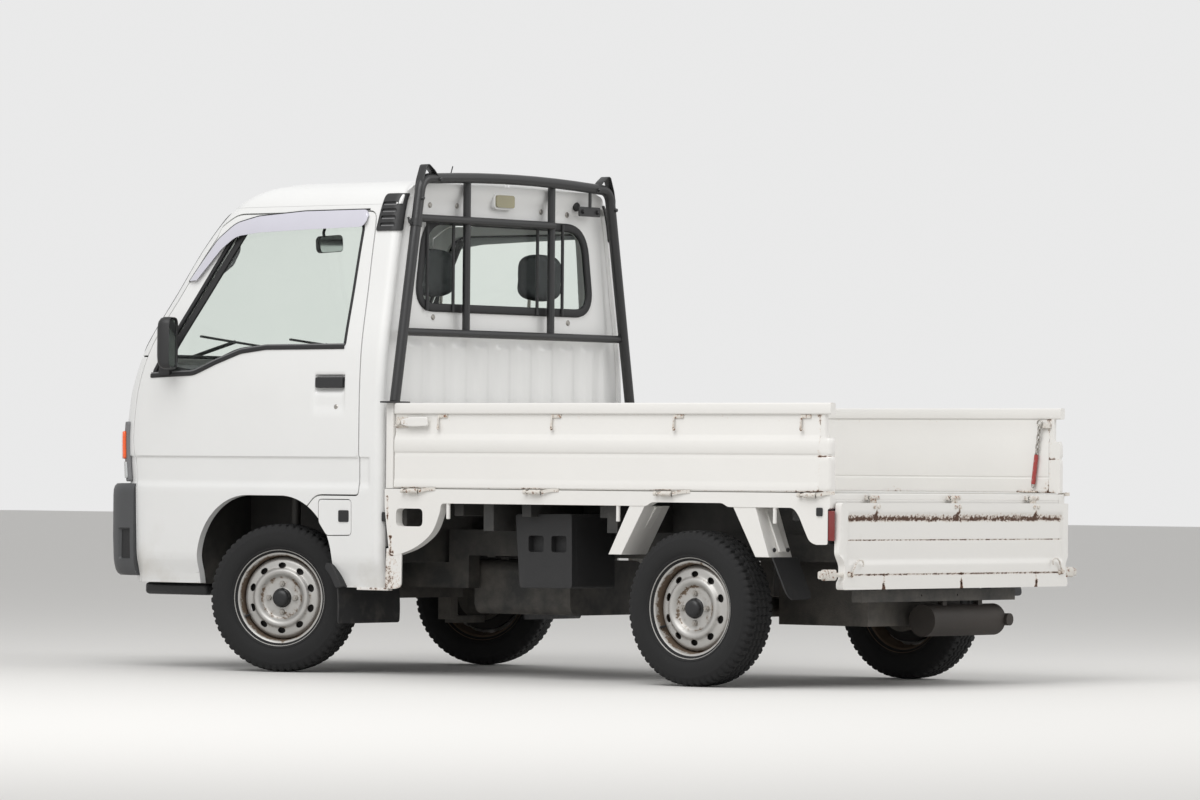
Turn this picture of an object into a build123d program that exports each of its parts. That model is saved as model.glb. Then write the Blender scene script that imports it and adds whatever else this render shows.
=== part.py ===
# Kei truck: a small cab-over flat-bed truck with a rear engine, driver on the right.
# Millimetres, X forward, Y left, Z up, origin on the ground in the middle of its outline.
import os
from math import cos, radians, sin
from build123d import *

os.makedirs("parts", exist_ok=True)

# Overall sizes, as parked with the tailgate hanging open
bed_rear_behind = 3272
gate_thickness = 28
tail_hinge_stand = 21
rest_length = bed_rear_behind + tail_hinge_stand + gate_thickness / 2
front_x = rest_length / 2
wheelbase = 1885
front_overhang = 798
front_axle_x = front_x - front_overhang
rear_axle_x = front_axle_x - wheelbase
half_track = 612
tyre_radius = 262
tyre_width = 145
rim_radius = 170
pin_clearance = 0.3
body_gap = 6

# Cab shell: wall, rear edge and lower edge
cab_wall = 32
cab_rear_x = front_x - 1338
cab_bottom_z = 305
roof_height = 1745
roof_split_z = roof_height - 97
waist_z = roof_split_z - 293
brow_z = roof_split_z - 108
roof_sheet = 24
header_half = 500
header_lap = 10
front_panel_depth = 300
front_bow = 24
rear_corner = 30
# Larger than the cab in every direction, for the blocks that cut it into its panels
cut_size = 4000

# Cab sections from the sill to the roof
# columns: height, front edge at the corner (behind the bumper face), half width, corner radius
cab_sections = [
    (cab_bottom_z, 118, 662, 110),
    (400, 98, 684, 140),
    (820, 62, 691, 150),
    (960, 76, 690, 150),
    (1105, 120, 684, 150),
    (waist_z, 277, 645, 135),
    (brow_z, 404, 614, 125),
    (roof_split_z + 8, 515, 588, 120),
    (roof_height - 37, 610, 552, 115),
    (roof_height - 10, 740, 470, 110),
    (roof_height, 950, 300, 90),
]

# Wheel arch in the side of the cab
arch_half_width = 318
arch_top_z = 624
arch_corner = 240
housing_half_length = 326
housing_inner_y = 384
housing_outer_y = 638
sheet = 15

# Door outline, seen from the side
door_rear_x = front_x - 1237
door_bottom_z = cab_bottom_z + 2
door_step_z = 630
door_step_x = front_x - 1040
door_join_angle = 31
door_top_z = roof_split_z - 26
# columns: height, distance of the door's front edge behind the bumper face
door_front_edge = [
    (door_bottom_z, 190),
    (660, 190),
    (820, 172),
    (970, 186),
    (1100, 222),
    (waist_z, 372),
    (brow_z, 500),
    (door_top_z - 26, 545),
]
door_top_front_x = front_x - 590
hinge_inset = 3
hinge_pin_radius = 3
hinge_knuckle_radius = 6
hinge_leaf = 24
hinge_leaf_half = 3
hinge_lug = 16
hinge_relief = 11
door_hinge_x = front_x - door_front_edge[0][1] - hinge_inset
door_hinge_y = 681
hinge_heights = (722, 940)
hinge_length = 50

# Door window
belt_rear_z = 1150
belt_front_z = 1052
window_top_z = door_top_z - 34
window_rear_low_x = door_rear_x + 75
window_rear_top_x = door_rear_x + 50
window_step_rear_x = front_x - 640
window_step_front_x = front_x - 410
window_front_low_x = front_x - 262
window_front_top_x = front_x - 605
glass_depth = 10
glass_thickness = 5

# Rain visor over the door window, door handle and vent louvre on the rear pillar
visor_stand = 14
visor_low_z = window_top_z - 22
visor_high_z = door_top_z - 3
visor_rear_x = door_rear_x + 6
visor_edge = 4
visor_foot_z = waist_z + 40
visor_width = 52
handle_stand = 8
handle_rear_x = door_rear_x + 76
handle_length = 125
handle_low_z = 1003
handle_height = 38
louvre_front_x = cab_rear_x + 76
louvre_low_z = window_top_z - 34
louvre_high_z = roof_split_z - 4
louvre_pitch = 26
louvre_slot = 12
louvre_count = 3

# Windscreen and rear window
screen_base_z = 1118
screen_top_z = roof_split_z - 20
screen_depth = 700
screen_base_half = 600
screen_top_half = 524
rear_window_half = 492
rear_window_high_z = roof_height - 147
rear_window_low_z = rear_window_high_z - 308
rear_window_corner = 70
rear_wall_recess = 16
rear_wall_thickness = 22
rear_wall_bottom_z = 440
rib_depth = 9
rib_count = 9
rib_width = 60
rib_pitch = 122
rib_low_z = 560
rib_high_z = rear_window_low_z - 110

# Load bed
bed_front_x = front_x - 1360
bed_rear_x = front_x - bed_rear_behind
bed_half_width = 690
bed_floor_z = 652
bed_sheet = 22
deck_rise = 3
sill_height = 49
sill_thickness = 34
gate_height = 292
gate_bottom_z = bed_floor_z + body_gap
gate_hinge_z = 645
gate_top_z = gate_bottom_z + gate_height
gate_outer_y = 689
gate_axis_y = 702
gate_end_gap = 8
front_wall_thickness = 16
tailgate_half_width = 682
tailgate_axis_x = bed_rear_x - tail_hinge_stand
tailgate_axis_z = 638
tailgate_height = 286
tailgate_lift = 17
hinge_barrel_radius = 8
side_hinge_offsets = (-490, 107, 669, 1214)
tail_hinge_offsets = (-470, 0, 470)
hinge_barrel_length = 70

# Cab inside: floor levels, seats, dashboard and steering
platform_z = 700
platform_front_x = front_x - 660
footwell_z = 410
toe_x = front_x - 130
toe_top_z = 760
toe_half = 530
dash_half = 610
dash_rear_x = front_x - 400
dash_top_z = 1040
seat_y = 305
seat_width = 470
seat_rear_x = cab_rear_x + 54
seat_front_x = front_x - 740
seat_thickness = 130
seat_back_top_z = 1290
headrest_low_z = 1330
headrest_high_z = 1505
headrest_width = 225
headrest_depth = 90
wheel_x = front_x - 560
wheel_z = 1075
column_slope = 48
column_start = 46
column_length = 260
column_radius = 26
steering_radius = 185
steering_rim = 11
steering_hub = 34
spoke_width = 34
spoke_thickness = 8

# Lamps, bumper and splash shield
lamp_stand = 22
lamp_low_z = 668
lamp_high_z = 880
lamp_reach = 90
lamp_inner_half = 330
bumper_low_z = 330
bumper_high_z = 664
bumper_corner = 119
bumper_half = 696
bumper_bow = 18
bumper_rear_x = front_x - 183
shield_rear = 345
shield_front_x = front_x - 150
shield_half = 600
shield_depth = 42
slot_front_x = front_x - 113
slot_length = 50
slot_low_z = 392
slot_height = 104
slot_depth = 12

# Door mirrors
mirror_x = front_x - 400
mirror_depth = 46
mirror_width = 104
mirror_outer_y = 818
mirror_low_z = 1070
mirror_high_z = 1256
mirror_arm_length = 90
mirror_arm_width = 26
mirror_arm_height = 40
mirror_arm_y = 722
mirror_arm_z = 1110
mirror_base_x = mirror_x + 84
mirror_base_length = 34

# Small pieces on the bed
gate_pin_radius = 4
peg_xs = (rear_axle_x + 1310, rear_axle_x + 560, rear_axle_x - 365)
peg_width = 16
sill_arch_front = 172
sill_arch_rear = 168
sill_arch_rise = 13
sill_arch_slope = 20
peg_length = 50
corner_length = 149
corner_low_z = 482
plate_length = 249
plate_low_z = 417
plate_edge = 24
tab_low_z = 308
tab_width = 72
tab_round = 30
tab_thickness = 8
corner_post = 34
corner_post_width = 60
latch_z = 884
latch_stand = 10
hook_offsets = (1087, 586, 62, -466)
hook_width = 8
hook_stand = 12
hook_length = 46
front_rib_depth = 7
front_rib_width = 100
front_rib_pitch = 167
front_rib_count = 8
tail_frame = 44
tail_hole_radius = 5.5
tail_hole_places = (431, -20, -469)
tail_hole_drop = 269
tail_notch = 24
tail_notch_top = 206
tail_notch_low = 251
tail_notch_slope = 36
lamp_depth = 16
lamp_width = 150
brace_front = 212
brace_rear = 240
brace_lean = 88
brace_width = 62
brace_depth = 60
brace_low_z = 438
brace_sheet = 6
flap_thickness = 8
flap_inner_y = 352
flap_outer_y = 684
flap_low_z = 176
flap_neck_inner_y = 368
flap_neck_outer_y = 620
rear_flap_inner_y = 560
rear_flap_height = 142
rear_flap_lean = 70

# Running gear details
spindle_end = 20
backing_set = 48
arm_z = 172
arm_eye_radius = 26
ball_pin_radius = 9
ball_pin_length = 40
knuckle_top_z = 330
tread_half_width = 60
rear_bar_depth = 40
plate_hole_pitch = 210
plate_hole_radius = 3.5
muffler_y = -150
muffler_z = 224
tailpipe_radius = 21
tailpipe_length = 70
box_high_z = 572

# Guard frame behind the cab
guard_x = bed_front_x - 22
guard_foot_half = 666
guard_shoulder_half = 532
guard_top_z = roof_height - 3
guard_bend = 80
guard_tube_radius = 15
guard_bar_radius = 11
guard_bar_x = guard_x + 18
guard_low_bar_z = guard_top_z - 542
guard_high_bar_z = guard_top_z - 142
guard_left_upright_y = 258
guard_right_upright_y = -220
# Strap bent into an eye at each shoulder
# columns: distance inwards from the shoulder, height above the hoop's corner
ear_outline = [(-30, -90), (-27, -40), (-14, 2), (6, 44), (16, 50), (30, 46), (60, 26), (92, 6)]
ear_strap = 5
ear_width = 34
foot_pad_inner = 606
foot_pad_outer = 688
foot_pad_half = 13
foot_pad_thickness = 6

# Chassis rails, cross beams and running gear
rail_inner_y = 300
rail_width = 60
rear_rail_low_z = 420
rear_rail_high_z = 510
front_rail_low_z = 305
front_rail_high_z = 395
rail_rear_x = bed_rear_x + 50
rail_front_x = front_x - 170
rail_step_x = bed_front_x - 20
rail_step_length = 90
beam_width = 44
rear_beam_offsets = (0, 860, 1400, 1790)
front_beam_offsets = (2050, 2950)
kingpin_y = 512
kingpin_radius = 17
spindle_radius = 30
spindle_reach = 640
knuckle_size = 64
knuckle_low_z = 150
strut_top_z = 640
arm_thickness = 26
axle_tube_radius = 34
trailing_arm_length = 430
backing_radius = 96
steer_rest = 20

# Engine, tank, exhaust, under-bed box and rear bar
engine_length = 370
engine_gap = 50
engine_half_width = 270
engine_low_z = 205
engine_high_z = 560
tank_rear_x = bed_front_x - 510
tank_length = 430
tank_right_y = -120
tank_left_y = 290
tank_low_z = 215
tank_high_z = 405
tank_round = 40
hanger_width = 36
hanger_thickness = 6
box_rear_x = rear_axle_x + 560
box_length = 250
box_inner_y = 440
box_outer_y = 600
box_low_z = 315
box_hole_width = 66
box_hole_height = 56
box_hole_depth = 30
box_hole_pitch = 100
box_hole_z = 468
box_hole_back = 17
rear_bar_x = bed_rear_x + 60
rear_bar_half = 450
rear_bar_low_z = 290
rear_bar_high_z = 330
muffler_radius = 54
muffler_length = 420

# Wheels
rim_half_width = 58
bead_radius = 161
bead_half_width = 54
disc_radius = 150
disc_thickness = 6
disc_outset = 28
vent_count = 10
vent_circle = 115
vent_radius = 11
hub_outer_radius = 52
hub_length = 44
nut_circle = 50
nut_count = 4
nut_radius = 9


def cab_shape(inset, roof_drop=0, open_ends=0):
    """The cab's outside, drawn in by an inset all round, as a ruled loft of plan sections."""
    with BuildPart() as shape:
        for index, (height, behind, half, corner) in enumerate(cab_sections):
            top = height > roof_split_z
            level = height - roof_drop if top else height
            if index == 0:
                level = height - open_ends
            rear = cab_rear_x - open_ends if open_ends else cab_rear_x + inset
            front = front_x - behind - inset
            side = half - inset
            bend = corner - inset
            back = rear_corner - inset if inset < rear_corner - 4 else 4
            arc = bend * (1 - cos(radians(45)))
            back_arc = back * (1 - cos(radians(45)))
            with BuildSketch(Plane.XY.offset(level)):
                with BuildLine():
                    Line((rear, -side + back), (rear, side - back))
                    ThreePointArc((rear, side - back), (rear + back_arc, side - back_arc), (rear + back, side))
                    Line((rear + back, side), (front - bend, side))
                    ThreePointArc((front - bend, side), (front - arc, side - arc), (front, side - bend))
                    ThreePointArc((front, side - bend), (front + front_bow, 0), (front, bend - side))
                    ThreePointArc((front, bend - side), (front - arc, arc - side), (front - bend, -side))
                    Line((front - bend, -side), (rear + back, -side))
                    ThreePointArc((rear + back, -side), (rear + back_arc, back_arc - side), (rear, back - side))
                make_face()
        loft(ruled=True)
    return shape.part


def side_prism(y_low, y_high):
    """A sketch plane at the left end of a solid that runs along Y, with its length."""
    return Plane.XZ.offset(-y_high), y_high - y_low


def arch_lines(reach):
    """The wheel arch's outline, from the front foot over the top to the rear foot."""
    flat = arch_half_width - arch_corner
    low = arch_top_z - arch_corner
    slant = arch_corner * sin(radians(45))
    Line((front_axle_x + arch_half_width, -reach), (front_axle_x + arch_half_width, low))
    ThreePointArc(
        (front_axle_x + arch_half_width, low),
        (front_axle_x + flat + slant, low + slant),
        (front_axle_x + flat, arch_top_z),
    )
    Line((front_axle_x + flat, arch_top_z), (front_axle_x - flat, arch_top_z))
    ThreePointArc(
        (front_axle_x - flat, arch_top_z),
        (front_axle_x - flat - slant, low + slant),
        (front_axle_x - arch_half_width, low),
    )
    Line((front_axle_x - arch_half_width, low), (front_axle_x - arch_half_width, -reach))
    Line((front_axle_x - arch_half_width, -reach), (front_axle_x + arch_half_width, -reach))


def door_lines():
    """The door's outline, with the front of the wheel arch cut out of its lower edge."""
    flat = arch_half_width - arch_corner
    low = arch_top_z - arch_corner
    slant = arch_corner * sin(radians(45))
    join_drop = radians(door_join_angle)
    half_drop = radians(door_join_angle / 2)
    arch_front = front_axle_x + arch_half_width
    join = (front_axle_x - flat - arch_corner * sin(join_drop), low + arch_corner * cos(join_drop))
    halfway = (front_axle_x - flat - arch_corner * sin(half_drop), low + arch_corner * cos(half_drop))
    Line((arch_front, door_bottom_z), (arch_front, low))
    ThreePointArc((arch_front, low), (front_axle_x + flat + slant, low + slant), (front_axle_x + flat, arch_top_z))
    Line((front_axle_x + flat, arch_top_z), (front_axle_x - flat, arch_top_z))
    ThreePointArc((front_axle_x - flat, arch_top_z), halfway, join)
    edge = [(front_x - behind, height) for height, behind in reversed(door_front_edge)]
    Polyline(
        join,
        (door_step_x, door_step_z),
        (door_rear_x, door_step_z),
        (door_rear_x, window_top_z - 60),
        (door_rear_x - 4, door_top_z - 24),
        (door_rear_x + 20, door_top_z),
        (door_top_front_x, door_top_z),
        *edge,
        (arch_front, door_bottom_z),
    )


def window_lines(margin):
    """The door window's outline, grown by a margin."""
    Polyline(
        (window_rear_low_x - margin, belt_rear_z - margin),
        (window_rear_top_x - margin, window_top_z + margin),
        (window_front_top_x + margin, window_top_z + margin),
        (window_front_low_x + margin, belt_front_z - margin),
        (window_step_front_x, belt_front_z - margin),
        (window_step_rear_x, belt_rear_z - margin),
        close=True,
    )


cab_outer = cab_shape(0)
cab_inner = cab_shape(cab_wall, roof_drop=roof_sheet, open_ends=12)
glass_outer = cab_shape(glass_depth, roof_drop=glass_depth)
glass_inner = cab_shape(glass_depth + glass_thickness, roof_drop=glass_depth + glass_thickness)
cab_clear = cab_shape(cab_wall + body_gap, roof_drop=roof_sheet + body_gap)
visor_outer = cab_shape(-visor_stand)
trim_outer = cab_shape(-handle_stand)

with BuildPart() as cab_shell:
    add(cab_outer)
    add(cab_inner, mode=Mode.SUBTRACT)

with BuildPart() as glass_shell:
    add(glass_outer)
    add(glass_inner, mode=Mode.SUBTRACT)

with BuildPart() as window_prism:
    plane, reach = side_prism(-cut_size / 2, cut_size / 2)
    with BuildSketch(plane):
        with BuildLine():
            window_lines(0)
        make_face()
    extrude(amount=reach)

with BuildPart() as door_prism:
    plane, reach = side_prism(-cut_size / 2, cut_size / 2)
    with BuildSketch(plane):
        with BuildLine():
            door_lines()
        make_face()
    extrude(amount=reach)

with BuildPart() as aperture_prism:
    plane, reach = side_prism(-cut_size / 2, cut_size / 2)
    with BuildSketch(plane):
        with BuildLine():
            door_lines()
        make_face()
        offset(amount=body_gap, kind=Kind.INTERSECTION)
    extrude(amount=reach)

with BuildPart() as arch_prism:
    plane, reach = side_prism(-cut_size / 2, cut_size / 2)
    with BuildSketch(plane):
        with BuildLine():
            arch_lines(0)
        make_face()
    extrude(amount=reach)

with BuildPart() as screen_prism:
    with BuildSketch(Plane.YZ.offset(front_x - screen_depth)):
        with BuildLine():
            Polyline(
                (-screen_base_half, screen_base_z),
                (screen_base_half, screen_base_z),
                (screen_top_half, screen_top_z),
                (-screen_top_half, screen_top_z),
                close=True,
            )
        make_face()
    extrude(amount=screen_depth)

# Rain visors: strips that stand proud along the top and the front of both door windows
with BuildPart() as visors:
    add(visor_outer)
    add(cab_outer, mode=Mode.SUBTRACT)
    plane, reach = side_prism(-cut_size / 2, cut_size / 2)
    with BuildSketch(plane):
        with BuildLine():
            brow_x = front_x - door_front_edge[6][1] - visor_edge
            waist_x = front_x - door_front_edge[5][1] - visor_edge
            foot_x = waist_x + (brow_x - waist_x) * (visor_foot_z - waist_z) / (brow_z - waist_z)
            top_x = front_x - door_front_edge[7][1] - visor_edge
            Polyline(
                (visor_rear_x, visor_low_z),
                (visor_rear_x, visor_high_z),
                (door_top_front_x - visor_edge, visor_high_z),
                (top_x, door_front_edge[7][0]),
                (brow_x, brow_z),
                (foot_x, visor_foot_z),
                (foot_x - visor_width, visor_foot_z),
                (brow_x - visor_width, brow_z - 14),
                (brow_x - 2 * visor_width, visor_low_z),
                close=True,
            )
        make_face()
    extrude(amount=reach, mode=Mode.INTERSECT)

# Outer door handles, one on each side
with BuildPart() as handles:
    add(trim_outer)
    add(cab_outer, mode=Mode.SUBTRACT)
    with Locations((handle_rear_x + handle_length / 2, 0, handle_low_z + handle_height / 2)):
        Box(handle_length, cut_size, handle_height, mode=Mode.INTERSECT)

# Slotted vent louvres on the rear pillars
with BuildPart() as louvres:
    add(trim_outer)
    add(cab_outer, mode=Mode.SUBTRACT)
    with Locations(((cab_rear_x + rear_corner + louvre_front_x) / 2, 0, (louvre_low_z + louvre_high_z) / 2)):
        Box(louvre_front_x - cab_rear_x - rear_corner, cut_size, louvre_high_z - louvre_low_z, mode=Mode.INTERSECT)
    for level in range(louvre_count):
        rise = (level - (louvre_count - 1) / 2) * louvre_pitch
        with Locations(((cab_rear_x + rear_corner + louvre_front_x) / 2, 0, (louvre_low_z + louvre_high_z) / 2 + rise)):
            Box(louvre_front_x - cab_rear_x - rear_corner - 16, cut_size, louvre_slot, mode=Mode.SUBTRACT)

# Doors, each cut from its side of the cab shell
for side, name in ((1, "left"), (-1, "right")):
    with BuildPart() as door:
        add(cab_shell.part)
        add(door_prism.part, mode=Mode.INTERSECT)
        add(window_prism.part, mode=Mode.SUBTRACT)
        add(visors.part)
        add(handles.part)
        with Locations((0, side * cut_size / 2, 0)):
            Box(cut_size, cut_size, cut_size, mode=Mode.INTERSECT)
        for height in hinge_heights:
            for end in (-1, 1):
                with Locations((
                    door_hinge_x + (hinge_leaf - hinge_relief) / 2,
                    side * door_hinge_y,
                    height + end * (hinge_length + hinge_lug) / 2,
                )):
                    Box(hinge_leaf + hinge_relief, 4 * hinge_leaf, hinge_lug + 2, mode=Mode.SUBTRACT)
            with Locations((door_hinge_x - hinge_leaf / 2, side * door_hinge_y, height)):
                Box(hinge_leaf, 2 * hinge_leaf_half, hinge_length)
            with Locations((door_hinge_x, side * door_hinge_y, height)):
                Cylinder(hinge_knuckle_radius, hinge_length)
                Cylinder(hinge_pin_radius + pin_clearance, 2 * hinge_length, mode=Mode.SUBTRACT)
    door.part.label = "door_" + name
    export_step(door.part, "parts/door_" + name + ".step")

    with BuildPart() as glass:
        add(glass_shell.part)
        add(window_prism.part, mode=Mode.INTERSECT)
        with Locations((0, side * cut_size / 2, 0)):
            Box(cut_size, cut_size, cut_size, mode=Mode.INTERSECT)
    glass.part.label = "door_glass_" + name
    export_step(glass.part, "parts/door_glass_" + name + ".step")

# Cab sides: rear pillar, lower rear corner, rail over the door and windscreen pillar
with BuildPart() as roof_region:
    with Locations((0, 0, roof_split_z + cut_size / 2)):
        Box(cut_size, cut_size, cut_size)
    with Locations((0, 0, roof_split_z)):
        Box(cut_size, 2 * header_half, 2 * (roof_split_z - screen_top_z + header_lap))

with BuildPart() as front_region:
    with Locations((front_x - front_panel_depth + cut_size / 2, 0, screen_base_z - cut_size / 2)):
        Box(cut_size, cut_size, cut_size)

with BuildPart() as cab_sides:
    add(cab_shell.part)
    add(roof_region.part, mode=Mode.SUBTRACT)
    add(front_region.part, mode=Mode.SUBTRACT)
    add(aperture_prism.part, mode=Mode.SUBTRACT)
    add(arch_prism.part, mode=Mode.SUBTRACT)
    add(screen_prism.part, mode=Mode.SUBTRACT)

for side, name in ((1, "left"), (-1, "right")):
    with BuildPart() as cab_side:
        add(cab_sides.part)
        add(louvres.part)
        with Locations((0, side * cut_size / 2, 0)):
            Box(cut_size, cut_size, cut_size, mode=Mode.INTERSECT)
    cab_side.part.label = "cab_side_" + name
    export_step(cab_side.part, "parts/cab_side_" + name + ".step")

# Roof with the header over the windscreen
with BuildPart() as roof_panel:
    add(cab_shell.part)
    add(roof_region.part, mode=Mode.INTERSECT)
    add(screen_prism.part, mode=Mode.SUBTRACT)
roof_panel.part.label = "roof_panel"
export_step(roof_panel.part, "parts/roof_panel.step")

# Front panel below the windscreen, with the pins of the door hinges
with BuildPart() as front_panel:
    add(cab_shell.part)
    add(front_region.part, mode=Mode.INTERSECT)
    add(aperture_prism.part, mode=Mode.SUBTRACT)
    add(arch_prism.part, mode=Mode.SUBTRACT)
    for side in (1, -1):
        for height in hinge_heights:
            for end in (-1, 1):
                with Locations((door_hinge_x, side * door_hinge_y, height + end * (hinge_length + hinge_lug) / 2)):
                    Cylinder(hinge_knuckle_radius, hinge_lug - 2)
                with Locations((
                    door_hinge_x + hinge_leaf / 2,
                    side * (door_hinge_y - hinge_leaf_half),
                    height + end * (hinge_length + hinge_lug) / 2,
                )):
                    Box(hinge_leaf, 4 * hinge_leaf_half, hinge_lug - 2)
            with Locations((door_hinge_x, side * door_hinge_y, height)):
                Cylinder(hinge_pin_radius, hinge_length + 2 * hinge_lug - 4)
front_panel.part.label = "front_panel"
export_step(front_panel.part, "parts/front_panel.step")

# Rear wall of the cab, let in between the sides, with its window and upright ribs
rear_wall_x = cab_rear_x + rear_wall_recess
with BuildPart() as rear_wall_prism:
    with BuildSketch(Plane.YZ.offset(cab_rear_x)):
        with Locations((0, (rear_window_low_z + rear_window_high_z) / 2)):
            RectangleRounded(2 * rear_window_half, rear_window_high_z - rear_window_low_z, rear_window_corner)
    extrude(amount=100)

with BuildPart() as cab_rear_wall:
    with Locations((rear_wall_x + rear_wall_thickness / 2, 0, (rear_wall_bottom_z + roof_height) / 2)):
        Box(rear_wall_thickness, cut_size, roof_height - rear_wall_bottom_z)
    add(cab_inner, mode=Mode.INTERSECT)
    add(rear_wall_prism.part, mode=Mode.SUBTRACT)
    with Locations((rear_wall_x - rib_depth / 2, 0, (rib_low_z + rib_high_z) / 2)):
        with GridLocations(1, rib_pitch, 1, rib_count):
            Box(rib_depth, rib_width, rib_high_z - rib_low_z)
cab_rear_wall.part.label = "cab_rear_wall"
export_step(cab_rear_wall.part, "parts/cab_rear_wall.step")

with BuildPart() as rear_window:
    with Locations((rear_wall_x + rear_wall_thickness / 2, 0, (rear_window_low_z + rear_window_high_z) / 2)):
        Box(glass_thickness, cut_size, cut_size)
    add(rear_wall_prism.part, mode=Mode.INTERSECT)
rear_window.part.label = "rear_window"
export_step(rear_window.part, "parts/rear_window.step")

with BuildPart() as windscreen:
    add(glass_shell.part)
    add(screen_prism.part, mode=Mode.INTERSECT)
windscreen.part.label = "windscreen"
export_step(windscreen.part, "parts/windscreen.step")

# Cab floor: footwell, seat platform and the housings over the front wheels
with BuildPart() as cab_floor:
    plane, reach = side_prism(-housing_outer_y, housing_outer_y)
    with BuildSketch(plane):
        with BuildLine():
            Polyline(
                (rear_wall_x + rear_wall_thickness, platform_z),
                (platform_front_x, platform_z),
                (platform_front_x, footwell_z),
                (toe_x, footwell_z),
                (toe_x, footwell_z - sheet),
                (platform_front_x - sheet, footwell_z - sheet),
                (platform_front_x - sheet, platform_z - sheet),
                (rear_wall_x + rear_wall_thickness, platform_z - sheet),
                close=True,
            )
        make_face()
    extrude(amount=reach)
    with Locations((
        (rear_wall_x + rear_wall_thickness + front_axle_x) / 2,
        0,
        footwell_z - sheet / 2,
    )):
        Box(front_axle_x - rear_wall_x - rear_wall_thickness, 2 * housing_outer_y, sheet)
    with Locations((toe_x + sheet / 2, 0, (footwell_z - sheet + toe_top_z) / 2)):
        Box(sheet, 2 * toe_half, toe_top_z - footwell_z + sheet)
    housing_low = cab_bottom_z
    housing_high = arch_top_z + 20 + sheet
    for side in (1, -1):
        with Locations((
            front_axle_x,
            side * (housing_inner_y + housing_outer_y - sheet) / 2,
            (housing_low + housing_high) / 2,
        )):
            Box(
                2 * housing_half_length + 2 * sheet,
                housing_outer_y - housing_inner_y + sheet,
                housing_high - housing_low,
            )
    for side in (1, -1):
        with Locations((
            front_axle_x,
            side * (housing_inner_y + housing_outer_y + 60) / 2,
            (housing_low + housing_high) / 2 - sheet,
        )):
            Box(
                2 * housing_half_length,
                housing_outer_y - housing_inner_y + 60,
                housing_high - housing_low,
                mode=Mode.SUBTRACT,
            )
    add(cab_clear, mode=Mode.INTERSECT)
cab_floor.part.label = "cab_floor"
export_step(cab_floor.part, "parts/cab_floor.step")

# Dashboard, one moulding across the cab, with the steering column
column_plane = Plane(
    origin=(wheel_x, -seat_y, wheel_z),
    x_dir=(0, 1, 0),
    z_dir=(-cos(radians(column_slope)), 0, sin(radians(column_slope))),
)
with BuildPart() as dashboard:
    plane, reach = side_prism(-dash_half, dash_half)
    with BuildSketch(plane):
        with BuildLine():
            Polyline(
                (toe_x, toe_top_z),
                (front_x, toe_top_z),
                (front_x, dash_top_z),
                (dash_rear_x + 60, dash_top_z),
                (dash_rear_x, dash_top_z - 50),
                (dash_rear_x, toe_top_z + 60),
                (dash_rear_x + 70, toe_top_z),
                close=True,
            )
        make_face()
    extrude(amount=reach)
    add(cab_clear, mode=Mode.INTERSECT)
    with BuildSketch(column_plane.offset(-column_start)):
        Circle(column_radius)
    extrude(amount=-column_length)
dashboard.part.label = "dashboard"
export_step(dashboard.part, "parts/dashboard.step")

# Two seats: cushion, reclined back and headrest
with BuildPart() as seats:
    for side in (1, -1):
        plane, reach = side_prism(side * seat_y - seat_width / 2, side * seat_y + seat_width / 2)
        with BuildSketch(plane):
            with BuildLine():
                Polyline(
                    (seat_rear_x + 90, platform_z),
                    (seat_front_x, platform_z),
                    (seat_front_x, platform_z + seat_thickness),
                    (seat_rear_x + 190, platform_z + seat_thickness - 20),
                    (seat_rear_x + 100, seat_back_top_z),
                    (seat_rear_x + 12, seat_back_top_z),
                    close=True,
                )
            make_face()
        extrude(amount=reach)
        with Locations((
            seat_rear_x + 58,
            side * seat_y,
            (headrest_low_z + headrest_high_z) / 2,
        )):
            Box(headrest_depth, headrest_width, headrest_high_z - headrest_low_z)
        with Locations((seat_rear_x + 58, side * seat_y, (seat_back_top_z + headrest_low_z) / 2)):
            with GridLocations(1, headrest_width / 2, 1, 2):
                Cylinder(6, headrest_low_z - seat_back_top_z)
seats.part.label = "seats"
export_step(seats.part, "parts/seats.step")

# Steering wheel on the column
with BuildPart() as steering_wheel:
    with BuildSketch(Plane(origin=column_plane.origin, x_dir=column_plane.x_dir, z_dir=column_plane.y_dir)):
        with Locations((steering_radius, 0)):
            Circle(steering_rim)
    revolve(axis=Axis(column_plane.origin, column_plane.z_dir), revolution_arc=360)
    with BuildSketch(column_plane.offset(-column_start + pin_clearance)):
        Circle(steering_hub)
    extrude(amount=column_start)
    with BuildSketch(column_plane.offset(-spoke_thickness / 2)):
        for turn in (90, 215, 325):
            with PolarLocations(steering_radius / 2, 1, start_angle=turn):
                Rectangle(steering_radius, spoke_width)
    extrude(amount=spoke_thickness)
steering_wheel.part.label = "steering_wheel"
export_step(steering_wheel.part, "parts/steering_wheel.step")

# Head and turn lamps, wrapped round the front corners
lamp_outer = cab_shape(-lamp_stand)
with BuildPart() as headlamps:
    add(lamp_outer)
    add(cab_outer, mode=Mode.SUBTRACT)
    with Locations((front_x - 60, 0, (lamp_low_z + lamp_high_z) / 2)):
        Box(2 * lamp_reach, cut_size, lamp_high_z - lamp_low_z, mode=Mode.INTERSECT)
    with Locations((front_x, 0, (lamp_low_z + lamp_high_z) / 2)):
        Box(cut_size, 2 * lamp_inner_half, cut_size, mode=Mode.SUBTRACT)
headlamps.part.label = "headlamps"
export_step(headlamps.part, "parts/headlamps.step")

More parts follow.
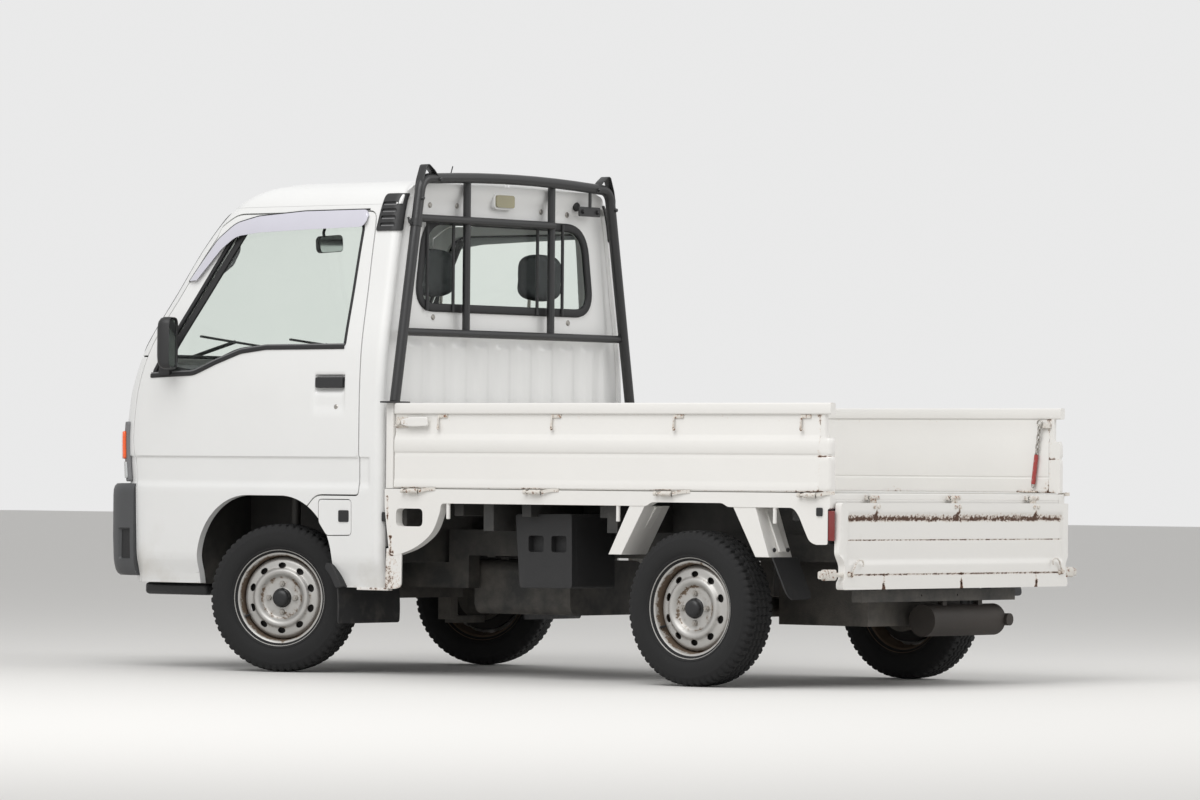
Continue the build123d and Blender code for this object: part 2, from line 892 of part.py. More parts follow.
# Front bumper, wrapped round to the doors, and the splash shield under it
with BuildPart() as front_bumper:
    with BuildSketch(Plane.XY.offset(bumper_low_z)):
        with BuildLine():
            bend = bumper_corner
            slant = bend * (1 - cos(radians(45)))
            side_y = bumper_half
            nose = front_x - bumper_bow
            tail = bumper_rear_x
            Line((tail, side_y), (nose - bend, side_y))
            ThreePointArc((nose - bend, side_y), (nose - slant, side_y - slant), (nose, side_y - bend))
            ThreePointArc((nose, side_y - bend), (front_x, 0), (nose, bend - side_y))
            ThreePointArc((nose, bend - side_y), (nose - slant, slant - side_y), (nose - bend, -side_y))
            Line((nose - bend, -side_y), (tail, -side_y))
            Line((tail, -side_y), (tail, side_y))
        make_face()
    extrude(amount=bumper_high_z - bumper_low_z)
    add(cab_outer, mode=Mode.SUBTRACT)
    with Locations((slot_front_x - slot_length / 2, 0, slot_low_z + slot_height / 2)):
        with GridLocations(1, 2 * bumper_half, 1, 2):
            Box(slot_length, 2 * slot_depth, slot_height, mode=Mode.SUBTRACT)
    with Locations(((front_axle_x + shield_rear + shield_front_x) / 2, 0, cab_bottom_z - shield_depth / 2)):
        Box(shield_front_x - front_axle_x - shield_rear, 2 * shield_half, shield_depth)
front_bumper.part.label = "front_bumper"
export_step(front_bumper.part, "parts/front_bumper.step")

# Door mirrors, each on an arm at the front corner of the door window
for side, name in ((1, "left"), (-1, "right")):
    with BuildPart() as mirror:
        with Locations(Location(
            (mirror_x, side * (mirror_outer_y - mirror_width / 2), (mirror_low_z + mirror_high_z) / 2),
        )):
            Box(mirror_depth, mirror_width, mirror_high_z - mirror_low_z)
        fillet(mirror.edges().filter_by(Axis.X), radius=14)
        with Locations((mirror_x + mirror_arm_length / 2, side * mirror_arm_y, mirror_arm_z)):
            Box(mirror_arm_length, mirror_arm_width, mirror_arm_height)
        with Locations((mirror_base_x, side * (mirror_arm_y - 20), mirror_arm_z)):
            Box(mirror_base_length, 90, mirror_arm_height + 20)
        add(cab_outer, mode=Mode.SUBTRACT)
    mirror.part.label = "mirror_" + name
    export_step(mirror.part, "parts/mirror_" + name + ".step")

# Load bed: deck, sills along both sides, rear sill, hinge lugs and rope pegs
bed_length = bed_front_x - bed_rear_x
bed_middle_x = (bed_front_x + bed_rear_x) / 2
sill_low_z = bed_floor_z - sill_height
side_hinge_xs = [rear_axle_x + offset for offset in side_hinge_offsets]
deck_half = gate_outer_y - gate_thickness - body_gap
deck_front_x = bed_front_x - corner_post - body_gap
with BuildPart() as bed_floor:
    with Locations((bed_middle_x, 0, bed_floor_z - bed_sheet / 2)):
        Box(bed_length, 2 * bed_half_width, bed_sheet)
    with Locations(((bed_rear_x + deck_front_x) / 2, 0, bed_floor_z + deck_rise / 2)):
        Box(deck_front_x - bed_rear_x, 2 * deck_half, deck_rise)
    for side in (1, -1):
        with Locations((bed_middle_x, side * (bed_half_width - sill_thickness / 2), bed_floor_z - sill_height / 2)):
            Box(bed_length, sill_thickness, sill_height)
        for hinge_x in side_hinge_xs:
            for end in (-1, 1):
                lug_x = hinge_x + end * (hinge_barrel_length / 4 + 1)
                with Locations((lug_x, side * (bed_half_width + gate_axis_y) / 2, gate_hinge_z)):
                    Box(hinge_barrel_length / 2 - 24, gate_axis_y - bed_half_width, 2 * hinge_barrel_radius)
                with Locations(Location((lug_x, side * gate_axis_y, gate_hinge_z), (0, 90, 0))):
                    Cylinder(hinge_barrel_radius, hinge_barrel_length / 2 - 24)
            with Locations(Location((hinge_x, side * gate_axis_y, gate_hinge_z), (0, 90, 0))):
                Cylinder(gate_pin_radius, hinge_barrel_length - 20)
        for peg_x in peg_xs:
            with Locations((peg_x, side * (bed_half_width - peg_width / 2), sill_low_z - peg_length / 2)):
                Box(peg_width, peg_width, peg_length)
    with Locations((bed_rear_x + sill_thickness / 2, 0, bed_floor_z - sill_height / 2)):
        Box(sill_thickness, 2 * bed_half_width, sill_height)
    for hinge_y in tail_hinge_offsets:
        for end in (-1, 1):
            lug_y = hinge_y + end * (hinge_barrel_length / 4 + 1)
            with Locations(((bed_rear_x + tailgate_axis_x) / 2, lug_y, tailgate_axis_z)):
                Box(bed_rear_x - tailgate_axis_x, hinge_barrel_length / 2 - 24, 2 * hinge_barrel_radius)
            with Locations(Location((tailgate_axis_x, lug_y, tailgate_axis_z), (90, 0, 0))):
                Cylinder(hinge_barrel_radius, hinge_barrel_length / 2 - 24)
        with Locations(Location((tailgate_axis_x, hinge_y, tailgate_axis_z), (90, 0, 0))):
            Cylinder(gate_pin_radius, hinge_barrel_length - 20)
    for side in (1, -1):
        plane, reach = side_prism(
            side * (bed_half_width - sill_thickness / 2) - sill_thickness / 2,
            side * (bed_half_width - sill_thickness / 2) + sill_thickness / 2,
        )
        with BuildSketch(plane):
            with BuildLine():
                Polyline(
                    (bed_rear_x + 58, corner_low_z),
                    (bed_rear_x + lamp_depth, corner_low_z),
                    (bed_rear_x + lamp_depth, sill_low_z),
                    (bed_rear_x + corner_length, sill_low_z),
                    (bed_rear_x + corner_length - 22, sill_low_z - 24),
                    (bed_rear_x + corner_length - 49, corner_low_z + 42),
                )
                ThreePointArc(
                    (bed_rear_x + corner_length - 49, corner_low_z + 42),
                    (bed_rear_x + corner_length - 66, corner_low_z + 14),
                    (bed_rear_x + 58, corner_low_z),
                )
            make_face()
        extrude(amount=reach)
        with BuildSketch(plane):
            with BuildLine():
                plate_rear_x = bed_front_x - plate_length
                Polyline(
                    (plate_rear_x, plate_low_z + 154),
                    (plate_rear_x - 6, sill_low_z),
                    (bed_front_x, sill_low_z),
                    (bed_front_x - plate_edge, plate_low_z),
                    (bed_front_x - 56, plate_low_z + 4),
                    (bed_front_x - 145, plate_low_z + 31),
                )
                ThreePointArc(
                    (bed_front_x - 145, plate_low_z + 31),
                    (bed_front_x - 221, plate_low_z + 85),
                    (plate_rear_x, plate_low_z + 154),
                )
            make_face()
        extrude(amount=reach)
        tab_middle_y = side * (bed_half_width - tab_thickness / 2)
        tab_plane, tab_reach = side_prism(tab_middle_y - tab_thickness / 2, tab_middle_y + tab_thickness / 2)
        with BuildSketch(tab_plane):
            with Locations((bed_front_x - tab_width / 2 - 3, (tab_low_z + plate_low_z + 20) / 2)):
                RectangleRounded(tab_width, plate_low_z + 20 - tab_low_z, tab_round)
        extrude(amount=tab_reach)
        with BuildSketch(plane):
            with Locations((bed_front_x - 112, sill_low_z - 50)):
                RectangleRounded(120, 62, 18)
        extrude(amount=reach, mode=Mode.SUBTRACT)
        with BuildSketch(plane):
            with BuildLine():
                Polyline(
                    (rear_axle_x + sill_arch_front, sill_low_z - 1),
                    (rear_axle_x + sill_arch_front - sill_arch_slope, sill_low_z + sill_arch_rise),
                    (rear_axle_x - sill_arch_rear + sill_arch_slope, sill_low_z + sill_arch_rise),
                    (rear_axle_x - sill_arch_rear, sill_low_z - 1),
                    close=True,
                )
            make_face()
        extrude(amount=reach, mode=Mode.SUBTRACT)
bed_floor.part.label = "bed_floor"
export_step(bed_floor.part, "parts/bed_floor.step")

# Front wall of the bed between its two corner posts
with BuildPart() as bed_front_wall:
    with Locations((bed_front_x - front_wall_thickness / 2, 0, (bed_floor_z + gate_top_z) / 2)):
        Box(front_wall_thickness, 2 * gate_outer_y, gate_top_z - bed_floor_z)
    for side in (1, -1):
        with Locations((
            bed_front_x - corner_post / 2,
            side * (gate_outer_y - corner_post_width / 2),
            (bed_floor_z + gate_top_z) / 2,
        )):
            Box(corner_post, corner_post_width, gate_top_z - bed_floor_z)
    with Locations((bed_front_x - corner_post / 2, 0, gate_top_z - 18)):
        Box(corner_post, 2 * gate_outer_y, 36)
    with Locations((bed_front_x - front_wall_thickness - front_rib_depth / 2, 0, (bed_floor_z + gate_top_z - 36) / 2)):
        with GridLocations(1, front_rib_pitch, 1, front_rib_count):
            Box(front_rib_depth, front_rib_width, gate_top_z - 36 - bed_floor_z - 2 * deck_rise)
bed_front_wall.part.label = "bed_front_wall"
export_step(bed_front_wall.part, "parts/bed_front_wall.step")

# Side gates: a pressed panel with a rail, a groove, a step and a flange along it
# columns: height above the gate's lower edge, how far the face stands back from the rail
gate_profile = [
    (0, 0),
    (26, 0),
    (28, 10),
    (120, 10),
    (122, 4),
    (180, 4),
    (184, 12),
    (202, 12),
    (206, 8),
    (254, 8),
    (256, 0),
    (gate_height, 0),
]
side_gate_front_x = bed_front_x - corner_post - body_gap
for side, name in ((1, "left"), (-1, "right")):
    with BuildPart() as side_gate:
        with BuildSketch(Plane.YZ.offset(bed_rear_x)):
            with BuildLine():
                face = [(side * (gate_outer_y - back), gate_bottom_z + rise) for rise, back in gate_profile]
                inner = side * (gate_outer_y - gate_thickness)
                Polyline(*face, (inner, gate_top_z), (inner, gate_bottom_z), close=True)
            make_face()
        extrude(amount=side_gate_front_x - bed_rear_x)
        for hinge_x in side_hinge_xs:
            with Locations((hinge_x, side * (gate_axis_y + gate_outer_y - 8) / 2, gate_bottom_z + 6)):
                Box(20, gate_axis_y - gate_outer_y + 8, 12)
            with Locations((hinge_x, side * gate_axis_y, (gate_hinge_z + gate_bottom_z + 12) / 2)):
                Box(20, 8, gate_bottom_z + 12 - gate_hinge_z)
            with Locations(Location((hinge_x, side * gate_axis_y, gate_hinge_z), (0, 90, 0))):
                Cylinder(hinge_barrel_radius, 20)
                Cylinder(gate_pin_radius + pin_clearance, 60, mode=Mode.SUBTRACT)
        with Locations((side_gate_front_x - 60, side * (gate_outer_y + (latch_stand - 11) / 2), latch_z)):
            Box(120, latch_stand + 11, 24)
        for offset in hook_offsets:
            with Locations((
                rear_axle_x + offset,
                side * (gate_outer_y - gate_profile[3][1] + hook_stand / 2 - 1),
                gate_top_z - 44 - hook_length / 2,
            )):
                Box(hook_width, hook_stand + 2, hook_length)
    side_gate.part.label = "side_gate_" + name
    export_step(side_gate.part, "parts/side_gate_" + name + ".step")

# Tailgate, hanging open behind the rear sill: a frame round a pressed panel with two folds along it
# columns: distance below the upper edge, how deep the panel lies there
tail_profile = [
    (31, 0),
    (45, 9),
    (55, 9),
    (57, 12),
    (60, 12),
    (62, 9),
    (121, 9),
    (123, 12),
    (126, 12),
    (128, 9),
    (188, 8),
    (203, 1),
    (236, 1),
    (238, 4),
    (241, 0),
]
with BuildPart() as tailgate:
    hang_top = tailgate_axis_z - tailgate_lift
    with Locations((tailgate_axis_x, 0, hang_top - tailgate_height / 2)):
        Box(gate_thickness, 2 * tailgate_half_width, tailgate_height)
    tail_face_x = tailgate_axis_x - gate_thickness / 2
    panel_half = tailgate_half_width - tail_frame
    plane, reach = side_prism(-panel_half, panel_half)
    with BuildSketch(plane):
        with BuildLine():
            pressed = [(tail_face_x + depth, hang_top - drop) for drop, depth in tail_profile]
            Polyline(*pressed, (tail_face_x - 1, pressed[-1][1]), (tail_face_x - 1, pressed[0][1]), close=True)
        make_face()
    extrude(amount=reach, mode=Mode.SUBTRACT)
    for hole_y in tail_hole_places:
        with Locations(Location((tailgate_axis_x, hole_y, hang_top - tail_hole_drop), (0, 90, 0))):
            Cylinder(tail_hole_radius, 2 * gate_thickness, mode=Mode.SUBTRACT)
    for side in (1, -1):
        with BuildSketch(Plane.YZ.offset(tail_face_x - 1)):
            with BuildLine():
                edge = tailgate_half_width + 1
                inner = tailgate_half_width - tail_notch
                Polyline(
                    (side * edge, hang_top - tail_notch_top + tail_notch_slope),
                    (side * inner, hang_top - tail_notch_top),
                    (side * inner, hang_top - tail_notch_low),
                    (side * edge, hang_top - tail_notch_low),
                    close=True,
                )
            make_face()
        extrude(amount=gate_thickness + 2, mode=Mode.SUBTRACT)
    for hinge_y in tail_hinge_offsets:
        with Locations((tailgate_axis_x, hinge_y, (tailgate_axis_z + hang_top) / 2)):
            Box(8, 20, tailgate_axis_z - hang_top)
        with Locations(Location((tailgate_axis_x, hinge_y, tailgate_axis_z), (90, 0, 0))):
            Cylinder(hinge_barrel_radius, 20)
            Cylinder(gate_pin_radius + pin_clearance, 60, mode=Mode.SUBTRACT)
    for side in (1, -1):
        with Locations((tailgate_axis_x, side * (tailgate_half_width + 6), hang_top - tailgate_height + 49)):
            Box(14, 74, 26)
tailgate.part.label = "tailgate"
export_step(tailgate.part, "parts/tailgate.step")

# Guard frame of bent tube that stands on the front wall of the bed
with BuildPart() as guard_frame:
    with BuildLine() as hoop:
        FilletPolyline(
            (guard_x, guard_foot_half, gate_top_z - 40),
            (guard_x, guard_shoulder_half, guard_top_z),
            (guard_x, -guard_shoulder_half, guard_top_z),
            (guard_x, -guard_foot_half, gate_top_z - 40),
            radius=guard_bend,
        )
    with BuildSketch(Plane(origin=hoop.line @ 0, z_dir=hoop.line % 0)):
        Circle(guard_tube_radius)
    sweep()
    split(bisect_by=Plane.XY.offset(gate_top_z), keep=Keep.TOP)
    post_slope = (guard_foot_half - guard_shoulder_half) / (guard_top_z - gate_top_z + 40)
    low_half = guard_foot_half - (guard_low_bar_z - gate_top_z + 40) * post_slope
    high_half = guard_foot_half - (guard_high_bar_z - gate_top_z + 40) * post_slope
    for bar_z, left_y, right_y in (
        (guard_low_bar_z, low_half, -low_half),
        (guard_high_bar_z, high_half, guard_right_upright_y),
    ):
        with Locations(Location((guard_x + 8, (left_y + right_y) / 2, bar_z), (90, 0, 0))):
            Cylinder(guard_bar_radius, left_y - right_y)
    for upright_y in (guard_left_upright_y, guard_right_upright_y):
        with Locations((guard_bar_x, upright_y, (guard_low_bar_z + guard_high_bar_z) / 2)):
            Cylinder(guard_bar_radius, guard_high_bar_z - guard_low_bar_z + 16)
        with BuildLine() as lean:
            Line((guard_bar_x, upright_y, guard_high_bar_z), (guard_x, upright_y, guard_top_z))
        with BuildSketch(Plane(origin=lean.line @ 0, z_dir=lean.line % 0)):
            Circle(guard_bar_radius)
        sweep()
    for side in (1, -1):
        with BuildSketch(Plane.YZ.offset(guard_x - ear_width / 2)):
            with BuildLine():
                Polyline(*[(side * (guard_shoulder_half - inwards), guard_top_z + rise) for inwards, rise in ear_outline])
            trace(line_width=ear_strap)
        extrude(amount=ear_width)
        with Locations((guard_x, side * (foot_pad_inner + foot_pad_outer) / 2, gate_top_z + foot_pad_thickness / 2)):
            Box(2 * foot_pad_half, foot_pad_outer - foot_pad_inner, foot_pad_thickness)
guard_frame.part.label = "guard_frame"
export_step(guard_frame.part, "parts/guard_frame.step")

# Tail lamps on the rear corners of the bed
with BuildPart() as tail_lamps:
    for side in (1, -1):
        with Locations((
            bed_rear_x + lamp_depth / 2,
            side * (bed_half_width - lamp_width / 2),
            (corner_low_z + sill_low_z) / 2,
        )):
            Box(lamp_depth, lamp_width, sill_low_z - corner_low_z)
tail_lamps.part.label = "tail_lamps"
export_step(tail_lamps.part, "parts/tail_lamps.step")

# Channel braces that run down from the sills before and behind each rear wheel
with BuildPart() as arch_braces:
    for side in (1, -1):
        for brace_x, lean_x in ((rear_axle_x + brace_front, brace_lean), (rear_axle_x - brace_rear, -brace_lean)):
            plane, reach = side_prism(
                side * (bed_half_width - brace_depth / 2 - 2) - brace_depth / 2,
                side * (bed_half_width - brace_depth / 2 - 2) + brace_depth / 2,
            )
            with BuildSketch(plane):
                with BuildLine():
                    Polyline(
                        (brace_x - brace_width / 2, sill_low_z),
                        (brace_x + brace_width / 2, sill_low_z),
                        (brace_x + brace_width / 2 + lean_x, brace_low_z),
                        (brace_x - brace_width / 2 + lean_x, brace_low_z),
                        close=True,
                    )
                make_face()
            extrude(amount=reach)
            pocket_side = side * (bed_half_width - brace_depth / 2 - 2) - side * brace_sheet
            plane, reach = side_prism(pocket_side - brace_depth / 2, pocket_side + brace_depth / 2)
            with BuildSketch(plane):
                with BuildLine():
                    pocket_half = brace_width / 2 - brace_sheet
                    Polyline(
                        (brace_x - pocket_half, sill_low_z - brace_sheet),
                        (brace_x + pocket_half, sill_low_z - brace_sheet),
                        (brace_x + pocket_half + lean_x, brace_low_z - 1),
                        (brace_x - pocket_half + lean_x, brace_low_z - 1),
                        close=True,
                    )
                make_face()
            extrude(amount=reach, mode=Mode.SUBTRACT)
arch_braces.part.label = "arch_braces"
export_step(arch_braces.part, "parts/arch_braces.step")

# Mudflaps behind the four wheels
with BuildPart() as mudflaps:
    for side in (1, -1):
        flap_x = front_axle_x - housing_half_length - sheet - flap_thickness / 2
        for low, high, inner, outer in (
            (flap_low_z, cab_bottom_z - 2, flap_inner_y, flap_outer_y),
            (cab_bottom_z - 2, footwell_z - sheet, flap_neck_inner_y, flap_neck_outer_y),
        ):
            with Locations((flap_x, side * (inner + outer) / 2, (low + high) / 2)):
                Box(flap_thickness, outer - inner, high - low)
        flap_top_x = rear_axle_x - brace_rear - brace_lean - brace_width / 2 + flap_thickness
        plane, reach = side_prism(
            side * (rear_flap_inner_y + flap_outer_y) / 2 - (flap_outer_y - rear_flap_inner_y) / 2,
            side * (rear_flap_inner_y + flap_outer_y) / 2 + (flap_outer_y - rear_flap_inner_y) / 2,
        )
        with BuildSketch(plane):
            with BuildLine():
                Polyline(
                    (flap_top_x, brace_low_z),
                    (flap_top_x - flap_thickness, brace_low_z),
                    (flap_top_x - flap_thickness - rear_flap_lean, brace_low_z - rear_flap_height),
                    (flap_top_x - rear_flap_lean, brace_low_z - rear_flap_height),
                    close=True,
                )
            make_face()
        extrude(amount=reach)
mudflaps.part.label = "mudflaps"
export_step(mudflaps.part, "parts/mudflaps.step")

# Ladder frame: rear rails at bed height, front rails under the cab, cross beams and bed beams
with BuildPart() as chassis_frame:
    for side in (1, -1):
        rail_y = side * (rail_inner_y + rail_width / 2)
        with Locations(((rail_rear_x + rail_step_x) / 2, rail_y, (rear_rail_low_z + rear_rail_high_z) / 2)):
            Box(rail_step_x - rail_rear_x, rail_width, rear_rail_high_z - rear_rail_low_z)
        with Locations(((rail_front_x + rail_step_x) / 2, rail_y, (front_rail_low_z + front_rail_high_z) / 2)):
            Box(rail_front_x - rail_step_x, rail_width, front_rail_high_z - front_rail_low_z)
        with Locations((rail_step_x - rail_step_length / 2, rail_y, (front_rail_low_z + rear_rail_high_z) / 2)):
            Box(rail_step_length, rail_width, rear_rail_high_z - front_rail_low_z)
    for offset in rear_beam_offsets:
        with Locations((rail_rear_x + beam_width / 2 + offset, 0, rear_rail_high_z - 30)):
            Box(beam_width, 2 * rail_inner_y, 60)
        for side in (1, -1):
            with Locations((
                rail_rear_x + beam_width / 2 + offset,
                side * (rail_inner_y + bed_half_width - sill_thickness) / 2,
                (rear_rail_high_z + bed_floor_z - bed_sheet) / 2,
            )):
                Box(
                    beam_width,
                    bed_half_width - sill_thickness - rail_inner_y,
                    bed_floor_z - bed_sheet - rear_rail_high_z,
                )
    for offset in front_beam_offsets:
        with Locations((rail_rear_x + offset, 0, front_rail_low_z + 30)):
            Box(beam_width, 2 * rail_inner_y, 60)
    with Locations((rear_bar_x, 0, (rear_bar_low_z + rear_bar_high_z) / 2)):
        Box(rear_bar_depth, 2 * rear_bar_half, rear_bar_high_z - rear_bar_low_z)
        with Locations((0, plate_hole_pitch / 2, 0), (0, -plate_hole_pitch / 2, 0)):
            with Locations(Location((0, 0, 0), (0, 90, 0))):
                Cylinder(plate_hole_radius, 2 * rear_bar_depth, mode=Mode.SUBTRACT)
    for side in (1, -1):
        with Locations((
            rear_bar_x,
            side * (rail_inner_y + rail_width / 2),
            (rear_bar_high_z + rear_rail_low_z) / 2,
        )):
            Box(rear_bar_depth, rail_width - 10, rear_rail_low_z - rear_bar_high_z)
chassis_frame.part.label = "chassis_frame"
export_step(chassis_frame.part, "parts/chassis_frame.step")

# Engine and gearbox as one plain block behind the rear axle, hung between the rails
with BuildPart() as engine_block:
    with Locations((rail_rear_x + beam_width + engine_gap + engine_length / 2, 0, (engine_low_z + engine_high_z) / 2)):
        Box(engine_length, 2 * engine_half_width, engine_high_z - engine_low_z)
    for side in (1, -1):
        with Locations((
            rail_rear_x + beam_width + engine_gap + engine_length / 2,
            side * (engine_half_width + rail_inner_y) / 2,
            rear_rail_high_z - 40,
        )):
            Box(90, rail_inner_y - engine_half_width, 50)
engine_block.part.label = "engine_block"
export_step(engine_block.part, "parts/engine_block.step")

# Fuel tank under the front of the bed, hung from the left rail
with BuildPart() as fuel_tank:
    with Locations((
        tank_rear_x + tank_length / 2,
        (tank_left_y + tank_right_y) / 2,
        (tank_low_z + tank_high_z) / 2,
    )):
        Box(tank_length, tank_left_y - tank_right_y, tank_high_z - tank_low_z)
    fillet(fuel_tank.edges().filter_by(Axis.X), radius=tank_round)
    with Locations((tank_rear_x + tank_length / 2, tank_left_y - tank_round, (tank_high_z + rear_rail_low_z) / 2 - sheet)):
        with GridLocations(tank_length / 2, 1, 2, 1):
            Box(hanger_width, hanger_thickness, rear_rail_low_z - tank_high_z + 2 * sheet)
    with Locations((
        tank_rear_x + tank_length / 2,
        (tank_left_y - tank_round + rail_inner_y + rail_width / 2) / 2,
        rear_rail_low_z - hanger_thickness / 2,
    )):
        with GridLocations(tank_length / 2, 1, 2, 1):
            Box(hanger_width, rail_inner_y + rail_width / 2 - tank_left_y + tank_round, hanger_thickness)
fuel_tank.part.label = "fuel_tank"
export_step(fuel_tank.part, "parts/fuel_tank.step")

# Silencer across the tail with its pipe to the right
with BuildPart() as exhaust:
    with Locations(Location((rear_bar_x + 10, muffler_y, muffler_z), (90, 0, 0))):
        Cylinder(muffler_radius, muffler_length)
    with Locations(Location((rear_bar_x - 20, muffler_y - 10 - muffler_length / 2, muffler_z), (0, 90, 0))):
        Cylinder(tailpipe_radius, tailpipe_length)
    with Locations(Location((rear_bar_x, muffler_y - 5 - muffler_length / 2, muffler_z), (90, 0, 0))):
        Cylinder(tailpipe_radius - 4, 24)
    with Locations((rear_bar_x, muffler_y, (muffler_z + rear_bar_low_z) / 2)):
        with GridLocations(1, muffler_length / 2, 1, 2):
            Box(rear_bar_depth / 2, 24, rear_bar_low_z - muffler_z)
exhaust.part.label = "exhaust"
export_step(exhaust.part, "parts/exhaust.step")

# Air box under the bed on the left, hung from the rail
with BuildPart() as under_bed_box:
    with Locations((box_rear_x + box_length / 2, (box_inner_y + box_outer_y) / 2, (box_low_z + box_high_z) / 2)):
        Box(box_length, box_outer_y - box_inner_y, box_high_z - box_low_z)
    with Locations((box_rear_x + box_length / 2 - box_hole_back, box_outer_y, box_hole_z)):
        with GridLocations(box_hole_pitch, 1, 2, 1):
            Box(box_hole_width, 2 * box_hole_depth, box_hole_height, mode=Mode.SUBTRACT)
    with Locations((
        box_rear_x + box_length / 2,
        (rail_inner_y + rail_width + box_inner_y) / 2,
        (rear_rail_low_z + rear_rail_high_z) / 2,
    )):
        Box(box_length - 80, box_inner_y - rail_inner_y - rail_width, 50)
under_bed_box.part.label = "under_bed_box"
export_step(under_bed_box.part, "parts/under_bed_box.step")

# Rear axle: trailing arms from the rails, a cross tube, brake plates and the two spindles
with BuildPart() as rear_axle:
    with Locations(Location((rear_axle_x, 0, tyre_radius), (90, 0, 0))):
        Cylinder(axle_tube_radius, 2 * (half_track - backing_set))
    for side in (1, -1):
        with Locations(Location((rear_axle_x, side * (half_track - backing_set), tyre_radius), (90, 0, 0))):
            Cylinder(backing_radius, 14)
        with Locations(Location((rear_axle_x, side * (half_track + spindle_end) / 2, tyre_radius), (90, 0, 0))):
            Cylinder(spindle_radius, half_track + spindle_end)
        with Locations((
            rear_axle_x + trailing_arm_length / 2,
            side * (rail_inner_y + rail_width / 2),
            tyre_radius,
        )):
            Box(trailing_arm_length, rail_width, 50)
        with Locations((
            rear_axle_x + trailing_arm_length - 30,
            side * (rail_inner_y + rail_width / 2),
            (tyre_radius + rear_rail_low_z) / 2,
        )):
            Box(60, rail_width, rear_rail_low_z - tyre_radius)
rear_axle.part.label = "rear_axle"
export_step(rear_axle.part, "parts/rear_axle.step")

# Front suspension beam: cross member, lower arms and the pins that the knuckles turn on
with BuildPart() as front_axle:
    with Locations((front_axle_x, 0, front_rail_low_z - 25)):
        Box(110, 2 * (rail_inner_y + rail_width), 50)
    for side in (1, -1):
        with Locations((
            front_axle_x,
            side * (rail_inner_y + rail_width + kingpin_y) / 2,
            arm_z,
        )):
            Box(60, kingpin_y - rail_inner_y - rail_width, arm_thickness)
        with Locations((front_axle_x, side * (rail_inner_y + rail_width - 20), (arm_z + front_rail_low_z) / 2)):
            Box(60, 40, front_rail_low_z - arm_z)
        with Locations((front_axle_x, side * kingpin_y, arm_z)):
            Cylinder(arm_eye_radius, arm_thickness)
        with Locations((front_axle_x, side * kingpin_y, arm_z + arm_thickness / 2 + ball_pin_length / 2)):
            Cylinder(ball_pin_radius, ball_pin_length)
front_axle.part.label = "front_axle"
export_step(front_axle.part, "parts/front_axle.step")

# Knuckles with their struts, turned to the left as parked
knuckle_base_z = arm_z + arm_thickness / 2 + 1
for side, name in ((1, "left"), (-1, "right")):
    steer = Plane(origin=(front_axle_x, side * kingpin_y, 0), x_dir=(cos(radians(steer_rest)), sin(radians(steer_rest)), 0))
    with BuildPart() as knuckle:
        with BuildSketch(steer.offset(knuckle_base_z)):
            Rectangle(knuckle_size, 2 * kingpin_radius + 12)
        extrude(amount=knuckle_top_z - knuckle_base_z)
        with BuildSketch(steer.offset(knuckle_base_z)):
            Circle(kingpin_radius)
        extrude(amount=strut_top_z - knuckle_base_z)
        with BuildSketch(steer.offset(knuckle_base_z)):
            Circle(ball_pin_radius + pin_clearance)
        extrude(amount=ball_pin_length + 4, mode=Mode.SUBTRACT)
        axle_plane = Plane(origin=steer.from_local_coords((0, 0, tyre_radius)), x_dir=steer.x_dir, z_dir=steer.y_dir * side)
        with BuildSketch(axle_plane):
            Circle(spindle_radius)
        extrude(amount=half_track + spindle_end - kingpin_y)
        with BuildSketch(axle_plane.offset(half_track - backing_set - 7 - kingpin_y)):
            Circle(backing_radius)
        extrude(amount=14)
    knuckle.part.label = "knuckle_" + name
    export_step(knuckle.part, "parts/knuckle_" + name + ".step")

# Four wheels and their tyres
# columns: name, axle x, side, steer angle
wheel_places = [
    ("front_left", front_axle_x, 1, steer_rest),
    ("front_right", front_axle_x, -1, steer_rest),
    ("rear_left", rear_axle_x, 1, 0),
    ("rear_right", rear_axle_x, -1, 0),
]
# columns: radius, distance outboard of the tyre's middle
rim_profile = [
    (rim_radius, -rim_half_width),
    (rim_radius, -bead_half_width),
    (bead_radius, -bead_half_width),
    (bead_radius, bead_half_width),
    (rim_radius, bead_half_width),
    (rim_radius, rim_half_width),
    (disc_radius, rim_half_width - 8),
    (disc_radius, disc_outset + disc_thickness),
    (spindle_radius + pin_clearance, disc_outset + disc_thickness),
    (spindle_radius + pin_clearance, disc_outset - hub_length),
    (hub_outer_radius, disc_outset - hub_length),
    (hub_outer_radius, disc_outset),
    (disc_radius, disc_outset),
    (disc_radius, -rim_half_width + 8),
]
tyre_profile = [
    (bead_radius, -bead_half_width),
    (rim_radius + 4, -bead_half_width),
    (rim_radius + 24, -tyre_width / 2 + 3),
    (rim_radius + 46, -tyre_width / 2),
    (tyre_radius - 20, -tyre_width / 2 + 4),
    (tyre_radius - 4, -tread_half_width),
    (tyre_radius, -tread_half_width + 12),
]
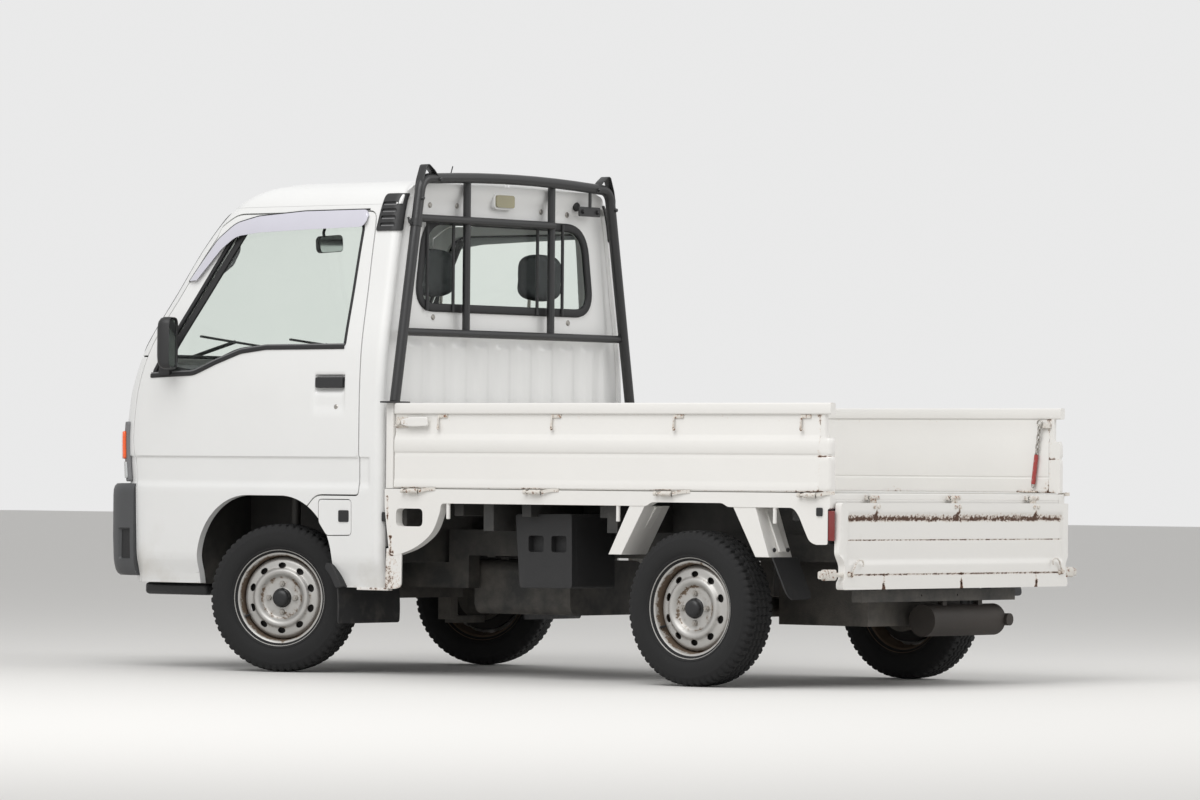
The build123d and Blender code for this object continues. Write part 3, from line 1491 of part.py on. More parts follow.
for name, axle_x, side, steer_angle in wheel_places:
    pivot = Plane(
        origin=(axle_x, side * kingpin_y, tyre_radius),
        x_dir=(cos(radians(steer_angle)), sin(radians(steer_angle)), 0),
    )
    centre = Plane(
        origin=pivot.from_local_coords((0, side * (half_track - kingpin_y), 0)),
        x_dir=pivot.x_dir,
        z_dir=pivot.y_dir * side,
    )
    section = Plane(origin=centre.origin, x_dir=centre.x_dir, z_dir=centre.x_dir.cross(centre.z_dir))
    spin = Axis(centre.origin, centre.z_dir)
    with BuildPart() as wheel:
        with BuildSketch(section):
            with BuildLine():
                Polyline(*[(radius, out) for radius, out in rim_profile], close=True)
            make_face()
        revolve(axis=spin, revolution_arc=360)
        with BuildSketch(centre.offset(disc_outset - 1)):
            with PolarLocations(vent_circle, vent_count):
                Circle(vent_radius)
        extrude(amount=disc_thickness + 2, mode=Mode.SUBTRACT)
        with BuildSketch(centre.offset(disc_outset + disc_thickness)):
            with PolarLocations(nut_circle, nut_count, start_angle=45):
                Circle(nut_radius)
        extrude(amount=12)
    wheel.part.label = "wheel_" + name
    export_step(wheel.part, "parts/wheel_" + name + ".step")

    with BuildPart() as tyre:
        with BuildSketch(section):
            with BuildLine():
                half = [(radius, out) for radius, out in tyre_profile]
                other = [(radius, -out) for radius, out in reversed(tyre_profile)]
                Polyline(*half, *other, close=True)
            make_face()
        revolve(axis=spin, revolution_arc=360)
    tyre.part.label = "tyre_" + name
    export_step(tyre.part, "parts/tyre_" + name + ".step")
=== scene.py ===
# Kei truck with a white cab, a drop-side bed and a tube guard, parked with its tailgate hanging open.
# Metres, X forward, Y left, Z up, origin on the ground in the middle of its outline.
import math

import bmesh
import bpy
import numpy as np
from mathutils import Matrix, Vector
from mathutils.geometry import delaunay_2d_cdt


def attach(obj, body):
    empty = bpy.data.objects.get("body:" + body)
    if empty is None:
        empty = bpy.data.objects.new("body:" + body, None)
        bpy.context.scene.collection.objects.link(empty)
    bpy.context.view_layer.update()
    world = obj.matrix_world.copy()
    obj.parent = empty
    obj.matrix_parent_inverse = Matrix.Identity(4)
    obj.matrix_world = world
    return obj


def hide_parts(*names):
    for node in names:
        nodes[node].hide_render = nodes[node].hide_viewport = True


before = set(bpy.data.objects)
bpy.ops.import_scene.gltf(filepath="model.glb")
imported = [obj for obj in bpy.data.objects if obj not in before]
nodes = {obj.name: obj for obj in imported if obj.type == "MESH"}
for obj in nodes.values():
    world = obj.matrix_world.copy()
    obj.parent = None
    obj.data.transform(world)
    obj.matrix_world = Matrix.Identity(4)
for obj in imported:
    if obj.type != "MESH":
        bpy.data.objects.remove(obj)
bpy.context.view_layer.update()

# The camera stands low, far to the left of the truck and behind it, with a long lens.
# Its place and lens are worked out from the truck's known sizes in the photograph.
camera_place = (-13.3537, 16.8369, 0.7077)
camera_yaw = math.radians(-51.8177)
camera_pitch = math.radians(0.7017)
camera_roll = 0.0085
lens_mm = 182.26
sensor_mm = 36.0

ahead = Vector((
    math.cos(camera_pitch) * math.cos(camera_yaw),
    math.cos(camera_pitch) * math.sin(camera_yaw),
    math.sin(camera_pitch),
))
level_right = ahead.cross(Vector((0, 0, 1))).normalized()
level_up = level_right.cross(ahead)
right = math.cos(camera_roll) * level_right + math.sin(camera_roll) * level_up
above = math.cos(camera_roll) * level_up - math.sin(camera_roll) * level_right
turn = Matrix((right, above, -ahead)).transposed()
camera_data = bpy.data.cameras.new("camera")
camera_data.lens = lens_mm
camera_data.sensor_width = sensor_mm
camera_data.sensor_fit = "HORIZONTAL"
camera_data.clip_end = 200
camera = bpy.data.objects.new("camera", camera_data)
camera.matrix_world = Matrix.Translation(camera_place) @ turn.to_4x4()
bpy.context.scene.collection.objects.link(camera)
bpy.context.scene.camera = camera

# The ground is a plain pale floor, and the light is that of a bright overcast day.
# Two large soft lamps give the sides and the roof their shape.
floor_half = 60.0
floor_colour = (0.62, 0.61, 0.59, 1)
seen_floor_colour = (0.72, 0.71, 0.69, 1)
sky_light = 0.62
seen_sky = 0.82
key_energy = 400
fill_energy = 170


def seen_directly(tree):
    """1 for rays from the camera and for those that glass or a gloss sends on, 0 for the light that they
    gather."""
    paths = tree.nodes.new("ShaderNodeLightPath")
    found = paths.outputs["Is Camera Ray"]
    for ray in ("Is Glossy Ray", "Is Transmission Ray"):
        larger = tree.nodes.new("ShaderNodeMath")
        larger.operation = "MAXIMUM"
        tree.links.new(found, larger.inputs[0])
        tree.links.new(paths.outputs[ray], larger.inputs[1])
        found = larger.outputs[0]
    return found


bpy.context.scene.view_settings.view_transform = "Standard"
floor_mesh = bpy.data.meshes.new("floor")
floor_mesh.from_pydata(
    [
        (-floor_half, -floor_half, 0), (floor_half, -floor_half, 0), (floor_half, floor_half, 0),
        (-floor_half, floor_half, 0),
    ],
    [], [(0, 1, 2, 3)],
)
floor = bpy.data.objects.new("floor", floor_mesh)
bpy.context.scene.collection.objects.link(floor)
floor_paint = bpy.data.materials.new("floor")
floor_paint.use_nodes = True
floor_shader = floor_paint.node_tree.nodes["Principled BSDF"]
floor_tree = floor_paint.node_tree
floor_mix = floor_tree.nodes.new("ShaderNodeMix")
floor_mix.data_type = "RGBA"
floor_mix.inputs[6].default_value = floor_colour
floor_mix.inputs[7].default_value = seen_floor_colour
floor_tree.links.new(seen_directly(floor_tree), floor_mix.inputs[0])
floor_tree.links.new(floor_mix.outputs[2], floor_shader.inputs["Base Color"])
floor_shader.inputs["Roughness"].default_value = 0.85
floor_mesh.materials.append(floor_paint)

world = bpy.data.worlds.new("overcast")
bpy.context.scene.world = world
world.use_nodes = True
sky = world.node_tree
sky.nodes.clear()
strength = sky.nodes.new("ShaderNodeMapRange")
strength.inputs["To Min"].default_value = sky_light
strength.inputs["To Max"].default_value = seen_sky
sky.links.new(seen_directly(sky), strength.inputs["Value"])
background = sky.nodes.new("ShaderNodeBackground")
background.inputs["Color"].default_value = (1.0, 1.0, 1.0, 1)
sky.links.new(strength.outputs[0], background.inputs["Strength"])
output = sky.nodes.new("ShaderNodeOutputWorld")
sky.links.new(background.outputs[0], output.inputs[0])

# columns: name, place, size, energy
soft_lamps = (
    ("key_lamp", (-1.5, 5.5, 6.5), 6.0, key_energy),
    ("fill_lamp", (-6.5, -3.0, 5.0), 5.0, fill_energy),
)
for lamp_name, lamp_place, lamp_size, lamp_energy in soft_lamps:
    lamp_data = bpy.data.lights.new(lamp_name, "AREA")
    lamp_data.size = lamp_size
    lamp_data.energy = lamp_energy
    lamp = bpy.data.objects.new(lamp_name, lamp_data)
    aim = Vector((0, 0, 0.8)) - Vector(lamp_place)
    lamp.matrix_world = Matrix.Translation(lamp_place) @ aim.to_track_quat("-Z", "Y").to_matrix().to_4x4()
    bpy.context.scene.collection.objects.link(lamp)

# The chassis is a ladder of pressed steel rails with outriggers under the bed.
# Its black paint is dulled by road dust that lies thickest low down, with rust starting at the seams.
underbody_black = (0.03, 0.03, 0.029)
road_dust = (0.16, 0.145, 0.125)
rust_brown = (0.2, 0.075, 0.03)


def effect_group(name, numbers, masks):
    """A shader node group that reads a vector and named numbers with their defaults, and puts out named
    masks."""
    group = bpy.data.node_groups.new(name, "ShaderNodeTree")
    group.interface.new_socket("Vector", in_out="INPUT", socket_type="NodeSocketVector")
    for label, default in numbers.items():
        socket = group.interface.new_socket(label, in_out="INPUT", socket_type="NodeSocketFloat")
        socket.default_value = default
    for label in masks:
        group.interface.new_socket(label, in_out="OUTPUT", socket_type="NodeSocketFloat")
    return group, group.nodes.new("NodeGroupInput").outputs, group.nodes.new("NodeGroupOutput").inputs


def feed(tree, socket, value):
    """Links an input to a value that is a socket, or sets it to a number or a colour."""
    if isinstance(value, (int, float)):
        socket.default_value = value
    elif isinstance(value, tuple):
        socket.default_value = (*value, 1.0)
    else:
        tree.links.new(value, socket)


def math_node(tree, operation, first, second, clamp=False):
    """A Math node whose inputs are sockets or plain numbers. Returns its output."""
    node = tree.nodes.new("ShaderNodeMath")
    node.operation = operation
    node.use_clamp = clamp
    feed(tree, node.inputs[0], first)
    feed(tree, node.inputs[1], second)
    return node.outputs[0]


def noise_value(tree, vector, scale, detail=6.0, roughness=0.6):
    """Noise over a vector socket, from 0 to 1. Scale is a socket or a number."""
    node = tree.nodes.new("ShaderNodeTexNoise")
    for label, value in (
        ("Vector", vector), ("Scale", scale), ("Detail", detail), ("Roughness", roughness),
    ):
        feed(tree, node.inputs[label], value)
    return node.outputs[0]


def spread(tree, value, low, high):
    """A node that brings a value from 0 to 1 between low and high."""
    node = tree.nodes.new("ShaderNodeMapRange")
    for label, given in (("Value", value), ("To Min", low), ("To Max", high)):
        feed(tree, node.inputs[label], given)
    return node


# Dust: noise that fades out from a low height to a high one.
dust_group, dust_in, dust_out = effect_group(
    "dust", {"Scale": 8.0, "Cover": 0.5, "Low": 0.1, "High": 0.8}, ("Mask",),
)
dust_split = dust_group.nodes.new("ShaderNodeSeparateXYZ")
dust_group.links.new(dust_in["Vector"], dust_split.inputs[0])
dust_height = spread(dust_group, dust_split.outputs["Z"], 1.0, 0.0)
dust_height.interpolation_type = "SMOOTHSTEP"
dust_group.links.new(dust_in["Low"], dust_height.inputs["From Min"])
dust_group.links.new(dust_in["High"], dust_height.inputs["From Max"])
dust_noise = noise_value(dust_group, dust_in["Vector"], dust_in["Scale"])
dust_edge = math_node(
    dust_group, "ADD", dust_noise, math_node(dust_group, "SUBTRACT", dust_in["Cover"], 1.0),
)
dust_mask = math_node(dust_group, "MULTIPLY", dust_edge, 2.5, clamp=True)
dust_group.links.new(math_node(dust_group, "MULTIPLY", dust_mask, dust_height.outputs[0]), dust_out["Mask"])

# Spots: small sharp islands of noise, as chips and rust make. More wear makes them larger.
spot_group, spot_in, spot_out = effect_group(
    "spots", {"Scale": 60.0, "Cover": 0.3, "Wear": 0.0}, ("Mask", "Halo"),
)
spot_fine = noise_value(spot_group, spot_in["Vector"], spot_in["Scale"], 8.0, 0.7)
spot_reach = math_node(spot_group, "ADD", spot_in["Cover"], spot_in["Wear"])
spot_level = math_node(spot_group, "ADD", spot_fine, math_node(spot_group, "SUBTRACT", spot_reach, 1.0))
spot_group.links.new(math_node(spot_group, "MULTIPLY", spot_level, 14.0, clamp=True), spot_out["Mask"])
halo_level = math_node(spot_group, "ADD", spot_level, 0.1)
spot_group.links.new(math_node(spot_group, "MULTIPLY", halo_level, 3.5, clamp=True), spot_out["Halo"])


def blend_colour(tree, amount, first, second):
    """A colour that goes from the first to the second by a mask. Colours are sockets or tuples."""
    node = tree.nodes.new("ShaderNodeMix")
    node.data_type = "RGBA"
    for socket, value in (
        (node.inputs["Factor"], amount), (node.inputs[6], first), (node.inputs[7], second),
    ):
        feed(tree, socket, value)
    return node.outputs[2]


def use_group(tree, group, **values):
    """Places a node group and sets or links its named inputs. Returns its outputs."""
    node = tree.nodes.new("ShaderNodeGroup")
    node.node_tree = group
    for label, value in values.items():
        feed(tree, node.inputs[label], value)
    return node.outputs


def make_finish(
    name, colour, rough, metal=0.0, coat=0.0, mottle=0.05, dust=None, spots=None, worn=None,
    grain=None,
):
    """A material: a colour that varies a little, with dust, spots and worn places laid over it. dust is
    (colour, scale, cover, low, high), spots (colour, scale, cover), worn (core colour, halo colour, scale)
    with the piece's own attribute "wear", and grain (scale, depth) a fine bump."""
    material = bpy.data.materials.new(name)
    material.use_nodes = True
    tree = material.node_tree
    shader = tree.nodes["Principled BSDF"].inputs
    shader["Metallic"].default_value = metal
    shader["Coat Weight"].default_value = coat
    where = tree.nodes.new("ShaderNodeTexCoord").outputs["Object"]
    broad = noise_value(tree, where, 3.0, 3.0)
    darker = tuple(c * (1 - 2 * mottle) for c in colour)
    lighter = tuple(min(1.0, c * (1 + mottle)) for c in colour)
    shade = blend_colour(tree, broad, darker, lighter)
    roughness = spread(tree, broad, max(0.02, rough - 0.06), min(1.0, rough + 0.06)).outputs[0]
    # columns: mask, colour, how dull it makes the surface
    layers = []
    if spots:
        mark = use_group(tree, spot_group, Vector=where, Scale=spots[1], Cover=spots[2])
        layers.append((mark["Mask"], spots[0], 0.8))
    if worn:
        wear = tree.nodes.new("ShaderNodeAttribute")
        wear.attribute_name = "wear"
        mark = use_group(tree, spot_group, Vector=where, Scale=worn[2], Cover=0.0, Wear=wear.outputs["Fac"])
        layers += [(mark["Halo"], worn[1], 0.0), (mark["Mask"], worn[0], 0.85)]
    if dust:
        film = use_group(
            tree, dust_group, Vector=where, Scale=dust[1], Cover=dust[2], Low=dust[3], High=dust[4],
        )
        layers.append((film["Mask"], dust[0], 0.9))
    for mask, paint, dull in layers:
        shade = blend_colour(tree, mask, shade, paint)
        if dull:
            roughness = math_node(tree, "MAXIMUM", roughness, math_node(tree, "MULTIPLY", mask, dull))
    tree.links.new(shade, shader["Base Color"])
    tree.links.new(roughness, shader["Roughness"])
    if grain:
        bump = tree.nodes.new("ShaderNodeBump")
        bump.inputs["Strength"].default_value = 1.0
        bump.inputs["Distance"].default_value = grain[1]
        tree.links.new(noise_value(tree, where, grain[0], 4.0), bump.inputs["Height"])
        tree.links.new(bump.outputs[0], shader["Normal"])
    return material


def dress(node, material):
    """Gives a CAD node its finish."""
    mesh = nodes[node].data
    mesh.materials.clear()
    mesh.materials.append(material)


underbody_paint = make_finish(
    "underbody_paint", underbody_black, 0.62, mottle=0.2,
    dust=(road_dust, 9.0, 0.62, 0.05, 0.75), spots=(rust_brown, 70.0, 0.28), grain=(160.0, 0.0006),
)
dress("chassis_frame", underbody_paint)


def grid_faces(rows, columns, wrap_rows=False, wrap_columns=False):
    """Quads of a grid of points: each point is joined to the next in its row and in its column."""
    row = np.arange(rows if wrap_rows else rows - 1)[:, None]
    column = np.arange(columns if wrap_columns else columns - 1)[None, :]
    next_row = (row + 1) % rows
    next_column = (column + 1) % columns
    corners = (
        row * columns + column,
        row * columns + next_column,
        next_row * columns + next_column,
        next_row * columns + column,
    )
    return np.stack(np.broadcast_arrays(*corners), -1).reshape(-1, 4)


def capped(rows, columns):
    """Faces of a grid whose rows are closed rings, with the first and the last ring filled."""
    last = (rows - 1) * columns
    ends = [list(range(columns)), list(range(last, last + columns))[::-1]]
    return grid_faces(rows, columns, False, True).tolist() + ends


def joined(*shapes):
    """Several shapes, each (points, faces), as one."""
    points, faces, start = [], [], 0
    for shape_points, shape_faces in shapes:
        points.append(np.asarray(shape_points, float).reshape(-1, 3))
        faces.extend([[int(i) + start for i in face] for face in shape_faces])
        start += len(points[-1])
    return np.vstack(points), faces


def both_sides(*shapes):
    """Shapes of the left side and their mirror images on the right, as one."""
    points, faces = joined(*shapes)
    return joined((points, faces), (points * (1, -1, 1), faces))


def add_piece(
    name, shape, material, body="truck", slot=None, node=None, sharp=35.0, rounding=0.0, wear=None,
):
    """A new piece from a shape: points that coincide are merged, faces turned outwards, and edges flatter
    than the sharp angle are shaded smooth. Rounding bevels the sharp edges. Wear is a number, or a function
    of the points, and tells how worn each is. The piece goes to its body, and it may replace a CAD node.
    Slot is not used."""
    points, faces = shape
    mesh = bpy.data.meshes.new(name)
    mesh.from_pydata(np.asarray(points).tolist(), [], [list(map(int, face)) for face in faces])
    work = bmesh.new()
    work.from_mesh(mesh)
    bmesh.ops.remove_doubles(work, verts=work.verts, dist=1e-6)
    bmesh.ops.recalc_face_normals(work, faces=work.faces)
    work.to_mesh(mesh)
    work.free()
    mesh.shade_smooth()
    mesh.set_sharp_from_angle(angle=math.radians(sharp))
    if wear is not None:
        flat = np.zeros(len(mesh.vertices) * 3, np.float32)
        mesh.vertices.foreach_get("co", flat)
        worn = wear(flat.reshape(-1, 3)) if callable(wear) else np.full(len(mesh.vertices), wear)
        values = np.clip(worn, 0, 1).astype(np.float32)
        mesh.attributes.new("wear", "FLOAT", "POINT").data.foreach_set("value", values)
    mesh.materials.append(material)
    piece = bpy.data.objects.new(name, mesh)
    bpy.context.scene.collection.objects.link(piece)
    if rounding:
        bevel = piece.modifiers.new("rounding", "BEVEL")
        bevel.width = rounding
        bevel.segments = 2
        bevel.limit_method = "ANGLE"
        bevel.angle_limit = math.radians(40)
        bevel.harden_normals = False
    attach(piece, body)
    if node:
        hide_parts(node)
    return piece


def add_pair(name, shape, material, part=None, body="truck", node=None, left_node=None, **looks):
    """A piece on both sides: its shape as it is on the left, and mirrored on the right. Part is the kind of
    body that carries each, where it isn't one body for both. Each side replaces its own node, or the left
    one a shared node."""
    points, faces = shape
    for side, label in ((1, "left"), (-1, "right")):
        carrier = label + "_" + part if part else body
        replaced = node + "_" + label if node else left_node if side > 0 else None
        add_piece(
            name + "_" + label, (points * (1, side, 1), faces), material, carrier, node=replaced, **looks
        )


def block(low, high):
    """A box between two corners."""
    x0, y0, z0 = low
    x1, y1, z1 = high
    points = [(x, y, z) for x in (x0, x1) for y in (y0, y1) for z in (z0, z1)]
    faces = [(0, 1, 3, 2), (4, 6, 7, 5), (0, 4, 5, 1), (2, 3, 7, 6), (0, 2, 6, 4), (1, 5, 7, 3)]
    return np.array(points), faces


def frame_from(axis):
    """Two unit vectors square to an axis and to each other."""
    axis = np.asarray(axis, float) / np.linalg.norm(axis)
    helper = np.array((0.0, 0.0, 1.0)) if abs(axis[2]) < 0.9 else np.array((1.0, 0.0, 0.0))
    first = np.cross(helper, axis)
    first /= np.linalg.norm(first)
    return first, np.cross(axis, first), axis


def turned(profile, centre, axis, steps=32):
    """A profile of (radius, distance along the axis) turned once about it. Where its ends lie off the axis
    the profile is closed on itself."""
    profile = np.asarray(profile, float)
    first, second, along = frame_from(axis)
    angle = np.linspace(0, 2 * math.pi, steps, endpoint=False)[:, None, None]
    ring = np.cos(angle) * first + np.sin(angle) * second
    points = np.asarray(centre) + profile[None, :, :1] * ring + profile[None, :, 1:] * along
    wrap = profile[0, 0] > 1e-9 and profile[-1, 0] > 1e-9
    return points.reshape(-1, 3), grid_faces(steps, len(profile), True, wrap)


def knob(profile, centre, axis, steps=16):
    """A profile of (radius, distance) turned to a solid, its two ends closed with flat discs."""
    return turned([(0, profile[0][1]), *profile, (0, profile[-1][1])], centre, axis, steps)


def rod(start, end, radius, steps=20, chamfer=0.0):
    """A round bar between two points, with chamfered ends."""
    start, end = np.asarray(start, float), np.asarray(end, float)
    length = float(np.linalg.norm(end - start))
    profile = [(radius, 0), (radius, length)]
    if chamfer:
        profile = [
            (radius - chamfer, 0), (radius, chamfer), (radius, length - chamfer),
            (radius - chamfer, length),
        ]
    return knob(profile, start, end - start, steps)


def smooth_path(corners, radius, steps=6):
    """A path through corner points whose bends are arcs made from short chords."""
    corners = [np.asarray(c, float) for c in corners]
    path = [corners[0]]
    for before, corner, after in zip(corners, corners[1:], corners[2:]):
        back = (before - corner) / np.linalg.norm(before - corner)
        forth = (after - corner) / np.linalg.norm(after - corner)
        bend = math.acos(np.clip(np.dot(back, forth), -1, 1))
        reach = min(
            radius / math.tan(bend / 2), 0.48 * np.linalg.norm(before - corner),
            0.48 * np.linalg.norm(after - corner),
        )
        t = np.linspace(0, 1, steps + 1)[:, None]
        path.extend(
            (1 - t) ** 2 * (corner + back * reach) + 2 * t * (1 - t) * corner
            + t**2 * (corner + forth * reach)
        )
    path.append(corners[-1])
    return np.array(path)


def carried(path, outline, closed=False, up=(0.0, 0.0, 1.0)):
    """An outline of (across, upward) carried along a path: at each point it stands square to the path,
    with its second axis as near to up as it can be. Open paths get flat ends."""
    path = np.asarray(path, float)
    outline = np.asarray(outline, float)
    if closed:
        ahead_of = np.roll(path, -1, 0) - np.roll(path, 1, 0)
    else:
        ahead_of = np.gradient(path, axis=0)
    ahead_of /= np.linalg.norm(ahead_of, axis=1, keepdims=True)
    across = np.cross(ahead_of, np.broadcast_to(np.asarray(up, float), path.shape))
    across /= np.linalg.norm(across, axis=1, keepdims=True)
    upward = np.cross(across, ahead_of)
    points = path[:, None] + outline[None, :, :1] * across[:, None] + outline[None, :, 1:] * upward[:, None]
    faces = grid_faces(len(path), len(outline), True, True) if closed else capped(len(path), len(outline))
    return points.reshape(-1, 3), faces


def round_outline(radius, steps=12):
    """A circle's points."""
    angle = np.linspace(0, 2 * math.pi, steps, endpoint=False)
    return np.stack([radius * np.cos(angle), radius * np.sin(angle)], 1)


def soft_box(width, height, radius, steps=4):
    """A rectangle's points with round corners, about the middle."""
    angle = np.linspace(0, math.pi / 2, steps + 1)
    corner = np.stack([np.cos(angle), np.sin(angle)], 1) * radius
    points = []
    for quarter in range(4):
        c, s = math.cos(quarter * math.pi / 2), math.sin(quarter * math.pi / 2)
        middle = np.array([
            (width / 2 - radius) * (1 if quarter in (0, 3) else -1),
            (height / 2 - radius) * (1 if quarter in (0, 1) else -1),
        ])
        points.append(middle + corner @ np.array([[c, s], [-s, c]]))
    return np.vstack(points)


# The engine and gearbox sit low behind the rear axle, with the silencer across the tail.
# They are bare cast metal and heat-stained steel, dull with oil and dust.
engine_grey = (0.075, 0.072, 0.068)
heat_brown = (0.045, 0.038, 0.033)
cast_metal = make_finish(
    "cast_metal", engine_grey, 0.55, metal=0.6, mottle=0.25,
    dust=(road_dust, 14.0, 0.7, 0.05, 0.6), spots=(rust_brown, 55.0, 0.33), grain=(220.0, 0.001),
)
pipe_metal = make_finish(
    "pipe_metal", heat_brown, 0.65, metal=0.3, mottle=0.3,
    dust=(road_dust, 20.0, 0.35, 0.05, 0.5), spots=(rust_brown, 40.0, 0.36), grain=(180.0, 0.0008),
)
for node in ("engine_block", "rear_axle", "front_axle", "knuckle_left", "knuckle_right"):
    dress(node, cast_metal)
dress("exhaust", pipe_metal)
dress("fuel_tank", underbody_paint)

# Each wheel is two pressings welded together: a rim with rolled flanges, and a disc with ten oval vents
# round a raised ring and a dished middle. Silver paint, browned by brake dust in the hollows.
wheel_silver = (0.5, 0.49, 0.47)
brake_dust = (0.17, 0.125, 0.09)
dust_film = (0.33, 0.29, 0.25)
wheelbase = 1.885
front_axle_x = 0.8555
rear_axle_x = front_axle_x - wheelbase
wheel_height = 0.262
half_track = 0.612
kingpin_y = 0.512
steer_rest = math.radians(20)
disc_thickness = 0.004
vent_count = 10
vent_circle = 0.115
vent_size = (0.0145, 0.0105)
nut_circle = 0.05
nut_count = 4
nut_half_width = 0.0098
cap_radius = 0.0345

# columns: name, side, axle x, steering angle at rest
wheel_places = (
    ("front_left", 1, front_axle_x, steer_rest),
    ("front_right", -1, front_axle_x, steer_rest),
    ("rear_left", 1, rear_axle_x, 0.0),
    ("rear_right", -1, rear_axle_x, 0.0),
)

# columns: radius, distance outboard of the wheel's middle
rim_section = (
    (0.1475, 0.004), (0.149, 0.03), (0.15, 0.04), (0.154, 0.0475), (0.162, 0.05), (0.1665, 0.053),
    (0.169, 0.0585), (0.1712, 0.059), (0.1725, 0.0565), (0.1715, 0.053), (0.168, 0.048), (0.164, 0.046),
    (0.157, 0.043), (0.1545, 0.036), (0.153, 0.02), (0.153, -0.03), (0.157, -0.043), (0.164, -0.046),
    (0.1715, -0.053), (0.1725, -0.0565), (0.1712, -0.059), (0.169, -0.0585), (0.1665, -0.053),
    (0.162, -0.05), (0.154, -0.046), (0.1495, -0.03), (0.149, -0.006),
)
disc_section = (
    (0.03, 0.03), (0.036, 0.0262), (0.066, 0.0258), (0.072, 0.0275), (0.08, 0.0355), (0.0875, 0.0425),
    (0.095, 0.0445), (0.1015, 0.0415), (0.106, 0.035), (0.11, 0.033), (0.123, 0.031), (0.132, 0.029),
    (0.1385, 0.024), (0.144, 0.013), (0.1482, 0.005),
)


def through(table, values, column=1):
    """A smooth curve through the rows of a table, by the value in their first column. Between two rows it
    is a cubic whose slopes are the harmonic means of the slopes beside it, so it never overshoots."""
    table = np.asarray(table, float)
    x, y = table[:, 0], table[:, column]
    if x[0] > x[-1]:
        x, y = x[::-1], y[::-1]
    step = np.diff(x)
    slope = np.diff(y) / step
    bend = np.concatenate([[slope[0]], np.zeros(len(x) - 2), [slope[-1]]])
    same = slope[:-1] * slope[1:] > 0
    with np.errstate(divide="ignore", invalid="ignore"):
        mean = 2 * slope[:-1] * slope[1:] / (slope[:-1] + slope[1:])
    bend[1:-1] = np.where(same, mean, 0)
    values = np.asarray(values, float)
    i = np.clip(np.searchsorted(x, values) - 1, 0, len(x) - 2)
    t = np.clip((values - x[i]) / step[i], 0, 1)
    h, d0, d1 = step[i], bend[i], bend[i + 1]
    return (
        y[i] * (1 + 2 * t) * (1 - t) ** 2 + y[i + 1] * t**2 * (3 - 2 * t)
        + h * d0 * t * (1 - t) ** 2 - h * d1 * t**2 * (1 - t)
    )


def inside(points, ring):
    """Which points lie inside a closed ring: a line from each crosses the ring an odd number of times."""
    x, y = points[:, 0][:, None], points[:, 1][:, None]
    x0, y0 = ring[:, 0][None], ring[:, 1][None]
    x1, y1 = np.roll(ring, -1, 0)[:, 0][None], np.roll(ring, -1, 0)[:, 1][None]
    with np.errstate(divide="ignore", invalid="ignore"):
        cross = (y0 > y) != (y1 > y)
        hit = x < (x1 - x0) * (y - y0) / (y1 - y0) + x0
    return (cross & hit).sum(1) % 2 == 1


def dense_ring(ring, spacing):
    """A closed ring with points added, so that none of its sides is longer than the spacing."""
    ring = np.asarray(ring, float)
    out = []
    for start, end in zip(ring, np.roll(ring, -1, 0)):
        count = max(1, int(math.ceil(np.linalg.norm(end - start) / spacing)))
        out.append(start + (end - start) * (np.arange(count) / count)[:, None])
    return np.vstack(out)


def filled(outer, holes, net):
    """Triangles that fill a ring less its holes, with the net's points inside it as well."""
    rings = [outer, *holes]
    keep = inside(net, outer)
    for hole in holes:
        keep &= ~inside(net, hole)
    border = np.vstack(rings)
    net = net[keep]
    if len(net):
        near = np.array([np.min(np.sum((border - p) ** 2, 1)) for p in net])
        reach = np.median(np.sort(np.linalg.norm(np.diff(border, axis=0), axis=1))) * 0.45
        net = net[near > reach**2]
    edges, start = [], 0
    for ring in rings:
        count = len(ring)
        edges += [(start + i, start + (i + 1) % count) for i in range(count)]
        start += count
    points = np.vstack([border, net])
    made = delaunay_2d_cdt([Vector(p) for p in points], edges, [], 1, 1e-7)
    flat = np.array([tuple(v) for v in made[0]])
    faces = np.array(made[2])
    middle = flat[faces].mean(1)
    use = inside(middle, outer)
    for hole in holes:
        use &= ~inside(middle, hole)
    return flat, faces[use]


def walled(flat, faces, front, back):
    """A closed shell from a filled region: its front and back surfaces, joined round every border."""
    pairs = np.vstack([faces[:, [0, 1]], faces[:, [1, 2]], faces[:, [2, 0]]])
    key = np.sort(pairs, 1)
    _, first, count = np.unique(key, axis=0, return_index=True, return_counts=True)
    border = pairs[first[count == 1]]
    size = len(flat)
    points = np.vstack([front(flat), back(flat)])
    walls = np.stack([border[:, 1], border[:, 0], border[:, 0] + size, border[:, 1] + size], 1)
    return points, [*faces.tolist(), *(faces[:, ::-1] + size).tolist(), *walls.tolist()]


def ring_net(radii, middle=(0.0, 0.0), spacing=0.006):
    """Points on rings of the given radii, about the spacing apart."""
    rings = []
    for radius in radii:
        count = max(6, int(2 * math.pi * radius / spacing))
        angle = np.arange(count) * 2 * math.pi / count
        rings.append(np.stack([np.cos(angle), np.sin(angle)], 1) * radius)
    return np.vstack(rings) + np.asarray(middle)


def wheel_frame(side, axle_x, steer):
    """A wheel's middle and its forward, upward and outward directions."""
    pin = np.array([axle_x, side * kingpin_y, wheel_height])
    outward = np.array([-math.sin(steer), math.cos(steer), 0.0]) * side
    forward = np.array([math.cos(steer), math.sin(steer), 0.0])
    return pin + outward * (half_track - kingpin_y), forward, np.array([0.0, 0.0, 1.0]), outward


def seated(shape, place):
    """A shape made about a wheel's middle, with its third axis outward, moved to that wheel."""
    middle, forward, upward, outward = place
    points, faces = shape
    return middle + points[:, :1] * forward + points[:, 1:2] * upward + points[:, 2:] * outward, faces


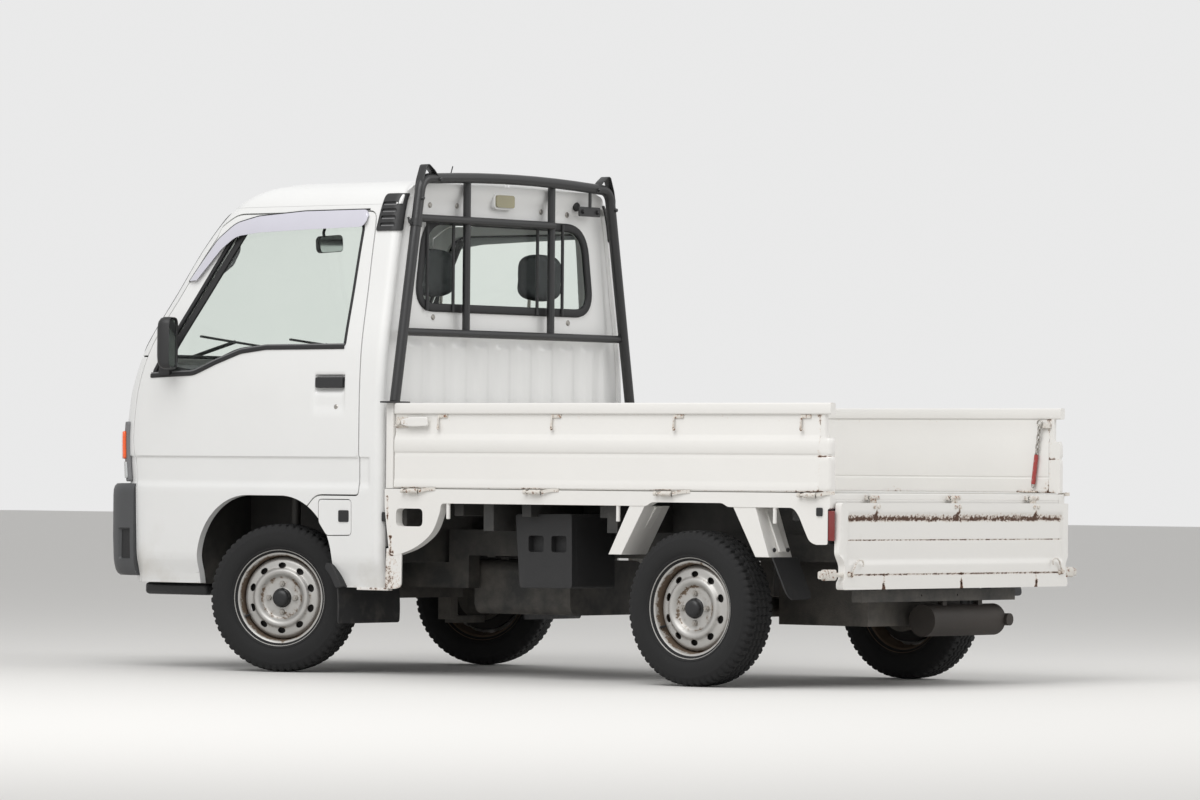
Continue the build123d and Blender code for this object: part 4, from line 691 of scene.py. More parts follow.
def wheel_disc():
    """The pressed disc: a ring with oval vents whose height follows the disc section by its radius."""
    outer = ring_net([0.1482])
    holes = [ring_net([0.03])]
    for index in range(vent_count):
        turn_by = 2 * math.pi * (index + 0.5) / vent_count
        angle = np.linspace(0, 2 * math.pi, 24, endpoint=False)
        oval = np.stack([vent_circle + vent_size[1] * np.cos(angle), vent_size[0] * np.sin(angle)], 1)
        c, s = math.cos(turn_by), math.sin(turn_by)
        holes.append(oval @ np.array([[c, s], [-s, c]]))
    net = ring_net(np.arange(0.034, 0.146, 0.0045), spacing=0.005)
    flat, faces = filled(outer, holes, net)

    def surface(points, drop):
        radius = np.hypot(points[:, 0], points[:, 1])
        height = through(disc_section, radius)
        angle = np.arctan2(points[:, 1], points[:, 0])
        boss = (
            0.0022 * np.exp(-((radius - nut_circle) / 0.01) ** 2)
            * np.clip(np.cos(nut_count * angle), 0, 1) ** 2
        )
        return np.stack([points[:, 0], points[:, 1], height + boss - drop], 1)

    return walled(flat, faces, lambda p: surface(p, 0.0), lambda p: surface(p, disc_thickness))


def hex_nut(x, y, base, top, half_width):
    """A six-sided nut with a domed end."""
    angle = np.arange(6) * math.pi / 3
    rings = []
    for reach, height in (
        (1.15, base), (1.15, top - 0.004), (0.95, top), (0.55, top), (0.5, top + 0.0035),
        (0.0, top + 0.004),
    ):
        rings.append(
            np.stack(
                [
                    x + reach * half_width * np.cos(angle), y + reach * half_width * np.sin(angle),
                    np.full(6, height),
                ],
                1,
            )
        )
    return np.vstack(rings), grid_faces(6, 6, False, True)


wheel_paint = make_finish(
    "wheel_paint", wheel_silver, 0.42, metal=0.55, mottle=0.12,
    worn=(brake_dust, dust_film, 38.0), grain=(300.0, 0.0003),
)
cap_plastic = make_finish(
    "cap_plastic", (0.012, 0.012, 0.013), 0.38, mottle=0.1,
    dust=(road_dust, 30.0, 0.35, 0.1, 0.5),
)
nut_metal = make_finish(
    "nut_metal", (0.42, 0.4, 0.37), 0.35, metal=0.85, mottle=0.15,
    spots=(rust_brown, 120.0, 0.36),
)

disc_shape = wheel_disc()
rim_shape = turned(rim_section, (0, 0, 0), (0, 0, 1), 96)
nut_shapes = []
for index in range(nut_count):
    nut_turn = 2 * math.pi * index / nut_count
    nut_shapes.append(
        hex_nut(
            nut_circle * math.cos(nut_turn), nut_circle * math.sin(nut_turn), 0.0265, 0.0365,
            nut_half_width,
        )
    )
cap_section = (
    (0.0, 0.0545), (0.012, 0.0542), (0.022, 0.0525), (0.0285, 0.048), (0.031, 0.043), (0.032, 0.035),
    (cap_radius, 0.0325), (cap_radius, 0.027), (0.0, 0.027),
)
cap_shape = turned(cap_section, (0, 0, 0), (0, 0, 1), 40)
valve_shape = rod((0.125, -0.062, 0.026), (0.13, -0.066, 0.05), 0.0042, 12, 0.001)


def silver_wear(place):
    """Brake dust gathers in the well beside the rim, round the nuts and in the dish."""
    middle, forward, upward, outward = place

    def wear(points):
        local = points - middle
        out = local @ outward
        radius = np.linalg.norm(local - out[:, None] * outward, axis=1)
        well = np.exp(-((radius - 0.148) / 0.006) ** 2) * 0.35
        dish = np.exp(-((radius - 0.074) / 0.007) ** 2) * 0.22
        nuts = np.exp(-((radius - 0.058) / 0.012) ** 2) * 0.13
        vents = np.exp(-((radius - 0.107) / 0.006) ** 2) * 0.14
        deep = np.clip((0.01 - out) * 20, 0, 0.5)
        return 0.3 + well + dish + nuts + vents + deep

    return wear


def add_on_wheels(name, shape, material, node=None, wear=None, **looks):
    """A piece on each wheel, from a shape made about a wheel's middle. The node and the wear are named or
    made for each wheel."""
    for wheel, side, axle_x, steer in wheel_places:
        place = wheel_frame(side, axle_x, steer)
        replaced = node and node + "_" + wheel
        worn = wear and wear(place)
        add_piece(
            name + "_" + wheel, seated(shape, place), material, wheel + "_wheel", node=replaced, wear=worn,
            **looks
        )


add_on_wheels("rim", rim_shape, wheel_paint, node="wheel", wear=silver_wear)
add_on_wheels("disc", disc_shape, wheel_paint, wear=silver_wear)
add_on_wheels("nuts", joined(*nut_shapes), nut_metal, sharp=25)
add_on_wheels("cap", cap_shape, cap_plastic)
add_on_wheels("valve", valve_shape, cap_plastic, slot="flap_rubber")

# The tyres are narrow light-truck ones: a tread of blocks between zigzag grooves, notches cut into the
# shoulders, and a smooth sidewall with a rib that guards the rim. Black rubber greyed by dust.
tyre_black = (0.009, 0.009, 0.0095)
tyre_grey = (0.03, 0.029, 0.027)
tread_pitches = 60
steps_per_pitch = 6
groove_depth = 0.0065
notch_depth = 0.0055

# columns: radius, distance outboard, the sidewall from the rim flange to the shoulder
sidewall = (
    (0.164, 0.052), (0.17, 0.0585), (0.174, 0.0625), (0.1775, 0.064), (0.1795, 0.0632), (0.185, 0.067),
    (0.196, 0.0712), (0.208, 0.0725), (0.22, 0.072), (0.23, 0.0705), (0.233, 0.0706), (0.235, 0.0694),
    (0.242, 0.0672), (0.249, 0.0648), (0.254, 0.0622), (0.2575, 0.059),
)


def tyre_shape():
    """The tyre's section swept round the wheel. Its radius drops in the grooves between the tread
    blocks."""
    wall = np.array(sidewall)
    tread_out = np.linspace(0.0565, -0.0565, 42)
    crown = 0.2618 - 0.9 * tread_out**2
    section = np.vstack([wall, np.stack([crown, tread_out], 1), wall[::-1] * (1, -1)])
    inner = np.array([(0.16, -0.05), (0.156, -0.035), (0.156, 0.035), (0.16, 0.05)])
    section = np.vstack([section, inner])
    steps = tread_pitches * steps_per_pitch
    angle = (np.arange(steps) / steps * 2 * math.pi)[:, None]
    pitch = np.arange(steps)[:, None] % steps_per_pitch
    radius = np.repeat(section[None, :, 0], steps, 0)
    out = np.repeat(section[None, :, 1], steps, 0)
    zigzag = 0.0035 * (np.abs(pitch / steps_per_pitch - 0.5) * 4 - 1)
    on_tread = radius > 0.256
    for groove in (-0.0225, 0.0, 0.0225):
        depth = np.clip(1.6 - np.abs(out - groove - zigzag) / 0.0028, 0, 1)
        radius = radius - groove_depth * depth * on_tread
    shoulder = (np.abs(out) > 0.036) & (radius > 0.2465)
    radius = radius - notch_depth * ((pitch < 2) & shoulder)
    sipe = (np.abs(out) < 0.034) & (radius > 0.256) & (pitch == 4)
    radius = radius - 0.0035 * sipe
    points = np.stack([radius * np.cos(angle), radius * np.sin(angle), out], -1)
    return points.reshape(-1, 3), grid_faces(steps, len(section), True, True)


tyre_rubber = make_finish(
    "tyre_rubber", tyre_black, 0.84, mottle=0.1, dust=(tyre_grey, 40.0, 0.36, 0.0, 0.9),
    grain=(420.0, 0.0004),
)
add_on_wheels("tyre_tread", tyre_shape(), tyre_rubber, node="tyre")

# The cab is a shell of pressed and welded steel panels, drawn in towards the roof and rounded at its
# corners. It is sprayed white, chalky from the sun, with a film of dust along the sills and a few chips.
cab_white = (0.8, 0.8, 0.79)
pale_dust = (0.56, 0.53, 0.47)
front_x = 1.6535
cab_rear_x = front_x - 1.338
front_bow = 0.024
rear_corner = 0.03
panel_depth = 0.028
seam_gap = 0.005
sill_z = 0.305
roof_seam_z = 1.648
screen_base_z = 1.118
screen_top_z = 1.628
screen_base_half = 0.6
screen_top_half = 0.524
arch_half_width = 0.318
arch_top_z = 0.624
arch_corner = 0.24
swage_low_z = 0.66
swage_high_z = 0.762
swage_rear_x = 0.362
swage_depth = 0.0065

# columns: height, front edge behind the bumper face, half width, radius of the front corner
cab_rows = (
    (0.3, 0.119, 0.66, 0.11), (0.345, 0.106, 0.669, 0.122), (0.395, 0.098, 0.6835, 0.138),
    (0.42, 0.094, 0.6865, 0.142), (0.6, 0.078, 0.6885, 0.147), (0.82, 0.062, 0.691, 0.15),
    (0.96, 0.076, 0.69, 0.15), (1.105, 0.12, 0.684, 0.15), (1.355, 0.277, 0.645, 0.135),
    (1.54, 0.404, 0.614, 0.125), (1.656, 0.515, 0.588, 0.12), (1.708, 0.61, 0.552, 0.115),
    (1.735, 0.74, 0.47, 0.11), (1.745, 0.95, 0.3, 0.09),
)
# columns: height, the door's front edge behind the bumper face
door_front_rows = (
    (0.3, 0.19), (0.66, 0.189), (0.82, 0.173), (0.97, 0.186), (1.1, 0.222), (1.355, 0.372),
    (1.54, 0.5), (1.596, 0.545),
)


def cab_level(height):
    """The cab's front edge, half width and corner radius at each height."""
    return (
        front_x - through(cab_rows, height, 1), through(cab_rows, height, 2), through(cab_rows, height, 3)
    )


def ramp(values, low, high):
    """A smooth step from 0 at low to 1 at high."""
    t = np.clip((values - low) / (high - low), 0, 1)
    return t * t * (3 - 2 * t)


def pressed(along, height):
    """How far the side is pressed in: a long swage with a sharp upper edge, a soft lower shoulder and a
    round rear end, and the shallow dish behind the door handle."""
    band = (
        ramp(height, swage_low_z - 0.014, swage_low_z + 0.014)
        * ramp(height, swage_high_z, swage_high_z - 0.006)
    )
    swage = swage_depth * band * ramp(along, swage_rear_x, swage_rear_x + 0.012)
    dish = (
        ramp(along, 0.477, 0.491) * ramp(along, 0.629, 0.615) * ramp(height, 1.056, 1.046)
        * ramp(height, 0.905, 0.945)
    )
    well = (
        ramp(along, 0.484, 0.49) * ramp(along, 0.622, 0.616) * ramp(height, 1.05, 1.044)
        * ramp(height, 0.982, 0.999)
    )
    return swage + 0.005 * dish + 0.012 * well


def side_skin(flat, depth):
    """The cab's left side from points (forward, height): straight along the side, round the front corner by
    the sine of its angle, and round the rear corner by arc length. Depth draws the points in square to the
    wall."""
    along, height = flat[:, 0], flat[:, 1]
    front, half, corner = cab_level(height)
    bend = np.arcsin(np.clip((along - front + corner) / corner, 0, 0.985))
    back = np.clip((cab_rear_x + rear_corner - along) / rear_corner, 0, math.pi / 2)
    rounded = np.where(back > 0, rear_corner, corner)
    turned_by = np.maximum(bend, back)
    x = np.where(back > 0, cab_rear_x + rear_corner * (1 - np.sin(back)), along)
    ahead_part = np.where(back > 0, -np.sin(back), np.sin(bend))
    y = half - rounded * (1 - np.cos(turned_by))
    inward = depth + pressed(along, height)
    return np.stack([x - inward * ahead_part, y - inward * np.cos(turned_by), height], 1)


def corner_x(half_at, height):
    """Where the front corner reaches a given half width at each height, as a forward place on the side."""
    front, half, corner = cab_level(height)
    angle = np.arccos(np.clip(1 - (half - half_at) / corner, -1, 1))
    return front - corner + corner * np.sin(angle)


def rect(first, second, far_first, far_second, radius):
    """A rectangle's corners for a rounded ring, from two opposite ones."""
    return tuple(
        (a, b, radius)
        for a, b in ((first, second), (far_first, second), (far_first, far_second), (first, far_second))
    )


def rounded_ring(corners, steps=5):
    """A closed outline from corners of (first, second, radius): each corner becomes a short curve."""
    points = np.array([c[:2] for c in corners], float)
    ring = []
    for index, corner in enumerate(points):
        before, after = points[index - 1], points[(index + 1) % len(points)]
        reach = corners[index][2]
        back, forth = before - corner, after - corner
        back_length, forth_length = np.linalg.norm(back), np.linalg.norm(forth)
        reach = min(reach, 0.49 * back_length, 0.49 * forth_length)
        if reach <= 0:
            ring.append(corner)
            continue
        t = np.linspace(0, 1, steps + 1)[:, None]
        start, end = corner + back / back_length * reach, corner + forth / forth_length * reach
        ring.extend((1 - t) ** 2 * start + 2 * t * (1 - t) * corner + t**2 * end)
    return np.array(ring)


def grown(ring, amount):
    """An outline moved outwards by an amount, square to its sides."""
    ring = np.asarray(ring, float)
    step = np.roll(ring, -1, 0) - ring
    length = np.linalg.norm(step, axis=1, keepdims=True)
    keep = length[:, 0] > 1e-7
    ring, step, length = ring[keep], step[keep], length[keep]
    normal = np.stack([step[:, 1], -step[:, 0]], 1) / length
    area = np.sum(ring[:, 0] * np.roll(ring[:, 1], -1) - np.roll(ring[:, 0], -1) * ring[:, 1])
    if area < 0:
        normal = -normal
    before = np.roll(normal, 1, 0)
    share = 1 + np.sum(before * normal, 1, keepdims=True)
    return ring + amount * (before + normal) / np.maximum(share, 0.5)


def net_over(firsts, seconds):
    """Every pair of a first and a second value, as points."""
    return np.stack(np.meshgrid(firsts, seconds, indexing="ij"), -1).reshape(-1, 2)


def laid(value, axis):
    """A function that lays flat points in the plane where one axis (0 forward, 1 left, 2 up) has a
    value."""
    return lambda flat: np.insert(flat, axis, value, axis=1)


def arch_arc(start, end, steps=14):
    """Part of the wheel arch's outline, by its angle from the front, with its flat top between two arcs."""
    flat_part = arch_half_width - arch_corner
    angle = np.radians(np.linspace(start, end, steps))
    shift = np.where(angle < math.pi / 2, flat_part, -flat_part)
    return np.stack([
        front_axle_x + shift + arch_corner * np.cos(angle),
        arch_top_z - arch_corner + arch_corner * np.sin(angle),
    ], 1)


door_rear_x = front_x - 1.237
door_top_z = 1.622
door_step = (front_x - 1.04, 0.63)
arch_join = 121
front_heights = np.array(
    [1.58, 1.54, 1.47, 1.4, 1.32, 1.24, 1.16, 1.1, 1.03, 0.96, 0.89, 0.82, 0.74, 0.66, 0.56, 0.46, 0.38]
)
door_front = np.stack([front_x - through(door_front_rows, front_heights), front_heights], 1)
door_corners = np.vstack(
    [
        rounded_ring(
            (
                (*arch_arc(arch_join, arch_join, 1)[0], 0.0), (*door_step, 0.03),
                (door_rear_x, door_step[1], 0.014), (door_rear_x, 1.56, 0.05),
                (door_rear_x + 0.004, door_top_z, 0.034), (front_x - 0.59, door_top_z, 0.03),
                (front_x - 0.51, 1.58, 0.0),
            )
        ),
        door_front[1:], [(front_x - 0.19, sill_z + 0.003)],
        [(front_axle_x + arch_half_width, sill_z + 0.003)], arch_arc(0, arch_join - 2, 24),
    ]
)
door_ring = dense_ring(door_corners, 0.016)
window_ring = dense_ring(rounded_ring((
    (0.4915, 1.15, 0.014), (0.4665, 1.588, 0.034), (1.0485, 1.588, 0.06), (1.3915, 1.052, 0.022),
    (1.215, 1.052, 0.08), (1.06, 1.112, 0.05), (0.985, 1.14, 0.05), (0.86, 1.15, 0.05),
)), 0.013)
fuel_ring = rounded_ring(
    (
        (0.598, 0.611, 0.014), (0.45, 0.611, 0.014), (0.449, 0.489, 0.014), (0.562, 0.487, 0.01),
        (0.598, 0.532, 0.01),
    )
)

feature_heights = np.array([
    0.345, 0.385, 0.395, 0.405, 0.42, 0.645, 0.652, 0.66, 0.668, 0.675, 0.755, 0.7585, 0.762, 0.766,
    0.906, 0.92, 0.934, 0.948, 0.982, 0.99, 0.999, 1.044, 1.047, 1.05, 1.057,
])
feature_places = np.array(
    [0.356, 0.362, 0.368, 0.374, 0.477, 0.484, 0.487, 0.4905, 0.615, 0.619, 0.622, 0.629]
)
side_heights = np.union1d(np.arange(0.32, 1.64, 0.024), feature_heights)
side_places = np.union1d(np.arange(0.31, 1.6, 0.024), feature_places)
side_net = net_over(side_places, side_heights)

cab_paint = make_finish(
    "cab_paint", cab_white, 0.34, coat=0.25, mottle=0.02,
    dust=(pale_dust, 5.0, 0.5, 0.28, 0.62), worn=(rust_brown, (0.58, 0.47, 0.36), 60.0),
    grain=(40.0, 0.00025),
)
black_rubber = make_finish(
    "black_rubber", (0.018, 0.018, 0.019), 0.62, mottle=0.2,
    dust=(road_dust, 30.0, 0.3, 0.2, 2.2),
)
grey_trim = make_finish(
    "grey_trim", (0.2, 0.2, 0.205), 0.62, mottle=0.1, grain=(500.0, 0.0003),
)
visor_plastic = make_finish("visor_plastic", (0.6, 0.59, 0.66), 0.16, coat=0.6, mottle=0.05)
window_glass = bpy.data.materials.new("window_glass")
window_glass.use_nodes = True
glass_tree = window_glass.node_tree
glass_shader = glass_tree.nodes["Principled BSDF"].inputs
glass_shader["Transmission Weight"].default_value = 1.0
glass_shader["IOR"].default_value = 1.2
glass_film = noise_value(glass_tree, glass_tree.nodes.new("ShaderNodeTexCoord").outputs["Object"], 2.5, 4.0)
glass_tint = blend_colour(glass_tree, glass_film, (0.93, 0.96, 0.93), (0.88, 0.92, 0.89))
glass_tree.links.new(spread(glass_tree, glass_film, 0.0, 0.015).outputs[0], glass_shader["Roughness"])
glass_tree.links.new(glass_tint, glass_shader["Base Color"])


def skin_shape(ring, holes, net, outer_depth, thickness):
    """A closed panel that follows the cab's side between an outer depth and that depth plus a thickness."""
    flat, faces = filled(ring, holes, net)
    return walled(
        flat, faces, lambda p: side_skin(p, outer_depth), lambda p: side_skin(p, outer_depth + thickness),
    )


def edge_wear(points):
    """Chips gather low on the panels and towards their lower edges."""
    return 0.1 + 0.22 * ramp(points[:, 2], 0.36, 0.305) + 0.04 * ramp(points[:, 2], 0.9, 0.4)


add_pair(
    "door_skin", skin_shape(door_ring, [window_ring], side_net, 0.0, panel_depth), cab_paint, "door",
    node="door", rounding=0.002, wear=edge_wear,
)
glass_ring = dense_ring(grown(window_ring, 0.006), 0.02)
add_pair(
    "door_pane", skin_shape(glass_ring, [], side_net, 0.011, 0.004), window_glass, "door",
    node="door_glass",
)

# The sides behind and over the doors are one pressing each: rear corner, rail and windscreen pillar. The
# left one carries the fuel lid. They are spot welded to the floor and the roof, and sprayed with the cab.
pillar_heights = np.linspace(screen_base_z, screen_top_z, 14)
screen_halves = np.interp(
    pillar_heights, (screen_base_z, screen_top_z), (screen_base_half, screen_top_half),
)
aperture = grown(door_corners, seam_gap)
aperture = aperture[aperture[:, 1] > 0.5]
start = np.argmin(
    np.hypot(
        aperture[:, 0] - arch_arc(arch_join, arch_join, 1)[0, 0],
        aperture[:, 1] - arch_arc(arch_join, arch_join, 1)[0, 1],
    )
)
aperture = np.roll(aperture, -start, 0)
drop = np.argmax((aperture[:, 1] < screen_base_z) & (aperture[:, 0] > 1.2))
opening = aperture[:drop]
slope = (screen_base_z + 0.004 - opening[-1, 1]) / (aperture[drop, 1] - opening[-1, 1])
opening = np.vstack([opening, opening[-1] + (aperture[drop] - opening[-1]) * slope])
rear_wrap_x = cab_rear_x + rear_corner * (1 - math.pi / 2)
side_ring = dense_ring(np.vstack([
    [(rear_wrap_x, sill_z), (front_axle_x - arch_half_width, sill_z)],
    arch_arc(180, arch_join + 1.3, 14),
    opening[1:],
    np.stack([corner_x(screen_halves, pillar_heights), pillar_heights], 1) + (0.0, 0.004),
    [(float(corner_x(0.515, np.array([roof_seam_z]))[0]), roof_seam_z)],
    [(rear_wrap_x, roof_seam_z)],
]), 0.014)
pillar_net = net_over(np.arange(1.06, 1.52, 0.01), np.arange(1.13, 1.64, 0.02))
corner_net = net_over(np.arange(rear_wrap_x + 0.005, cab_rear_x + rear_corner, 0.006), side_heights)
whole_net = np.vstack([side_net, pillar_net, corner_net])
for side, name, holes in ((1, "left", [dense_ring(grown(fuel_ring, 0.003), 0.012)]), (-1, "right", [])):
    points, faces = skin_shape(side_ring, holes, whole_net, 0.0, panel_depth)
    add_piece(
        "side_skin_" + name, (points * (1, side, 1), faces), cab_paint, node="cab_side_" + name,
        rounding=0.0015, wear=edge_wear,
    )
lid_net = net_over(np.arange(0.45, 0.6, 0.02), np.arange(0.49, 0.61, 0.02))
add_piece(
    "fuel_lid", skin_shape(dense_ring(fuel_ring, 0.012), [], lid_net, 0.0, 0.02), cab_paint,
    rounding=0.0015,
)
catch_ring = rounded_ring(rect(0.505, 0.575, 0.459, 0.534, 0.006))
add_piece("fuel_catch", skin_shape(catch_ring, [], lid_net, -0.003, 0.006), black_rubber, rounding=0.0012)

# The roof is one crowned pressing with four shallow beads along it, welded to the sides and rolled over at
# its rear edge. Its front edge turns down to the header over the windscreen.
roof_rows = (1.6485, 1.653, 1.66, 1.67, 1.682, 1.695, 1.708, 1.718, 1.727, 1.7335)
roof_sheet = 0.016
roof_crown = 0.012
roof_spine_x = 0.62
roof_roll = 0.02
roof_inner_rows = 26


def roof_path(height, depth):
    """A plan section of the cab at one height: along the left side, round the front and back along the
    right."""
    front, half, corner = (float(v[0]) for v in cab_level(np.array([height])))
    angle = np.radians(np.linspace(0, 90, 12))
    straight = np.concatenate(
        [
            cab_rear_x + roof_roll * np.array([0.0, 0.03, 0.12, 0.3, 0.6, 1.0]),
            np.linspace(cab_rear_x + 0.05, front - corner, 16)[:-1],
        ]
    )
    side = np.stack([straight, np.full(len(straight), half - depth)], 1)
    arc = np.stack(
        [
            front - corner + (corner - depth) * np.sin(angle),
            half - corner + (corner - depth) * np.cos(angle),
        ],
        1,
    )
    flat_half = half - corner
    across = np.linspace(flat_half, 0, 10)[1:]
    nose = np.stack([front - depth + front_bow * (1 - (across / flat_half) ** 2), across], 1)
    left = np.vstack([side, arc, nose])
    return np.vstack([left, left[-2::-1] * (1, -1)])


def roof_surface(depth):
    """Rows of points up the roof's rim, then rows that draw the last of them in to the middle line and
    crown it."""
    rows = []
    for height in roof_rows:
        path = roof_path(height, depth)
        rows.append(
            np.column_stack([path, np.full(len(path), height - depth * float(ramp(height, 1.66, 1.72)))])
        )
    rim = rows[-1]
    for step in range(1, roof_inner_rows + 1):
        k = step / roof_inner_rows
        x = rim[:, 0] + (np.minimum(rim[:, 0], roof_spine_x) - rim[:, 0]) * k
        y = rim[:, 1] * (1 - k)
        beads = 0.0025 * sum(np.exp(-((np.abs(y) - place) / 0.022) ** 4) for place in (0.11, 0.29))
        beads = beads * ramp(x, cab_rear_x + 0.05, cab_rear_x + 0.1) * ramp(x, 0.98, 0.86)
        rows.append(np.column_stack([x, y, rim[:, 2] + roof_crown * (1 - (1 - k) ** 2) + beads]))
    points = np.array(rows)
    near = np.clip(1 - (points[..., 0] - cab_rear_x) / roof_roll, 0, 1)
    points[..., 2] -= roof_roll * (1 - np.sqrt(1 - near**2)) * ramp(points[..., 2], 1.65, 1.7)
    return points.reshape(-1, 3), points.shape[:2]


roof_outer, roof_size = roof_surface(0.0)
roof_inner, _ = roof_surface(roof_sheet)
roof_quads = grid_faces(*roof_size)
roof_faces = np.vstack([roof_quads[:, [0, 1, 2]], roof_quads[:, [0, 2, 3]]])
roof_shape = walled(roof_outer, roof_faces, lambda p: roof_outer, lambda p: roof_inner)


def front_skin(flat, depth):
    """The cab's front from points (distance round from the middle line, height): across the bowed nose,
    round the corner and back along the side. Depth draws them in."""
    round_way, height = np.abs(flat[:, 0]), flat[:, 1]
    front, half, corner = cab_level(height)
    flat_half = half - corner
    across = np.minimum(round_way, flat_half)
    angle = np.clip((round_way - flat_half) / corner, 0, math.pi / 2)
    past = np.maximum(round_way - flat_half - corner * math.pi / 2, 0)
    nose = front_bow * (1 - (across / flat_half) ** 2)
    x = front + nose - corner * (1 - np.cos(angle)) - past - depth * np.cos(angle)
    y = across + (corner * np.sin(angle)) - depth * np.sin(angle)
    return np.stack([x, np.sign(flat[:, 0]) * y, height], 1)


def way_round(half_at, height):
    """How far round from the middle line the front reaches a given half width."""
    _, half, corner = cab_level(height)
    flat_half = half - corner
    angle = np.arcsin(np.clip((half_at - flat_half) / corner, 0, 1))
    return np.where(half_at > flat_half, flat_half + corner * angle, half_at)


def seam_round(height):
    """How far round the front panel's edge lies, a seam's width ahead of the door."""
    front, half, corner = cab_level(height)
    edge = front_x - through(door_front_rows, height) + seam_gap
    bend = np.arcsin(np.clip((edge - front + corner) / corner, 0, 1))
    return half - corner + corner * (math.pi / 2 - bend)


def front_sheet(ring, net, outer, inner):
    """A closed sheet inside a ring that follows the cab's front between two depths."""
    return walled(*filled(ring, [], net), lambda p: front_skin(p, outer), lambda p: front_skin(p, inner))


header_corners = [
    (-0.512, screen_top_z + 0.003), (0.512, screen_top_z + 0.003), (0.505, 1.6485), (-0.505, 1.6485),
]
header_net = net_over(np.arange(-0.5, 0.5, 0.02), [1.639])
header_shape = front_sheet(dense_ring(header_corners, 0.02), header_net, 0.0, roof_sheet)
add_piece(
    "roof_skin", joined(roof_shape, header_shape), cab_paint, node="roof_panel", sharp=40, wear=edge_wear,
)

# The front panel is one pressing from the sill to the windscreen, with a swage that meets those of the
# doors, a shallow panel between the lamps and a black louvred strip under the glass.
face_heights = np.arange(sill_z + 0.003, screen_base_z, 0.02)
face_edge = np.stack([seam_round(face_heights), face_heights], 1)
face_ring = dense_ring(
    np.vstack(
        [
            face_edge, [(float(seam_round(np.array([screen_base_z - 0.002]))[0]), screen_base_z - 0.002)],
            [(-float(seam_round(np.array([screen_base_z - 0.002]))[0]), screen_base_z - 0.002)],
            face_edge[::-1] * (-1, 1),
        ]
    ),
    0.02,
)
face_net = net_over(
    np.arange(-0.8, 0.8, 0.02), np.union1d(np.arange(0.32, 1.11, 0.024), feature_heights[5:14]),
)


def face_press(flat):
    """How far the front is pressed in: the swage all the way round and the panel between the lamps."""
    height, round_way = flat[:, 1], np.abs(flat[:, 0])
    band = (
        ramp(height, swage_low_z - 0.014, swage_low_z + 0.014)
        * ramp(height, swage_high_z, swage_high_z - 0.006)
    )
    panel = ramp(round_way, 0.33, 0.31) * ramp(height, 0.785, 0.8) * ramp(height, 0.9, 0.885)
    return swage_depth * band * ramp(round_way, 0.55, 0.6) + 0.006 * panel


add_piece(
    "front_skin",
    walled(
        *filled(face_ring, [], face_net), lambda p: front_skin(p, face_press(p)),
        lambda p: front_skin(p, panel_depth),
    ),
    cab_paint, node="front_panel", rounding=0.0015, wear=edge_wear,
)


def front_strip(corners, outer, thickness, step=0.02):
    """A closed patch on the cab's front inside an outline of (distance round, height, radius)."""
    ring = dense_ring(rounded_ring(corners), step)
    low, high = ring.min(0), ring.max(0)
    net = net_over(np.arange(low[0], high[0], step), np.arange(low[1], high[1], step))
    return front_sheet(ring, net, outer, outer + thickness)


black_plastic = make_finish(
    "black_plastic", (0.022, 0.022, 0.023), 0.48, mottle=0.15, grain=(700.0, 0.0003),
)
add_piece(
    "cowl_strip",
    front_strip(
        ((-0.56, 1.045, 0.02), (0.56, 1.045, 0.02), (0.575, 1.1, 0.02), (-0.575, 1.1, 0.02)), -0.003, 0.006,
    ),
    black_plastic, rounding=0.0015,
)
cowl_slots = [
    front_strip(rect(x, 1.056, x + 0.05, 1.064, 0.004), -0.005, 0.003, 0.01)
    for x in np.arange(-0.5, 0.46, 0.075)
]
add_piece("cowl_louvres", joined(*cowl_slots), black_rubber, slot="dark_plastic", rounding=0.0008)

# The windscreen is one bent sheet of glass, set in a black rubber gasket that grips the opening's flange.
screen_rise = np.linspace(screen_base_z, screen_top_z, 16)
screen_run = way_round(
    np.interp(screen_rise, (screen_base_z, screen_top_z), (screen_base_half, screen_top_half)), screen_rise,
)
screen_edge = np.stack([screen_run, screen_rise], 1)
screen_ring = dense_ring(
    rounded_ring(
        [
            (screen_run[0], screen_rise[0], 0.05), *[(a, b, 0.0) for a, b in screen_edge[2:-2]],
            (screen_run[-1], screen_rise[-1], 0.05), (-screen_run[-1], screen_rise[-1], 0.05),
            *[(-a, b, 0.0) for a, b in screen_edge[-3:1:-1]], (-screen_run[0], screen_rise[0], 0.05),
        ]
    ),
    0.025,
)
screen_net = net_over(np.arange(-0.66, 0.66, 0.03), np.arange(1.13, 1.62, 0.03))
add_piece(
    "windscreen_glass", front_sheet(screen_ring, screen_net, 0.006, 0.011), window_glass, node="windscreen",
)
add_piece(
    "windscreen_rubber",
    carried(front_skin(screen_ring, 0.004), soft_box(0.026, 0.013, 0.005, 2), closed=True, up=(1, 0, 0)),
    black_rubber,
)

# Two wiper arms of black-painted steel turn on spindles in the cowl, each with a jointed blade.
wiper_shapes = []
for foot, tip, blade_half in ((-0.1, -0.42, 0.22), (0.42, 0.08, 0.22)):
    arm_path = np.linspace((foot, 1.085), (tip, 1.185), 14)
    arm = front_skin(arm_path, -0.02)
    wiper_shapes.append(carried(arm, soft_box(0.014, 0.006, 0.002, 2), up=(1, 0, 0)))
    blade_path = np.linspace((tip - blade_half, 1.165), (tip + blade_half, 1.2), 20)
    wiper_shapes.append(
        carried(front_skin(blade_path, -0.008), soft_box(0.008, 0.014, 0.002, 2), up=(1, 0, 0))
    )
    wiper_shapes.append(
        knob(
            [(0.013, 0), (0.013, 0.014), (0.009, 0.02)], front_skin(np.array([(foot, 1.085)]), 0.004)[0],
            (1, 0, 0.3), 20,
        )
    )
add_piece("wipers", joined(*wiper_shapes), black_plastic, rounding=0.0008)

